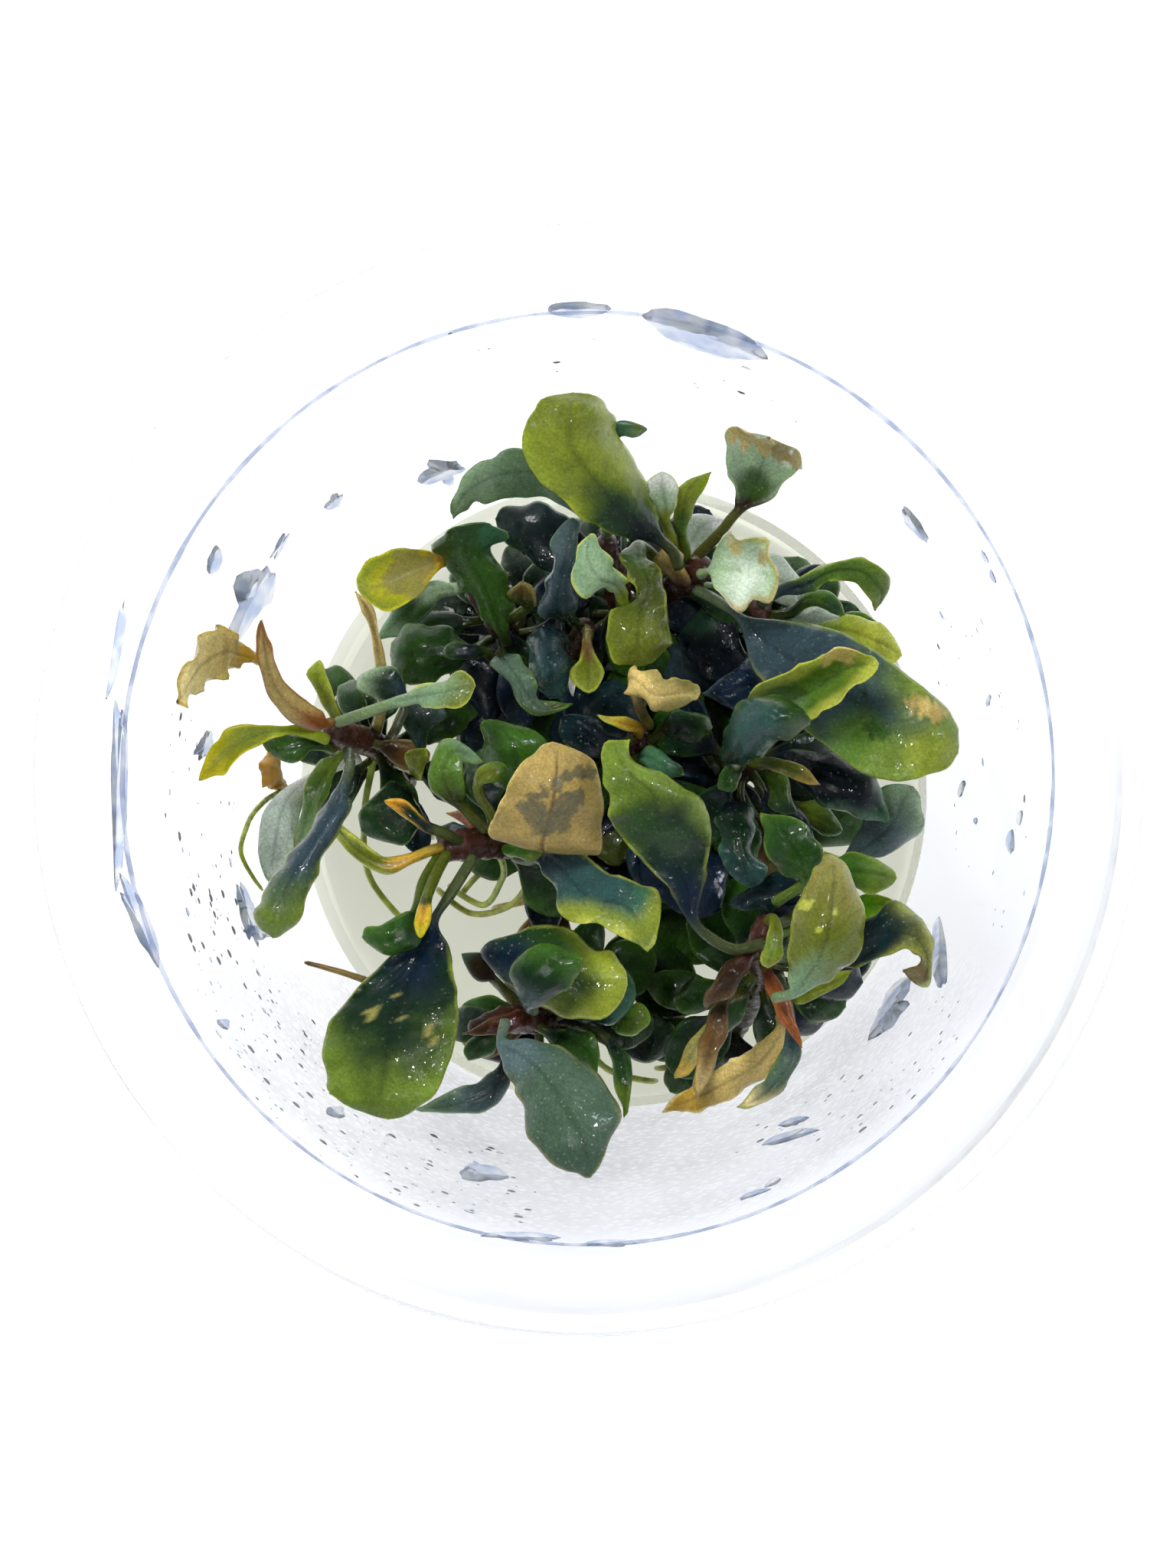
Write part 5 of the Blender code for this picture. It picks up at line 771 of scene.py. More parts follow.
def leafMaterial(kind, finish):
    # living leaf: soft sheen, light coming through the thin blade, fine cell grain and faint veins
    material, tree, shader = newMaterial(kind + "LeafSkin")
    place = addNode(tree, "ShaderNodeTexCoord")
    tint = addNode(tree, "ShaderNodeAttribute", attribute_name="tint")
    cells = addNode(tree, "ShaderNodeTexNoise", {"Vector": place.outputs["Object"], "Scale": 3800.0,
                                                 "Detail": 2.0, "Roughness": 0.6})
    cloud = addNode(tree, "ShaderNodeTexNoise", {"Vector": place.outputs["Object"], "Scale": 480.0,
                                                 "Detail": 3.0, "Roughness": 0.55})
    dots = addNode(tree, "ShaderNodeTexVoronoi", {"Vector": place.outputs["Object"], "Scale": 1500.0,
                                                  "Randomness": 1.0})
    wetness = addNode(tree, "ShaderNodeTexNoise", {"Vector": place.outputs["Object"], "Scale": 560.0,
                                                   "Detail": 2.0, "Roughness": 0.5})
    ripple = addNode(tree, "ShaderNodeTexNoise", {"Vector": place.outputs["Object"], "Scale": 700.0,
                                                  "Detail": 1.0, "Roughness": 0.5})
    # side veins leave the midrib at a slant: millimetres along plus millimetres out, folded at the midrib
    flat = addNode(tree, "ShaderNodeSeparateXYZ", {"Vector": place.outputs["UV"]})
    out = addNode(tree, "ShaderNodeMath", {0: flat.outputs["X"]}, operation="ABSOLUTE")
    slant = addNode(tree, "ShaderNodeMath", {0: out.outputs[0], 1: -1.35, 2: flat.outputs["Y"]},
                    operation="MULTIPLY_ADD")
    warp = addNode(tree, "ShaderNodeMath", {0: cloud.outputs["Fac"], 1: 1.1, 2: slant.outputs[0]},
                   operation="MULTIPLY_ADD")
    beat = addNode(tree, "ShaderNodeMath", {0: warp.outputs[0], 1: 2 * math.pi / 1.25},
                   operation="MULTIPLY")
    veins = addNode(tree, "ShaderNodeMath", {0: beat.outputs[0]}, operation="SINE")
    veinShade = addNode(tree, "ShaderNodeMapRange", (veins.outputs[0], 0.55, 1.0, 1.0, 0.90)).outputs[0]

    grainShade = addNode(tree, "ShaderNodeMapRange", (cells.outputs["Fac"], 0.3, 0.7,
                                                      1 - 0.24 * finish["grain"], 1 + 0.24 * finish["grain"])).outputs[0]
    cloudShade = addNode(tree, "ShaderNodeMapRange", (cloud.outputs["Fac"], 0.3, 0.7, 0.86,
                                                      1.14)).outputs[0]
    shade = addNode(tree, "ShaderNodeMath", {0: grainShade, 1: cloudShade}, operation="MULTIPLY")
    shade = addNode(tree, "ShaderNodeMath", {0: shade.outputs[0], 1: veinShade}, operation="MULTIPLY")
    shaded = addNode(tree, "ShaderNodeVectorMath", {0: tint.outputs["Color"], "Scale": shade.outputs[0]},
                     operation="SCALE")
    dotShare = addNode(tree, "ShaderNodeMapRange", (dots.outputs["Distance"], 0.10, 0.22,
                                                    0.30 * finish["dots"], 0.0)).outputs[0]
    colour = addNode(tree, "ShaderNodeMix", {0: dotShare, 6: shaded.outputs[0], 7: paint("a9b58c")},
                     data_type="RGBA").outputs[2]
    tree.links.new(colour, shader.inputs["Base Color"])

    wetMask = addNode(tree, "ShaderNodeMapRange", (wetness.outputs["Fac"], 0.4, 0.7, finish["dry"],
                                                   finish["wet"])).outputs[0]
    tree.links.new(wetMask, shader.inputs["Roughness"])

    relief = addNode(tree, "ShaderNodeMath", {0: cells.outputs["Fac"], 1: 0.030, 2: 0.0},
                     operation="MULTIPLY_ADD")
    film = addNode(tree, "ShaderNodeBump", {"Height": ripple.outputs["Fac"], "Strength": 0.7,
                                            "Distance": 0.0005})
    tree.links.new(film.outputs["Normal"],
                   shader.inputs["Coat Normal"])  # the water film has its own ripples
    relief = addNode(tree, "ShaderNodeMath", {0: cloud.outputs["Fac"], 1: 0.17, 2: relief.outputs[0]},
                     operation="MULTIPLY_ADD")
    relief = addNode(tree, "ShaderNodeMath", {0: veins.outputs[0], 1: 0.006, 2: relief.outputs[0]},
                     operation="MULTIPLY_ADD")
    bump = addNode(tree, "ShaderNodeBump", {"Height": relief.outputs[0], "Strength": 0.8,
                                            "Distance": 0.001})
    tree.links.new(bump.outputs["Normal"], shader.inputs["Normal"])
    setSockets(shader, {"IOR": 1.42, "Specular IOR Level": 0.30, "Coat Weight": finish["coat"],
                        "Coat Roughness": 0.05, "Coat IOR": 1.33, "Subsurface Weight": finish["glow"],
                        "Subsurface Radius": (0.7, 1.0, 0.3), "Subsurface Scale": 0.0010})
    return material


def stemMaterial():
    # rhizome: a fleshy red-brown stem, ringed by the scars of old leaves, with streaks along it
    material, tree, shader = newMaterial("rhizomeSkin")
    place = addNode(tree, "ShaderNodeTexCoord")
    tint = addNode(tree, "ShaderNodeAttribute", attribute_name="tint")
    stretch = addNode(tree, "ShaderNodeMapping", {"Vector": place.outputs["UV"], "Scale": (3.0, 0.5, 1.0)})
    streaks = addNode(tree, "ShaderNodeTexNoise", {"Vector": stretch.outputs[0], "Scale": 2.0,
                                                   "Detail": 4.0})
    grain = addNode(tree, "ShaderNodeTexNoise", {"Vector": place.outputs["Object"], "Scale": 1500.0,
                                                 "Detail": 3.0})
    shade = addNode(tree, "ShaderNodeMapRange", (streaks.outputs["Fac"], 0.3, 0.7, 0.75, 1.3)).outputs[0]
    shaded = addNode(tree, "ShaderNodeVectorMath", {0: tint.outputs["Color"], "Scale": shade},
                     operation="SCALE")
    pale = addNode(tree, "ShaderNodeMapRange", (grain.outputs["Fac"], 0.62, 0.72, 0.0, 0.25)).outputs[0]
    colour = addNode(tree, "ShaderNodeMix", {0: pale, 6: shaded.outputs[0], 7: paint("8a6a48")},
                     data_type="RGBA").outputs[2]
    tree.links.new(colour, shader.inputs["Base Color"])
    tree.links.new(addNode(tree, "ShaderNodeMapRange", (grain.outputs["Fac"], 0.35, 0.65, 0.18,
                                                        0.5)).outputs[0], shader.inputs["Roughness"])
    bump = addNode(tree, "ShaderNodeBump", {"Height": streaks.outputs["Fac"], "Strength": 0.3,
                                            "Distance": 0.0002})
    tree.links.new(bump.outputs["Normal"], shader.inputs["Normal"])
    setSockets(shader, {"IOR": 1.42, "Coat Weight": 0.3, "Coat Roughness": 0.08, "Coat IOR": 1.33,
                        "Subsurface Weight": 0.12, "Subsurface Radius": (1.0, 0.5,
                                                                         0.3), "Subsurface Scale": 0.001})
    return material


def rootMaterial():
    # young root: pale, waxy and half see-through, green where the light reaches it
    material, tree, shader = newMaterial("rootSkin")
    place = addNode(tree, "ShaderNodeTexCoord")
    tint = addNode(tree, "ShaderNodeAttribute", attribute_name="tint")
    grain = addNode(tree, "ShaderNodeTexNoise", {"Vector": place.outputs["Object"], "Scale": 700.0,
                                                 "Detail": 3.0})
    shade = addNode(tree, "ShaderNodeMapRange", (grain.outputs["Fac"], 0.3, 0.7, 0.7, 1.3)).outputs[0]
    shaded = addNode(tree, "ShaderNodeVectorMath", {0: tint.outputs["Color"], "Scale": shade},
                     operation="SCALE")
    tree.links.new(shaded.outputs[0], shader.inputs["Base Color"])
    tree.links.new(addNode(tree, "ShaderNodeMapRange", (grain.outputs["Fac"], 0.4, 0.6, 0.2,
                                                        0.45)).outputs[0], shader.inputs["Roughness"])
    setSockets(shader, {"IOR": 1.40, "Subsurface Weight": 0.4, "Subsurface Radius": (0.8, 0.9, 0.3),
                        "Subsurface Scale": 0.001, "Coat Weight": 0.3, "Coat Roughness": 0.1})
    return material


def smoothCurve(points, knots, places, endSlope=None):
    # a cubic through the points, which sit at the knots, read at the places
    points = np.array(points)
    knots = np.array(knots)
    steps = np.diff(knots)[:, None]
    chords = np.diff(points, axis=0) / steps
    slopes = np.empty_like(points)
    slopes[0] = chords[0]
    slopes[-1] = chords[-1] if endSlope is None else endSlope
    slopes[1:-1] = (chords[:-1] * steps[1:] + chords[1:] * steps[:-1]) / (steps[1:] + steps[:-1])
    spans = np.clip(np.searchsorted(knots, places, side="right") - 1, 0, len(knots) - 2)
    width = steps[spans]
    t = (np.array(places)[:, None] - knots[spans][:, None]) / width
    return (points[spans] * (1 + 2 * t) * (1 - t) ** 2 + slopes[spans] * width * t * (1 - t) ** 2
            + points[spans + 1] * t ** 2 * (3 - 2 * t) + slopes[spans + 1] * width * t ** 2 * (t - 1))


def arcLengths(points):
    return np.concatenate([[0.0], np.cumsum(np.linalg.norm(np.diff(points, axis=0), axis=1))])


def smoothStep(low, high, value):
    t = np.clip((value - low) / (high - low), 0.0, 1.0)
    return t * t * (3 - 2 * t)


def noiseAt(points, size, seed=0.0):
    # soft noise from -1 to 1 with lumps of this size
    return np.array([noise.noise(Vector(p) / size + Vector((seed, 2 * seed, 0.0))) for p in points])


# What all leaves share
leafForm = {
    "stalkWidth": 1.2, "stalkThickness": 1.1, "bladeThickness": 0.55, "tipThickness": 0.34, "tipWidth": 0.3,
    "rowStep": 0.45,  # between rows of points along a leaf
    "columns": 20, "youngColumns": 12,  # faces across a leaf
    "edgeBand": 0.34,  # how wide the pale margin is
    "ribWidth": 0.20, "ribDepth": 0.14,
    "pucker": 0.10, "puckerSize": 2.6,
    "rollWidth": 3.5,  # the half width at which a margin rolls up or down by the millimetres in roll
}


def leafStations(leaf):
    # the left margin, midrib and right margin from the foot of the stalk to the tip
    stalk = [spot(*point) for point in leaf["stalk"]]
    left, middle, right = [], [], []
    for lx, ly, rx, ry, height, lift, sag in leaf["rows"]:
        left.append(spot(lx, ly, height + lift / 2))
        right.append(spot(rx, ry, height - lift / 2))
        middle.append((left[-1] + right[-1]) / 2 + np.array([0.0, 0.0, sag]))
    line = stalk + middle
    side = right[0] - left[0]
    for i in reversed(range(len(stalk))):
        along = unit(line[i + 1] - line[max(i - 1, 0)])
        side = unit(side - along * side.dot(along)) * leafForm["stalkWidth"] / 2
        left.insert(0, stalk[i] - side)
        right.insert(0, stalk[i] + side)
    tip = spot(*leaf["tip"])
    return left + [tip], line + [tip], right + [tip]


def leafMesh(name, leaf, columns):
    # one closed skin over a leaf's middle surface, with its tint and its flat millimetres as UV
    fine = leaf.get("fine", 1)
    columns *= fine
    rowStep = leafForm["rowStep"] / fine
    left, middle, right = leafStations(leaf)
    knots = arcLengths(middle)
    reach = knots[-1]
    tipSpan = reach - knots[-2]
    tipRows = max(6, int(tipSpan / rowStep * 1.6))
    places = list(np.linspace(0.0, knots[-2], max(8, int(knots[-2] / rowStep))))[:-1]
    places += [knots[-2] + tipSpan * math.sin(math.pi / 2 * k / tipRows) for k in range(tipRows + 1)]
    places = np.array(places)
    blunt = leaf.get("blunt", 0.7)
    bend = blunt * (right[-2] - left[-2]) / tipSpan
    middleLine = smoothCurve(middle, knots, places)
    leftLine = smoothCurve(left, knots, places, bend if blunt else None)
    rightLine = smoothCurve(right, knots, places, -bend if blunt else None)
    side = unit(rightLine[-2] - leftLine[-2]) * leafForm["tipWidth"] / 2
    leftLine[-1] = middleLine[-1] - side
    rightLine[-1] = middleLine[-1] + side
    across = np.linspace(-1.0, 1.0, columns + 1)
    across = np.sign(across) * (1 - (1 - abs(across)) ** 1.25)  # rows crowd towards the margins
    v = across[None, :, None]
    grid = (middleLine[:, None] * (1 - v ** 2) + leftLine[:, None] * (v ** 2 - v) / 2
            + rightLine[:, None] * (v ** 2 + v) / 2)

    neck = knots[len(leaf["stalk"]) - 1]
    bladeStart = knots[len(leaf["stalk"])]
    halfWidth = np.linalg.norm(rightLine - leftLine, axis=1)[:, None] / 2
    inBlade = smoothStep(neck, bladeStart, places)[:, None]
    thickness = np.interp(places, [neck, bladeStart, reach],
                          [leaf.get("stalk_thickness", leafForm["stalkThickness"]),
                           leaf.get("thickness", leafForm["bladeThickness"]), leafForm["tipThickness"]])
    slopeAlong = np.gradient(grid, axis=0)
    slopeAcross = np.gradient(grid, axis=1)
    normals = np.cross(slopeAcross, slopeAlong)
    normals /= np.maximum(np.linalg.norm(normals, axis=2), 1e-9)[:, :, None]

    # the margins wave, the blade puckers and the midrib sinks, all of it small beside the leaf
    seed = sum(map(ord, name)) % 97
    flatGrid = grid.reshape(-1, 3)
    pucker = noiseAt(flatGrid, leafForm["puckerSize"], seed).reshape(grid.shape[:2])
    phase = seed + 2 * np.sign(across)[None, :]
    wave = np.sin(places[:, None] * 2 * math.pi / 4.2 + phase + pucker * 2.0)
    wave = (wave + 0.7 * np.sin(places[:, None] * 2 * math.pi / 9.5 + 2.3 * phase)) * leaf.get("wave", 0.28)
    rollLeft, rollRight = leaf.get("roll", (0.0, 0.0))
    roll = rollLeft * np.maximum(0.0, -across) ** 2.2 + rollRight * np.maximum(0.0, across) ** 2.2
    towardsEye = unit3((eye - grid).reshape(-1, 3)).reshape(grid.shape)
    rolled = towardsEye * (inBlade * roll[None, :] * halfWidth / leafForm["rollWidth"])[:, :, None]
    lift = inBlade * (wave * abs(across)[None, :] ** 3 + pucker * leafForm["pucker"])
    ribCut = np.exp(-(across[None,
                             :] * halfWidth / leafForm["ribWidth"]) ** 2) * leafForm["ribDepth"] * inBlade
    ribCut *= smoothStep(0.0, 2.5, reach - places)[:, None]
    fade = smoothStep(0.0, 1.2, reach - places)[:, None]
    grid = grid + normals * ((lift * fade)[:, :, None]) + rolled * fade[:, :, None]
    ragged = leaf.get("ragged", 0.05) * noiseAt(flatGrid, 0.9, seed + 5).reshape(grid.shape[:2])
    edgeward = unit3(rightLine - leftLine)[:, None, :] * np.sign(across)[None, :, None]
    grid = grid + edgeward * (ragged * abs(across)[None, :] ** 6 * inBlade)[:, :, None]

    power = 2 + 2 * inBlade
    profile = np.sqrt(np.maximum(0.0, 1 - abs(across)[None, :] ** power)) * thickness[:, None] / 2
    upper = grid + normals * (profile - ribCut * 0.8)[:, :, None]
    lower = grid - normals * (profile + ribCut * 0.6)[:, :, None]
    upper[:, 0] = lower[:, 0] = grid[:, 0]
    upper[:, -1] = lower[:, -1] = grid[:, -1]

    rows, cols = grid.shape[:2]
    ring = 2 * columns
    points = np.concatenate([upper, lower[:, -2:0:-1]], axis=1).reshape(-1, 3)
    start = np.arange(rows - 1)[:, None] * ring
    k = np.arange(ring)[None, :]
    nextK = (k + 1) % ring
    quads = np.stack([start + k, start + nextK, start + nextK + ring, start + k + ring],
                     axis=2).reshape(-1, 4)
    faces = [tuple(q) for q in quads.tolist()]
    faces.append(tuple(range(ring - 1, -1, -1)))
    faces.append(tuple(range((rows - 1) * ring, rows * ring)))

    u = np.concatenate([across, across[-2:0:-1]])
    uMillimetres = np.broadcast_to(u[None, :] * halfWidth, (rows, ring)).reshape(-1)
    vMillimetres = np.broadcast_to(places[:, None], (rows, ring)).reshape(-1)
    under = np.broadcast_to((np.arange(ring) > columns)[None, :], (rows, ring)).reshape(-1)
    tints = leafTints(leaf, points, np.broadcast_to(u[None, :], (rows, ring)).reshape(-1), uMillimetres,
                      np.broadcast_to(halfWidth, (rows, ring)).reshape(-1),
                      (vMillimetres - neck) / (reach - neck), under)
    return meshFrom(name, points, faces, np.stack([uMillimetres, vMillimetres], axis=1), tints)


def unit3(vectors):
    return vectors / np.maximum(np.linalg.norm(vectors, axis=1), 1e-9)[:, None]


def tintOf(word):
    return np.array(paint(leafPalette[word])[:3])


def leafTints(leaf, points, u, out, halfWidth, along, under):
    # base colour by the stalk, body colour in the middle, tip colour towards the tip, a pale margin
    base, body, tip, edge = [tintOf(word) for word in leaf["tints"].split()]
    stalk = base * 0.6 + tintOf("olive") * 0.4
    tipStart, tipFull = leaf.get("blend", (0.52, 1.02))
    drift = noiseAt(points, 3.5, 3.0) * 0.16 + noiseAt(points, 1.1, 9.0) * 0.05
    t = along + drift + leaf.get("rim", 0.22) * abs(u) ** 2 * smoothStep(0.0, 0.3, along)
    colour = stalk + (base - stalk) * smoothStep(-0.15, 0.08, along)[:, None]
    colour = colour + (body - colour) * smoothStep(0.10, 0.50, t)[:, None]
    colour = colour + (tip - colour) * smoothStep(tipStart, tipFull, t)[:, None]
    wide = leaf.get("band", leafForm["edgeBand"]) * (1 + 0.5 * drift / 0.16)
    band = smoothStep(wide, 0.3 * wide, halfWidth - abs(out)) * smoothStep(0.02, 0.35, along)
    colour = colour + (edge - colour) * (0.75 * band)[:, None]
    # the midrib: the leaf's own rib tint where it gives one, else the colour darkened as painted shade in the
    # midrib's groove
    rib = np.exp(-(out / 0.18) ** 2) * smoothStep(1.0, 0.8, along) * smoothStep(0.0, 0.1, along)
    ribTintAndGrooveShade = tintOf(leaf["rib"]) if "rib" in leaf else colour * 0.45
    colour = colour + (ribTintAndGrooveShade - colour) * ((0.85 if "rib" in leaf else 0.6) * rib)[:, None]
    colour = np.where(under[:, None], colour * 0.75 + tintOf("khaki") * 0.25, colour)
    if "patches" in leaf:
        px, py = pixelsOf(points)
        rough = noiseAt(points, 2.0, 1.0) * 0.5 + noiseAt(points, 0.6, 7.0) * 0.22
        fleck = noiseAt(points, 0.8, 3.0) * 0.8
        for x, y, radius, word, *softness in leaf["patches"]:
            soft = softness[0] if softness else 0.24
            uneven = (rough if radius > 16 else fleck) * (1.24 - soft)
            share = smoothStep(1 + soft / 2, 1 - soft / 2, np.hypot(px - x, py - y) / radius + uneven)
            colour = colour + (tintOf(word) - colour) * (0.85 * share)[:, None]
    return colour


def meshFrom(name, points, faces, uvs, tints):
    # a mesh from points in millimetres, with a UV map and the tint of each point
    mesh = bpy.data.meshes.new(name)
    mesh.from_pydata((np.asarray(points) * toMetres).tolist(), [], faces)
    corners = np.empty(len(mesh.loops), dtype=np.int32)
    mesh.loops.foreach_get("vertex_index", corners)
    layer = mesh.uv_layers.new(name="flat")
    layer.data.foreach_set("uv", np.asarray(uvs)[corners].astype(np.float32).ravel())
    attribute = mesh.color_attributes.new("tint", "FLOAT_COLOR", "POINT")
    rgba = np.ones((len(points), 4), dtype=np.float32)
    rgba[:, :3] = np.clip(tints, 0.0, 1.0)
    attribute.data.foreach_set("color", rgba.ravel())
    mesh.shade_smooth()
    return mesh


def tubeMesh(name, line, radii, colours, sides=14, step=0.4, knob=0.0, knobEvery=1.7, rough=0.0):
    # a closed tube along a smooth line of places, whose radius can swell at regular rings
    line = np.array(line)
    knots = arcLengths(line)
    places = np.linspace(0.0, knots[-1], max(6, int(knots[-1] / step)))
    middle = smoothCurve(line, knots, places)
    radius = np.interp(places, knots, radii)
    radius *= 1 + knob * np.abs(np.sin(places * math.pi / knobEvery)) ** 6
    radius[-1] *= 0.55
    radius[0] *= 0.8
    along = unit3(np.gradient(middle, axis=0))
    side = unit(np.cross(along[0], (0.31, 0.95, 0.12)))
    rings = []
    angle = np.arange(sides) * 2 * math.pi / sides
    for i in range(len(places)):
        side = unit(side - along[i] * side.dot(along[i]))
        other = np.cross(along[i], side)
        rings.append(middle[i] + radius[i] * (np.cos(angle)[:, None] * side + np.sin(angle)[:,
                                                                                            None] * other))
    points = np.concatenate(rings)
    if rough:
        centre = np.repeat(middle, sides, axis=0)
        points = centre + (points - centre) * (1 + rough * noiseAt(points, 0.8, 4.0))[:, None]
    rows = len(places)
    start = np.arange(rows - 1)[:, None] * sides
    k = np.arange(sides)[None, :]
    nextK = (k + 1) % sides
    quads = np.stack([start + k, start + nextK, start + nextK + sides, start + k + sides],
                     axis=2).reshape(-1, 4)
    faces = [tuple(q) for q in quads.tolist()]
    faces.append(tuple(range(sides - 1, -1, -1)))
    faces.append(tuple(range((rows - 1) * sides, rows * sides)))
    uvs = np.stack([np.tile(angle, rows) * radius.repeat(sides), places.repeat(sides)], axis=1)
    stops = [np.array(paint(h)[:3]) for h in colours.split()]
    where = places / knots[-1] * (len(stops) - 1)
    tints = np.stack([np.interp(where, range(len(stops)), [s[c] for s in stops]) for c in range(3)], axis=1)
    return meshFrom(name, points, faces, uvs, tints.repeat(sides, axis=0))


def addPiece(name, mesh, materials):
    piece = bpy.data.objects.new(name, mesh)
    bpy.context.scene.collection.objects.link(piece)
    for material in materials:
        mesh.materials.append(material)
    return piece


def selectOnly(pieces):
    bpy.ops.object.select_all(action="DESELECT")
    for piece in pieces:
        piece.select_set(True)
    bpy.context.view_layer.objects.active = pieces[0]


def joinPieces(name, pieces):
    selectOnly(pieces)
    if len(pieces) > 1:
        bpy.ops.object.join()
    whole = bpy.context.view_layer.objects.active
    whole.name = whole.data.name = name
    return whole


def pieceName(node):
    # crown_leaf is shown by CrownLeaf
    return node.title().replace("_", "")


def standFor(piece, node):
    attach(piece, "root")
    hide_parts(node)


def finishTurned(piece):
    # closed seam and poles, faces outwards, smooth with sharp corners kept
    bpy.ops.mesh.select_all(action="SELECT")
    bpy.ops.mesh.remove_doubles(threshold=0.00001)
    bpy.ops.mesh.normals_make_consistent(inside=False)
    bpy.ops.object.mode_set(mode="OBJECT")
    bpy.ops.object.shade_smooth_by_angle(angle=math.radians(35))


def turnProfile(name, profile, steps):
    # a profile drawn point by point from a single vertex, then spun round the jar's axis
    selectOnlyNothing()
    bpy.ops.mesh.primitive_plane_add(size=0.001, location=(0, 0, 0))
    piece = bpy.context.object
    piece.name = piece.data.name = name
    bpy.ops.object.mode_set(mode="EDIT")
    bpy.ops.mesh.select_mode(type="VERT")
    bpy.ops.mesh.select_all(action="SELECT")
    bpy.ops.mesh.merge(type="CENTER")
    radius, height = profile[0]
    bpy.ops.transform.translate(value=(radius * toMetres, 0, height * toMetres))
    for nextRadius, nextHeight in profile[1:]:
        step = ((nextRadius - radius) * toMetres, 0, (nextHeight - height) * toMetres)
        bpy.ops.mesh.extrude_vertices_move(TRANSFORM_OT_translate={"value": step})
        radius, height = nextRadius, nextHeight
    bpy.ops.mesh.select_all(action="SELECT")
    bpy.ops.mesh.spin(steps=steps, angle=2 * math.pi, center=(0, 0, 0), axis=(0, 0, 1))
    finishTurned(piece)
    return piece


def selectOnlyNothing():
    bpy.ops.object.select_all(action="DESELECT")


# The jar's sizes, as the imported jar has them
jar = {
    "wall": 0.9, "floor": 1.0, "floorRadius": 34.6, "ledge": 60.0, "ledgeRadius": 42.5, "ledgeWidth": 3.9,
    "collar": 4.4, "lipRadius": 49.7, "lipDrop": 2.8, "steps": 192,
}


def jarMaterial():
    # clear moulded polystyrene: thin and colourless face on, blue-grey where light runs along it
    material, tree, shader = newMaterial("clearPolystyrene")
    place = addNode(tree, "ShaderNodeTexCoord")
    ripple = addNode(tree, "ShaderNodeTexNoise", {"Vector": place.outputs["Object"], "Scale": 90.0,
                                                  "Detail": 2.0})
    bump = addNode(tree, "ShaderNodeBump", {"Height": ripple.outputs["Fac"], "Strength": 0.25,
                                            "Distance": 0.0006})
    tree.links.new(bump.outputs["Normal"], shader.inputs["Normal"])
    haze = addNode(tree, "ShaderNodeTexNoise", {"Vector": place.outputs["Object"], "Scale": 160.0,
                                                "Detail": 4.0})
    tree.links.new(addNode(tree, "ShaderNodeMapRange", (haze.outputs["Fac"], 0.5, 0.75, 0.0,
                                                        0.08)).outputs[0], shader.inputs["Roughness"])
    setSockets(shader, {"Base Color": (1.0, 1.0, 1.0, 1.0), "Transmission Weight": 1.0, "IOR": 1.036,
                        "Coat Weight": 0.15, "Coat IOR": 1.4})
    absorb = addNode(tree, "ShaderNodeVolumeAbsorption", {"Color": paint("bac7e4"), "Density": 70.0})
    output = tree.nodes["Material Output"]
    tree.links.new(absorb.outputs[0], output.inputs["Volume"])
    return material


def addJar():
    j = jar
    collar = j["ledgeRadius"] + j["ledgeWidth"]
    lipTop = j["ledge"] + j["collar"]
    profile = [
        (0.0, j["floor"]), (10.0, j["floor"] + 0.05), (j["floorRadius"] - 1.6, j["floor"]),
        (j["floorRadius"] - 0.5, j["floor"] + 0.45), (wallRadius(j["floor"] + 1.6), j["floor"] + 1.6),
        (wallRadius(20.0), 20.0), (wallRadius(40.0), 40.0), (wallRadius(59.2), 59.2),
        (j["ledgeRadius"] + 0.25, j["ledge"] + 0.15), (j["ledgeRadius"] + 0.8, j["ledge"] + 0.3),
        (collar - 0.4, j["ledge"] + 0.3), (collar, j["ledge"] + 0.7),
        (collar + 0.4, lipTop - 0.5), (collar + 0.6, lipTop - 0.1), (collar + 1.0, lipTop),
        (j["lipRadius"] - 0.6, lipTop), (j["lipRadius"] - 0.15, lipTop - 0.15), (j["lipRadius"],
                                                                                 lipTop - 0.6),
        (j["lipRadius"], lipTop - j["lipDrop"]), (j["lipRadius"] - 0.8, lipTop - j["lipDrop"]),
        (j["lipRadius"] - 0.8, lipTop - 1.0), (collar + 1.4, lipTop - 1.0), (collar + j["wall"] + 0.2,
                                                                             j["ledge"] + 1.0),
        (collar + j["wall"], j["ledge"] - 0.3), (collar + 0.3, j["ledge"] - 0.6),
        (j["ledgeRadius"] + j["wall"] + 0.3, j["ledge"] - 0.6), (j["ledgeRadius"] + j["wall"],
                                                                 j["ledge"] - 1.2),
        (j["floorRadius"] + j["wall"] - 0.2, 1.4), (j["floorRadius"] + 0.3, 0.5), (j["floorRadius"] - 1.0,
                                                                                   0.0),
        (0.0, 0.0),
    ]
    piece = turnProfile("Jar", profile, j["steps"])
    piece.data.materials.append(jarMaterial())
    standFor(piece, "jar")


gel = {"top": 7.2, "rise": 0.8, "gap": 0.05, "steps": 128, "ringStep": 1.6, "ripple": 0.28,
       "rippleSize": 7.0}


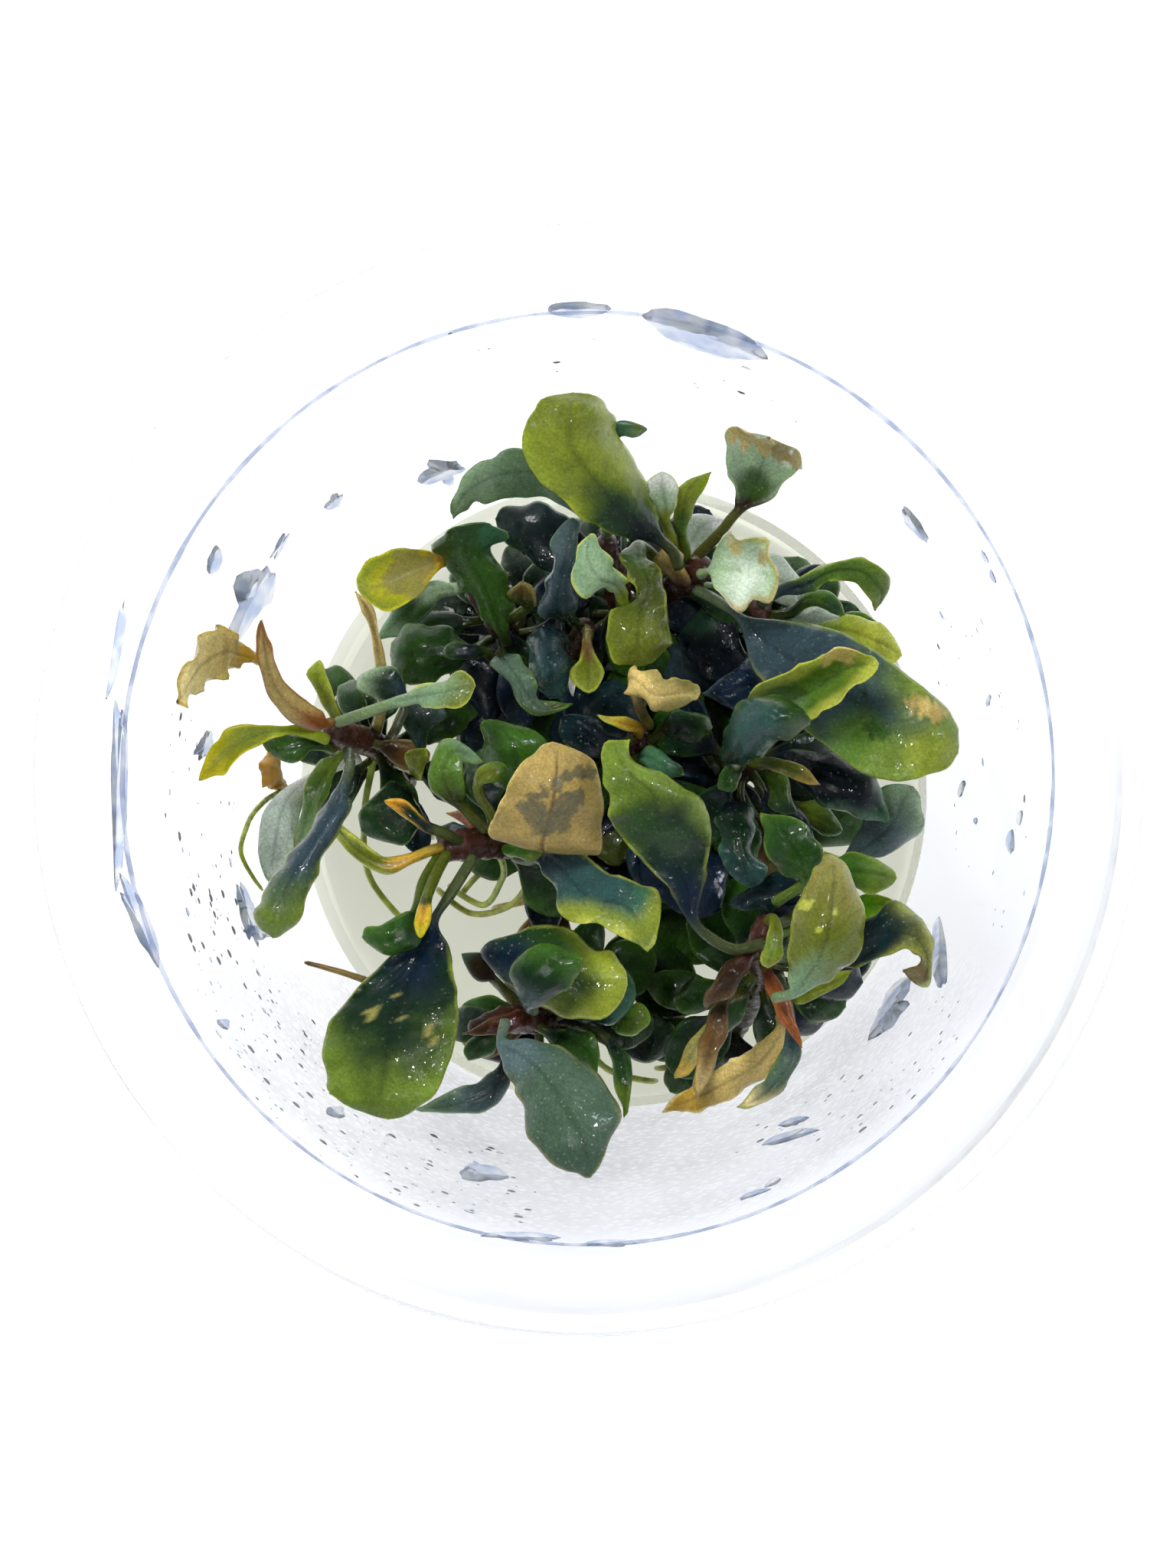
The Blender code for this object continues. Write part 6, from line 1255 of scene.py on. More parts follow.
def gelMaterial():
    # stiff agar: see-through, faintly cloudy and olive, with a wet film on top
    material, tree, shader = newMaterial("agarGel")
    place = addNode(tree, "ShaderNodeTexCoord")
    cloud = addNode(tree, "ShaderNodeTexNoise", {"Vector": place.outputs["Object"], "Scale": 70.0,
                                                 "Detail": 3.0})
    colour = addNode(tree, "ShaderNodeMix", {0: cloud.outputs["Fac"], 6: paint("f4f5ea"),
                                             7: paint("e4e6d2")}, data_type="RGBA").outputs[2]
    tree.links.new(colour, shader.inputs["Base Color"])
    film = addNode(tree, "ShaderNodeTexNoise", {"Vector": place.outputs["Object"], "Scale": 220.0,
                                                "Detail": 2.0})
    facing = addNode(tree, "ShaderNodeNewGeometry")
    parts = addNode(tree, "ShaderNodeSeparateXYZ", {"Vector": facing.outputs["Normal"]})
    onTop = addNode(tree, "ShaderNodeMapRange", (parts.outputs["Z"], 0.90, 0.99, 0.0, 0.5)).outputs[0]
    bump = addNode(tree, "ShaderNodeBump", {"Height": film.outputs["Fac"], "Strength": onTop,
                                            "Distance": 0.0006})
    tree.links.new(bump.outputs["Normal"], shader.inputs["Normal"])
    setSockets(shader, {"Roughness": 0.02})
    setSockets(shader, {"Transmission Weight": 0.94, "IOR": 1.035, "Coat Weight": 0.25, "Coat IOR": 1.33})
    absorb = addNode(tree, "ShaderNodeVolumeAbsorption", {"Color": paint("cdd2a8"), "Density": 20.0})
    tree.links.new(absorb.outputs[0], tree.nodes["Material Output"].inputs["Volume"])
    return material


def addGel():
    g = gel
    bottom = jar["floor"] + g["gap"]
    rim = wallRadius(g["top"]) - g["gap"]
    flatRings = int((rim - 3.0) / g["ringStep"])
    profile = [((rim - 3.0) * k / flatRings, g["top"]) for k in range(flatRings + 1)]
    profile += [(rim - 2.4, g["top"] + 0.06 * g["rise"]), (rim - 1.3, g["top"] + 0.25 * g["rise"]),
                (rim - 0.5, g["top"] + 0.6 * g["rise"]), (rim, g["top"] + g["rise"]),
                (wallRadius(3.4) - g["gap"], 3.4), (jar["floorRadius"] - 2.0, bottom), (0.0, bottom)]
    piece = turnProfile("Gel", profile, g["steps"])
    for vertex in piece.data.vertices:
        x, y, z = vertex.co / toMetres
        if abs(z - g["top"]) < 0.01:
            vertex.co.z += noise.noise(Vector((x, y, 3.0)) / g["rippleSize"]) * g["ripple"] * toMetres
    piece.data.materials.append(gelMaterial())
    standFor(piece, "gel")


def waterMaterial(name, light, deep):
    # clean water: clear, blue-grey where a bead bends the light
    material, tree, shader = newMaterial(name)
    place = addNode(tree, "ShaderNodeTexCoord")
    swell = addNode(tree, "ShaderNodeTexNoise", {"Vector": place.outputs["Object"], "Scale": 420.0,
                                                 "Detail": 1.0})
    bump = addNode(tree, "ShaderNodeBump", {"Height": swell.outputs["Fac"], "Strength": 0.6,
                                            "Distance": 0.0008})
    tree.links.new(bump.outputs["Normal"], shader.inputs["Normal"])
    streak = addNode(tree, "ShaderNodeMapRange", (swell.outputs["Fac"], 0.42, 0.58, 0.0, 1.0)).outputs[0]
    tree.links.new(addNode(tree, "ShaderNodeMix", {0: streak, 6: paint(light), 7: paint(deep)},
                           data_type="RGBA").outputs[2], shader.inputs["Base Color"])
    setSockets(shader, {"Transmission Weight": 0.80, "IOR": 1.07, "Roughness": 0.03})
    absorb = addNode(tree, "ShaderNodeVolumeAbsorption", {"Color": paint("b8c6dc"), "Density": 60.0})
    tree.links.new(absorb.outputs[0], tree.nodes["Material Output"].inputs["Volume"])
    return material


def speckMaterial():
    # dried spots and grit: dull grey to olive, lighter where thin
    material, tree, shader = newMaterial("driedSpots")
    place = addNode(tree, "ShaderNodeTexCoord")
    patch = addNode(tree, "ShaderNodeTexNoise", {"Vector": place.outputs["Object"], "Scale": 160.0,
                                                 "Detail": 2.0})
    tree.links.new(addNode(tree, "ShaderNodeMix", {0: patch.outputs["Fac"], 6: paint("a2a5a8"),
                                                   7: paint("7b7e84")}, data_type="RGBA").outputs[2],
                   shader.inputs["Base Color"])
    setSockets(shader, {"Roughness": 0.25, "Transmission Weight": 0.35, "IOR": 1.33})
    return material


# Water on the wall as the photograph shows it: (middle pixel x and y, half length and half width in
# pixels, how far it turns clockwise in degrees, thickness in mm, how uneven its outline is)
wallWater = [
    (922, 437, 90, 19, 19, 1.1, 0.10), (755, 403, 42, 9, -2, 0.7, 0.10), (152, 838, 66, 4, 99, 0.6, 0.25),
    (153, 1018, 112, 8, 90, 0.9, 0.25), (179, 1198, 60, 9, 66, 0.9, 0.25), (628, 1533, 30, 9, 5, 0.8, 0.2),
    (1034, 1484, 38, 5, -16, 0.5, 0.2), (1037, 1466, 18, 5, -15, 0.4, 0.3), (1193, 683, 27, 7, 52, 0.5,
                                                                             0.2),
    (1321, 1100, 16, 4, -88, 0.5, 0.1), (1333, 1068, 10, 2.5, -80, 0.4, 0.1), (1257, 1030, 11, 3, -75, 0.4,
                                                                               0.2),
    (1275, 1072, 5, 2, -85, 0.3, 0.1), (1292, 915, 8, 2, -80, 0.3, 0.2), (1287, 727, 10, 2, 62, 0.3, 0.2),
    (1297, 752, 10, 2, 66, 0.3, 0.2), (437, 655, 14, 7, -45, 0.4, 0.35), (279, 732, 18, 8, -75, 0.7, 0.1),
    (331, 778, 46, 22, -66, 0.5, 0.45), (366, 712, 20, 5, -60, 0.3, 0.5), (582, 616, 30, 16, -12, 0.5,
                                                                           0.45),
    (1228, 1245, 50, 8, 88, 0.8, 0.2), (1166, 1318, 42, 15, -52, 0.7, 0.4), (322, 1190, 42, 9, 75, 0.7,
                                                                             0.3),
    (337, 1218, 20, 8, 8, 0.6, 0.3), (267, 974, 20, 9, -70, 0.5, 0.3), (292, 1338, 8, 6, 20, 0.4, 0.3),
    (438, 1453, 12, 7, 15, 0.4, 0.3), (690, 1616, 50, 4, 3, 0.4, 0.3), (795, 1625, 32, 3, 0, 0.4, 0.3),
    (1010, 1545, 12, 3, -25, 0.4, 0.2), (985, 1560, 20, 3, -20, 0.3, 0.3),
]
beadForm = {"sides": 28, "rings": 5, "power": 0.6}

# Small round drops and spots: (corner pixels of the patch of wall that they lie on, how many, seed)
speckPatches = [
    ([(215, 1060), (330, 1230), (420, 1340), (480, 1460), (700, 1510), (700, 1600), (545, 1580),
      (420, 1515),
      (330, 1430), (262, 1320)], 260, 3),
    ([(225, 900), (300, 1010), (330, 1200), (270, 1200), (215, 1080)], 46, 5),
    ([(960, 1480), (1140, 1380), (1230, 1300), (1290, 1310), (1180, 1450), (1020, 1550), (960, 1560)], 60,
     8),
    ([(1215, 760), (1290, 800), (1350, 1000), (1340, 1200), (1260, 1250), (1230, 1050)], 34, 13),
    ([(560, 420), (700, 420), (1000, 480), (1150, 600), (1100, 620), (960, 520), (600, 480)], 16, 21),
]
speckForm = {"smallest": 0.07, "largest": 0.30, "long": 1.8, "flat": 0.45}


def insidePatch(px, py, corners):
    inside = False
    for (x0, y0), (x1, y1) in zip(corners, corners[1:] + corners[:1]):
        if (y0 > py) != (y1 > py) and px < x0 + (x1 - x0) * (py - y0) / (y1 - y0):
            inside = not inside
    return inside


def wallInward(place):
    # the direction out of the wall's inside face
    slope = (jar["ledgeRadius"] - jar["floorRadius"]) / (jar["ledge"] - jar["floor"])
    outward = unit(np.array([place[0], place[1], 0.0]))
    return unit(np.array([0.0, 0.0, slope]) - outward)


def domeMesh(name, discs, sides, rings, power):
    # shallow closed domes in one mesh; each disc gives its places by ring share and angle
    points, faces = [], []
    for placeAt, thickness in discs:
        start = len(points)
        centre = placeAt(0.0, 0.0)
        inward = wallInward(centre)
        points.append(centre + inward * thickness)
        for ring in range(1, rings + 1):
            share = ring / rings
            rise = thickness * (1 - share ** 2) ** power
            for k in range(sides):
                points.append(placeAt(share, 2 * math.pi * k / sides) + inward * rise)
        points.append(centre - inward * 0.04)
        last = len(points) - 1
        for k in range(sides):
            after = (k + 1) % sides
            faces.append((start, start + 1 + k, start + 1 + after))
            for ring in range(rings - 1):
                low = start + 1 + ring * sides
                faces.append((low + k, low + sides + k, low + sides + after, low + after))
            edge = start + 1 + (rings - 1) * sides
            faces.append((last, edge + after, edge + k))
    return meshFrom(name, points, faces, np.zeros((len(points), 2)), np.ones((len(points), 3)))


def faceOutwards(piece):
    selectOnly([piece])
    bpy.ops.object.mode_set(mode="EDIT")
    bpy.ops.mesh.select_all(action="SELECT")
    bpy.ops.mesh.normals_make_consistent(inside=False)
    bpy.ops.object.mode_set(mode="OBJECT")


def beadDisc(bead):
    px, py, halfLong, halfWide, turn, thickness, uneven = bead
    turn = math.radians(turn)

    def placeAt(share, angle):
        lump = noise.noise(Vector((math.cos(angle) * 1.7, math.sin(angle) * 1.7, px * 0.37)))
        reach = share * (1 + uneven * 2 * lump)
        x, y = math.cos(angle) * reach * halfLong, math.sin(angle) * reach * halfWide
        return wallSpot(px + x * math.cos(turn) - y * math.sin(turn),
                        py + x * math.sin(turn) + y * math.cos(turn), 0.05)
    return placeAt, thickness


def speckDisc(px, py, radius):
    centre = wallSpot(px, py, 0.04)
    inward = wallInward(centre)
    along = unit(np.cross(inward, (0.0, 0.0, 1.0)))
    up = np.cross(along, inward)

    def placeAt(share, angle):
        return centre + share * radius * (speckForm["long"] * math.cos(angle) * along + math.sin(angle) * up)
    return placeAt, radius * speckForm["flat"]


def addWater():
    water, spots = waterMaterial("clearWater", "f6f8fd", "cad6ee"), speckMaterial()
    mesh = domeMesh("WallWater", [beadDisc(bead) for bead in wallWater], beadForm["sides"],
                    beadForm["rings"],
                    beadForm["power"])
    beads = addPiece("WallWater", mesh, [water])
    faceOutwards(beads)
    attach(beads, "root")
    drops, dirt = [], []
    for corners, count, seed in speckPatches:
        chance = np.random.RandomState(seed)
        xs, ys = [c[0] for c in corners], [c[1] for c in corners]
        while count:
            px, py = chance.uniform(min(xs), max(xs)), chance.uniform(min(ys), max(ys))
            size = speckForm["smallest"] + (speckForm["largest"] - speckForm["smallest"]) * chance.rand() ** 3
            if insidePatch(px, py, corners):
                (drops if chance.rand() < 0.4 else dirt).append(speckDisc(px, py, size))
                count -= 1
    for name, discs, material in (("WallDrops", drops, water), ("WallSpots", dirt, spots)):
        piece = addPiece(name, domeMesh(name, discs, 9, 3, 0.5), [material])
        faceOutwards(piece)
        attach(piece, "root")
    addRimFilm(waterMaterial("rimWater", "dfe4f0", "b6c0d6"))
    addMistAndShade()
    addLooseStrands()


# Thin strands that lie loose in the jar: (pixel x, y, height or None for a place on the wall), radius, colours
looseStrands = {
    "WallStem": ([(372, 1032), (345, 1047), (322, 1080), (315, 1115), (330, 1145), (343, 1163)], 0.34,
                 "8c9c2a a3b032 94a22c"),
    "TanStrand": ([(480, 1281, 20.0), (440, 1268, 22.0), (398, 1257, 24.0)], 0.42, "7a6a34 9a8040 7c5a2c"),
}
# decayed bits stuck to the wall: the same numbers as for the wall's water, and the two colours
wallBits = [((350, 1003, 30, 12, 88, 1.4, 0.35), "b98a34", "d3ac55"),
            ((358, 1024, 14, 9, 40, 1.2, 0.4), "c79c45", "b07f30")]


def addLooseStrands():
    for name, (line, radius, colours) in looseStrands.items():
        places = [spot(*p) if len(p) == 3 else wallSpot(*p, radius + 0.1) for p in line]
        radii = [radius * (1 - 0.45 * k / (len(places) - 1)) for k in range(len(places))]
        piece = addPiece(name, tubeMesh(name, places, radii, colours, sides=10, rough=0.1), [rootSkin])
        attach(piece, "root")
    for number, (bead, dark, light) in enumerate(wallBits):
        mesh = domeMesh(f"WallBit{number}", [beadDisc(bead)], 28, 6, 0.6)
        material, tree, shader = newMaterial(f"softBit{number}")
        place = addNode(tree, "ShaderNodeTexCoord")
        pulp = addNode(tree, "ShaderNodeTexNoise", {"Vector": place.outputs["Object"], "Scale": 900.0,
                                                    "Detail": 4.0})
        tree.links.new(addNode(tree, "ShaderNodeMix", {0: pulp.outputs["Fac"], 6: paint(dark),
                                                       7: paint(light)}, data_type="RGBA").outputs[2], shader.inputs["Base Color"])
        bump = addNode(tree, "ShaderNodeBump", {"Height": pulp.outputs["Fac"], "Strength": 0.6,
                                                "Distance": 0.0004})
        tree.links.new(bump.outputs["Normal"], shader.inputs["Normal"])
        setSockets(shader, {"Roughness": 0.3, "Subsurface Weight": 0.5,
                            "Subsurface Radius": (1.0, 0.6, 0.2),
                            "Subsurface Scale": 0.002})
        piece = addPiece(mesh.name, mesh, [material])
        faceOutwards(piece)
        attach(piece, "root")


# Condensation on the wall nearest the camera, tinted grey as painted shade for the grey that wall shows at a
# slant: from and to (degrees), from and to height, cover
mistAndShade = {"from": 188.0, "to": 346.0, "low": 4.0, "high": 59.0, "columns": 96, "rows": 24, "gap": 0.06,
        "thickness": 0.03, "cover": 0.13}


def mistAndShadeMaterial():
    # fine mist: dull white greyed as painted shade, thicker in clouds, with clear speckles where drops have run
    # together
    material, tree, shader = newMaterial("wallMistAndShade")
    place = addNode(tree, "ShaderNodeTexCoord")
    tint = addNode(tree, "ShaderNodeAttribute", attribute_name="tint")
    cloud = addNode(tree, "ShaderNodeTexNoise", {"Vector": place.outputs["Object"], "Scale": 90.0,
                                                 "Detail": 3.0})
    drops = addNode(tree, "ShaderNodeTexVoronoi", {"Vector": place.outputs["Object"], "Scale": 1100.0})
    tree.links.new(addNode(tree, "ShaderNodeMix", {0: cloud.outputs["Fac"], 6: paint("a3a7ac"),
                                                   7: paint("b6b9bd")}, data_type="RGBA").outputs[2],
                   shader.inputs["Base Color"])
    cover = addNode(tree, "ShaderNodeMapRange", (cloud.outputs["Fac"], 0.3, 0.7, 0.7 * mistAndShade["cover"],
                                                 1.3 * mistAndShade["cover"])).outputs[0]
    speckle = addNode(tree, "ShaderNodeMapRange", (drops.outputs["Distance"], 0.2, 0.6, 0.6,
                                                   1.2)).outputs[0]
    cover = addNode(tree, "ShaderNodeMath", {0: cover, 1: speckle}, operation="MULTIPLY")
    cover = addNode(tree, "ShaderNodeMath", {0: cover.outputs[0], 1: tint.outputs["Fac"]},
                    operation="MULTIPLY")
    tree.links.new(cover.outputs[0], shader.inputs["Alpha"])
    setSockets(shader, {"Roughness": 0.5})
    return material


def addMistAndShade():
    m = mistAndShade
    rows, columns = m["rows"] + 1, m["columns"] + 1
    points, tints = [], []
    for layer in (0.0, m["thickness"]):
        for i in range(rows):
            height = m["low"] + (m["high"] - m["low"]) * i / (rows - 1)
            for k in range(columns):
                share = k / (columns - 1)
                angle = math.radians(m["from"] + (m["to"] - m["from"]) * share)
                radius = wallRadius(height) - m["gap"] - layer
                points.append((radius * math.cos(angle), radius * math.sin(angle), height))
                fade = min(1.0, 4.0 * min(share, 1 - share)) * min(1.0, 8 * (1 - i / (rows - 1)),
                                                                   6 * i / (rows - 1))
                tints.append((fade, fade, fade))
    faces = []
    back = rows * columns
    for i in range(rows - 1):
        for k in range(columns - 1):
            a = i * columns + k
            faces.append((a, a + 1, a + 1 + columns, a + columns))
            faces.append((back + a, back + a + columns, back + a + 1 + columns, back + a + 1))
    border = ([k for k in range(columns)] + [i * columns + columns - 1 for i in range(1, rows)]
              + [(rows - 1) * columns + k for k in range(columns - 2, -1, -1)]
              + [i * columns for i in range(rows - 2, 0, -1)])
    for a, b in zip(border, border[1:] + border[:1]):
        faces.append((b, a, back + a, back + b))
    mesh = meshFrom("WallMistAndShade", points, faces, np.zeros((len(points), 2)), np.array(tints))
    piece = addPiece("WallMistAndShade", mesh, [mistAndShadeMaterial()])
    faceOutwards(piece)
    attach(piece, "root")


# The line of water that stands in the corner between the wall and the ledge
rimFilm = {"radius": 42.3, "height": 59.72, "thin": 0.16, "thick": 0.34, "steps": 420, "sides": 10}


def addRimFilm(water):
    f = rimFilm
    line, radii = [], []
    for k in range(f["steps"]):
        angle = 2 * math.pi * k / f["steps"]
        lump = noise.fractal(Vector((math.cos(angle) * 7, math.sin(angle) * 7, 2.5)), 0.6, 2.0, 3)
        left = max(0.0, -math.cos(angle + 0.15)) ** 3  # the line is heaviest on the left
        radii.append(f["thin"] + (f["thick"] - f["thin"]) * min(1.0,
                                                                max(0.0, 0.25 + lump * 0.6) + 0.35 * left))
        line.append((angle, f["radius"] - 0.25 * radii[-1]))
    points, faces = [], []
    steps, sides = f["steps"], f["sides"]
    for (angle, radius), thick in zip(line, radii):
        for k in range(sides):
            turn = 2 * math.pi * k / sides
            r = radius + thick * math.cos(turn) * 0.8
            points.append((r * math.cos(angle), r * math.sin(angle), f["height"] + thick * math.sin(turn)))
    for i in range(steps):
        after = (i + 1) % steps
        for k in range(sides):
            nextK = (k + 1) % sides
            faces.append((i * sides + k, after * sides + k, after * sides + nextK, i * sides + nextK))
    mesh = meshFrom("RimFilm", points, faces, np.zeros((len(points), 2)), np.ones((len(points), 3)))
    piece = addPiece("RimFilm", mesh, [water])
    faceOutwards(piece)
    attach(piece, "root")


# Small dark leaves under the others, whose dark tints are also painted shade for the dark inside the clump,
# by rhizome: how many, how far they reach in mm, and the heights of the lowest and the highest tip
understorey = {
    "rhizome_left": (15, 11.0, 11.0, 22.0), "rhizome_left_centre": (20, 13.0, 9.0, 21.0),
    "rhizome_lower_left": (19, 12.0, 9.0, 22.0), "rhizome_top": (15, 13.0, 9.0, 20.0),
    "rhizome_lower_right": (22, 14.0, 9.0, 22.0), "rhizome_right": (22, 14.5, 9.0, 22.0),
    "rhizome_upper_left": (19, 13.5, 9.0, 20.0), "rhizome_back": (16, 13.0, 9.0, 20.0),
    "rhizome_centre": (16, 13.0, 9.0, 19.0), "rhizome_middle": (21, 15.0, 9.0, 20.0),
    "rhizome_upper_right": (17, 13.0, 9.0, 20.0),
}
understoreyForm = {
    "turn": 137.5,  # degrees from one leaf to the next
    "swing": 25.0,  # degrees, how far a leaf strays from that
    "neck": 0.30, "rows": ((0.52, 0.80), (0.74, 1.0)),  # shares of the length, and of the width there
    "arch": 1.3, "slim": 0.34, "broad": 0.50,
    "shade": 52.0,  # pixels from the leaves above, past which a leaf would stand in the open
    "wallGap": 2.5, "columns": 10,
}
# the low leaves' tints: their own colour, and for the dark kinds painted shade as well
understoreyLeafAndShadeTints = {
    "moss": "pine forest moss fern", "dark": "ink pine forest moss", "navy": "ink navy night slate",
    "brown": "umber bark khaki tan",
}
# Where the photograph looks past the leaves to bare gel and roots: corner pixels
openGel = [(480, 1135), (545, 1120), (700, 1125), (690, 1200), (640, 1250), (520, 1245)]


def canopyPixels():
    # where the leaves above are, as the photograph sees them
    young = [leaf for leaves in youngLeaves.values() for leaf in leaves.values()]
    places = []
    for leaf in list(grownLeaves.values()) + young:
        middle = leafStations(leaf)[1]
        knots = arcLengths(middle)
        places.append(smoothCurve(middle, knots, np.linspace(0.0, knots[-1], 9)))
    return np.stack(pixelsOf(np.concatenate(places)), axis=1)


def understoreyLeaf(foot, tip, width, kind, lean):
    # a small arched leaf from its foot to its tip, written as the other leaves are
    form = understoreyForm
    way = tip - foot
    across = unit(np.array([-way[1], way[0], 0.0]))
    rise = np.array([0.0, 0.0, form["arch"]])
    rows = []
    for share, fullness in form["rows"]:
        middle = foot + way * share + rise
        half = across * width * fullness / 2
        (lx, rx), (ly, ry) = pixelsOf([middle + half, middle - half])
        rows.append((lx, ly, rx, ry, middle[2], lean, 0.5 * lean))
    (footX, neckX, tipX), (footY, neckY, tipY) = pixelsOf([foot, foot + way * form["neck"] + rise, tip])
    neckHeight = foot[2] + way[2] * form["neck"] + form["arch"]
    return {"stalk": [(footX, footY, foot[2]), (neckX, neckY, neckHeight)], "rows": rows, "kind": kind,
            "tip": (tipX, tipY, tip[2]), "blunt": 1.0, "tints": understoreyLeafAndShadeTints[kind], "wave": 0.25}


def understoreyLeaves(node, canopy):
    # leaves stand a golden angle apart up the rhizome, the low ones reaching furthest, and stay in shade
    form = understoreyForm
    count, reach, low, high = understorey[node]
    chance = np.random.RandomState(sum(map(ord, node)))
    stem = [spot(*point[:3]) for point in rhizomes[node]]
    knots = arcLengths(stem)
    leaves = []
    for number in range(count):
        share = (number + 0.5) / count
        foot = smoothCurve(stem, knots, [knots[-1] * (0.05 + 0.7 * share)])[0]
        angle = math.radians(form["turn"] * number + chance.uniform(-1, 1) * form["swing"])
        length = reach * (1.1 - 0.4 * share) * chance.uniform(0.85, 1.15)
        slender = chance.uniform(form["slim"], form["broad"])
        kind = chance.choice(["moss", "dark", "navy", "brown"], p=[0.38, 0.32, 0.24, 0.06])
        lean = chance.uniform(-1.4, 1.4)
        tipHeight = low + (high - low) * share
        for shorter in (1.0, 0.8, 0.6):
            tip = foot + length * shorter * np.array([math.cos(angle), math.sin(angle), 0.0])
            tip[2] = tipHeight
            tip[:2] *= min(1.0, (wallRadius(tipHeight) - form["wallGap"]) / math.hypot(tip[0], tip[1]))
            seen = np.stack(pixelsOf([tip, foot * 0.4 + tip * 0.6]), axis=1)
            shaded = all(np.hypot(*(canopy - pixel).T).min() < form["shade"] for pixel in seen)
            if shaded and not any(insidePatch(*pixel, openGel) for pixel in seen):
                leaves.append(understoreyLeaf(foot, tip, length * shorter * slender, kind, lean))
                break
    return leaves


def addLeaves():
    for node, leaf in grownLeaves.items():
        mesh = leafMesh(pieceName(node), leaf, leafForm["columns"])
        piece = addPiece(pieceName(node), mesh, [leafSkins[leaf.get("kind", "green")]])
        standFor(piece, node)


def addRhizomes():
    canopy = canopyPixels()
    for node, line in rhizomes.items():
        places = [spot(*point[:3]) for point in line]
        radii = [point[3] for point in line]
        footPlace = places[0] - np.array([0.0, 0.0, 2.2])  # its foot stands in the gel
        mesh = tubeMesh(node + "Stem", [footPlace] + places, [radii[0] * 0.9] + radii,
                        "3a3a1c 2c2214 2a1610 34160f 3c1e14", sides=20, knob=0.14, rough=0.06)
        parts = [addPiece(node + "Stem", mesh, [stemSkin])]
        for name, leaf in youngLeaves[node].items():
            mesh = leafMesh(node + name, leaf, leafForm["youngColumns"])
            parts.append(addPiece(node + name, mesh, [leafSkins[leaf.get("kind", "green")]]))
        for number, leaf in enumerate(understoreyLeaves(node, canopy)):
            mesh = leafMesh(f"{node}Under{number}", leaf, understoreyForm["columns"])
            parts.append(addPiece(mesh.name, mesh, [leafSkins["shade"]]))
        for number, root in enumerate(roots.get(node, [])):
            places = [spot(*point) for point in root]
            places.append(places[-1] + (places[-1] - places[-2]) * 0.15 - np.array([0.0, 0.0, 2.0]))
            colours = rootColours[number % len(rootColours)]
            radii = [0.42] + [0.36] * (len(places) - 2) + [0.28]
            mesh = tubeMesh(f"{node}Root{number}", places, radii, colours, sides=10, rough=0.08)
            parts.append(addPiece(f"{node}Root{number}", mesh, [rootSkin]))
        standFor(joinPieces(pieceName(node), parts), node)


rootColours = ["98a63c a9b442 c0bf68", "8aa034 9cae3c b4b850", "b0983e c4a444 ccb468"]


def addCamera():
    data = bpy.data.cameras.new("viewCamera")
    data.lens = view["focal"] / view["tall"] * view["sensor"]
    data.sensor_fit = "VERTICAL"
    data.sensor_height = view["sensor"]
    data.clip_start = 0.01
    camera = bpy.data.objects.new("viewCamera", data)
    bpy.context.scene.collection.objects.link(camera)
    turn = Matrix((rightward, upward, -ahead)).transposed()
    camera.matrix_world = Matrix.Translation(Vector(view["eye"]) * toMetres) @ turn.to_4x4()
    bpy.context.scene.camera = camera


# Soft lamps: (name, size and distance in metres, direction from the jar, watts, colour, seen in gloss)
lamps = [
    ("bigSoftbox", 0.22, 0.75, (-0.42, 0.60, 1.0), 4.0, "fffdf8", False),
    ("sideStrip", 0.10, 0.60, (0.95, 0.30, 0.8), 1.0, "f4f8ff", True),
    ("smallTop", 0.026, 0.50, (-0.25, -0.35, 1.0), 0.36, "ffffff", True),
    ("smallRight", 0.026, 0.50, (0.55, 0.10, 1.0), 0.36, "ffffff", True),
    ("smallBack", 0.026, 0.50, (0.10, 0.55, 1.0), 0.36, "ffffff", True),
]

# The room: white round the horizon, a dimmer ceiling, and a duller side towards the upper right
room = {"colour": "f1f5ff", "ceiling": 0.15, "horizonTop": 0.12, "ceilingStart": 0.62, "dullSide": 0.50}


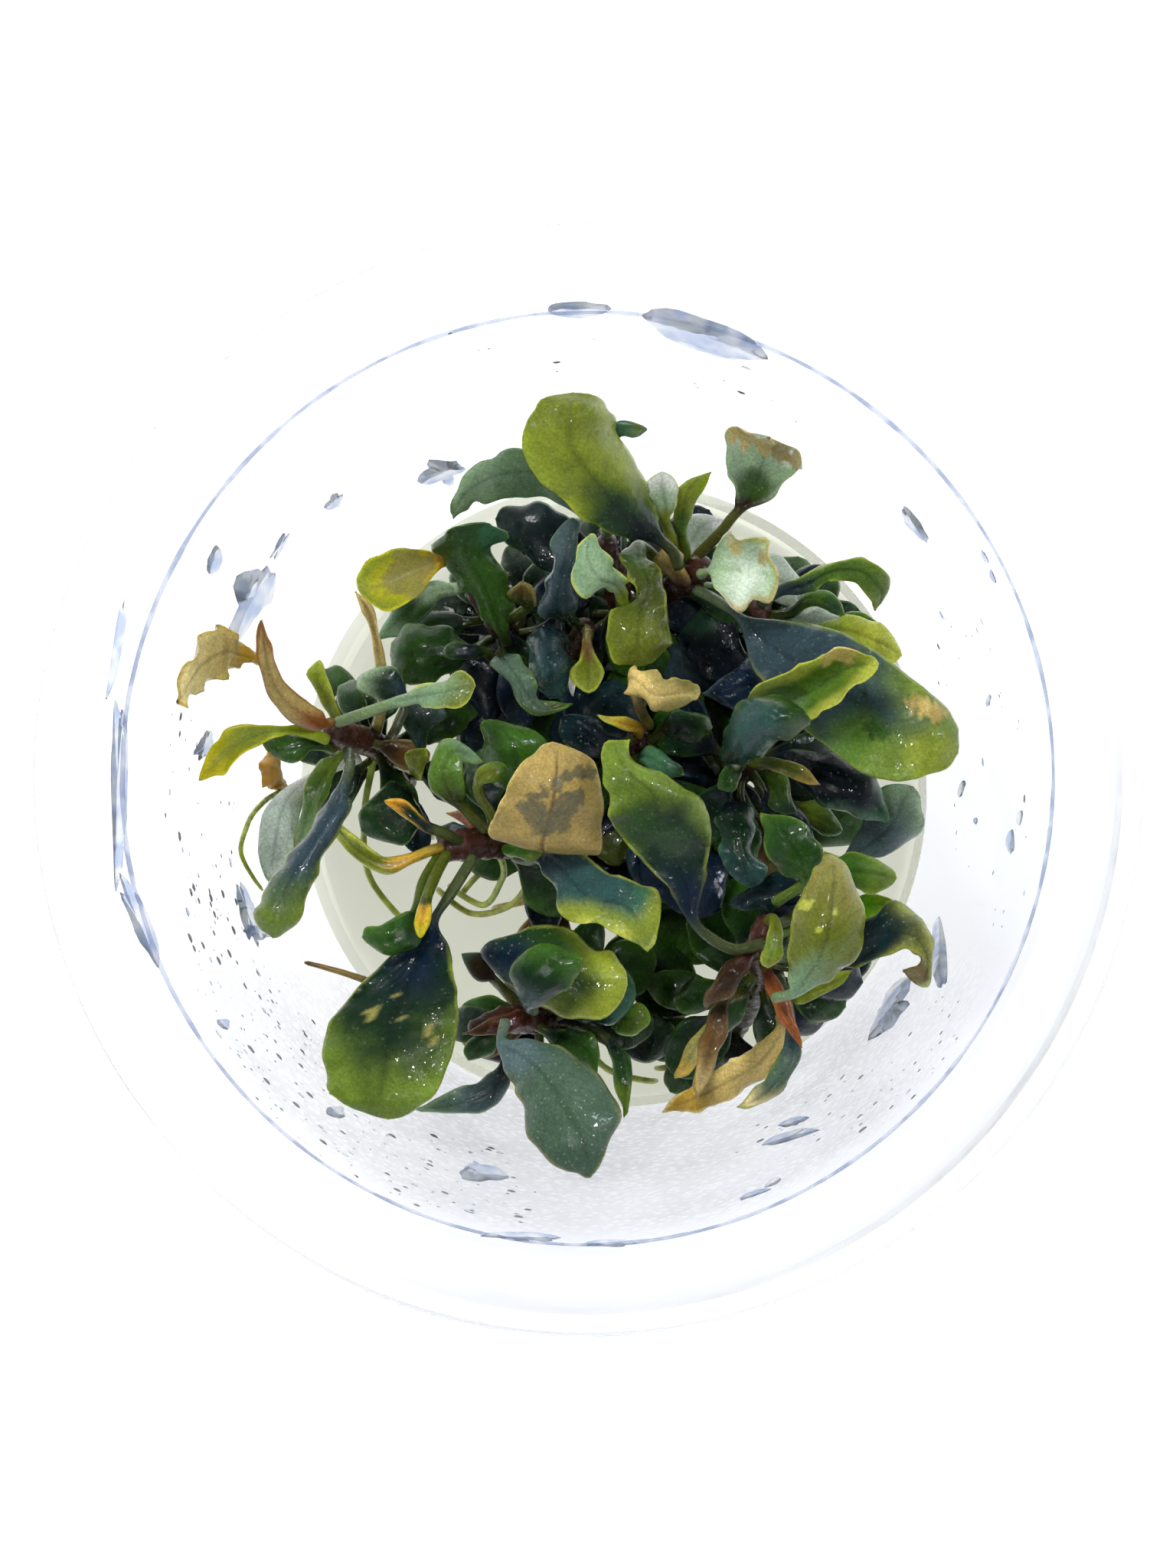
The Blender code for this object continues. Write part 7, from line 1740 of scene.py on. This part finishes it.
def addWorld():
    world = bpy.data.worlds.new("whiteRoom")
    world.use_nodes = True
    tree = world.node_tree
    background = tree.nodes["Background"]
    way = addNode(tree, "ShaderNodeTexCoord")
    parts = addNode(tree, "ShaderNodeSeparateXYZ", {"Vector": way.outputs["Generated"]})
    height = addNode(tree, "ShaderNodeMapRange", (parts.outputs["Z"], room["horizonTop"],
                                                  room["ceilingStart"], 1.0, room["ceiling"])).outputs[0]
    aside = addNode(tree, "ShaderNodeVectorMath", {0: way.outputs["Generated"], 1: (0.64, 0.77, 0.0)},
                    operation="DOT_PRODUCT")
    dull = addNode(tree, "ShaderNodeMapRange", (aside.outputs["Value"], 0.2, 0.9, 1.0,
                                                room["dullSide"])).outputs[0]
    strength = addNode(tree, "ShaderNodeMath", {0: height, 1: dull}, operation="MULTIPLY")
    background.inputs["Color"].default_value = paint(room["colour"])
    tree.links.new(strength.outputs[0], background.inputs["Strength"])
    bpy.context.scene.world = world


def addLights():
    addWorld()
    for name, size, distance, direction, watts, colour, inGloss in lamps:
        light = bpy.data.lights.new(name, "AREA")
        light.shape = "DISK"
        light.size = size
        light.energy = watts
        light.color = paint(colour)[:3]
        lamp = bpy.data.objects.new(name, light)
        bpy.context.scene.collection.objects.link(lamp)
        lamp.visible_glossy = inGloss
        towards = Vector(direction).normalized()
        lamp.location = towards * distance
        lamp.rotation_euler = towards.to_track_quat("Z", "Y").to_euler()


def addFloor():
    bpy.ops.object.select_all(action="DESELECT")
    bpy.ops.mesh.primitive_plane_add(size=3.0, location=(0, 0, -0.0001))
    floor = bpy.context.object
    floor.name = "paleFloor"
    material, tree, shader = newMaterial("litPaper")
    place = addNode(tree, "ShaderNodeTexCoord")
    grain = addNode(tree, "ShaderNodeTexNoise", {"Vector": place.outputs["Object"], "Scale": 40.0})
    tree.links.new(addNode(tree, "ShaderNodeMix", {0: grain.outputs["Fac"], 6: paint("b4b4b4"),
                                                   7: paint("b9b9b9")}, data_type="RGBA").outputs[2],
                   shader.inputs["Base Color"])
    setSockets(shader, {"Roughness": 0.9, "Emission Color": (1.0, 1.0, 1.0, 1.0),
                        "Emission Strength": 0.80})
    floor.data.materials.append(material)


addCamera()
addFloor()
addLights()
bpy.context.scene.view_settings.view_transform = "Standard"
print("camera, floor and lights are in place")
addJar()
addGel()
print("jar and gel are in place")
leafSkins = {kind: leafMaterial(kind, finish) for kind, finish in leafFinishes.items()}
stemSkin = stemMaterial()
rootSkin = rootMaterial()
addLeaves()
print("grown leaves are in place")
addRhizomes()
print("rhizomes with young leaves and roots are in place")
addWater()
print("water and spots on the wall are in place")
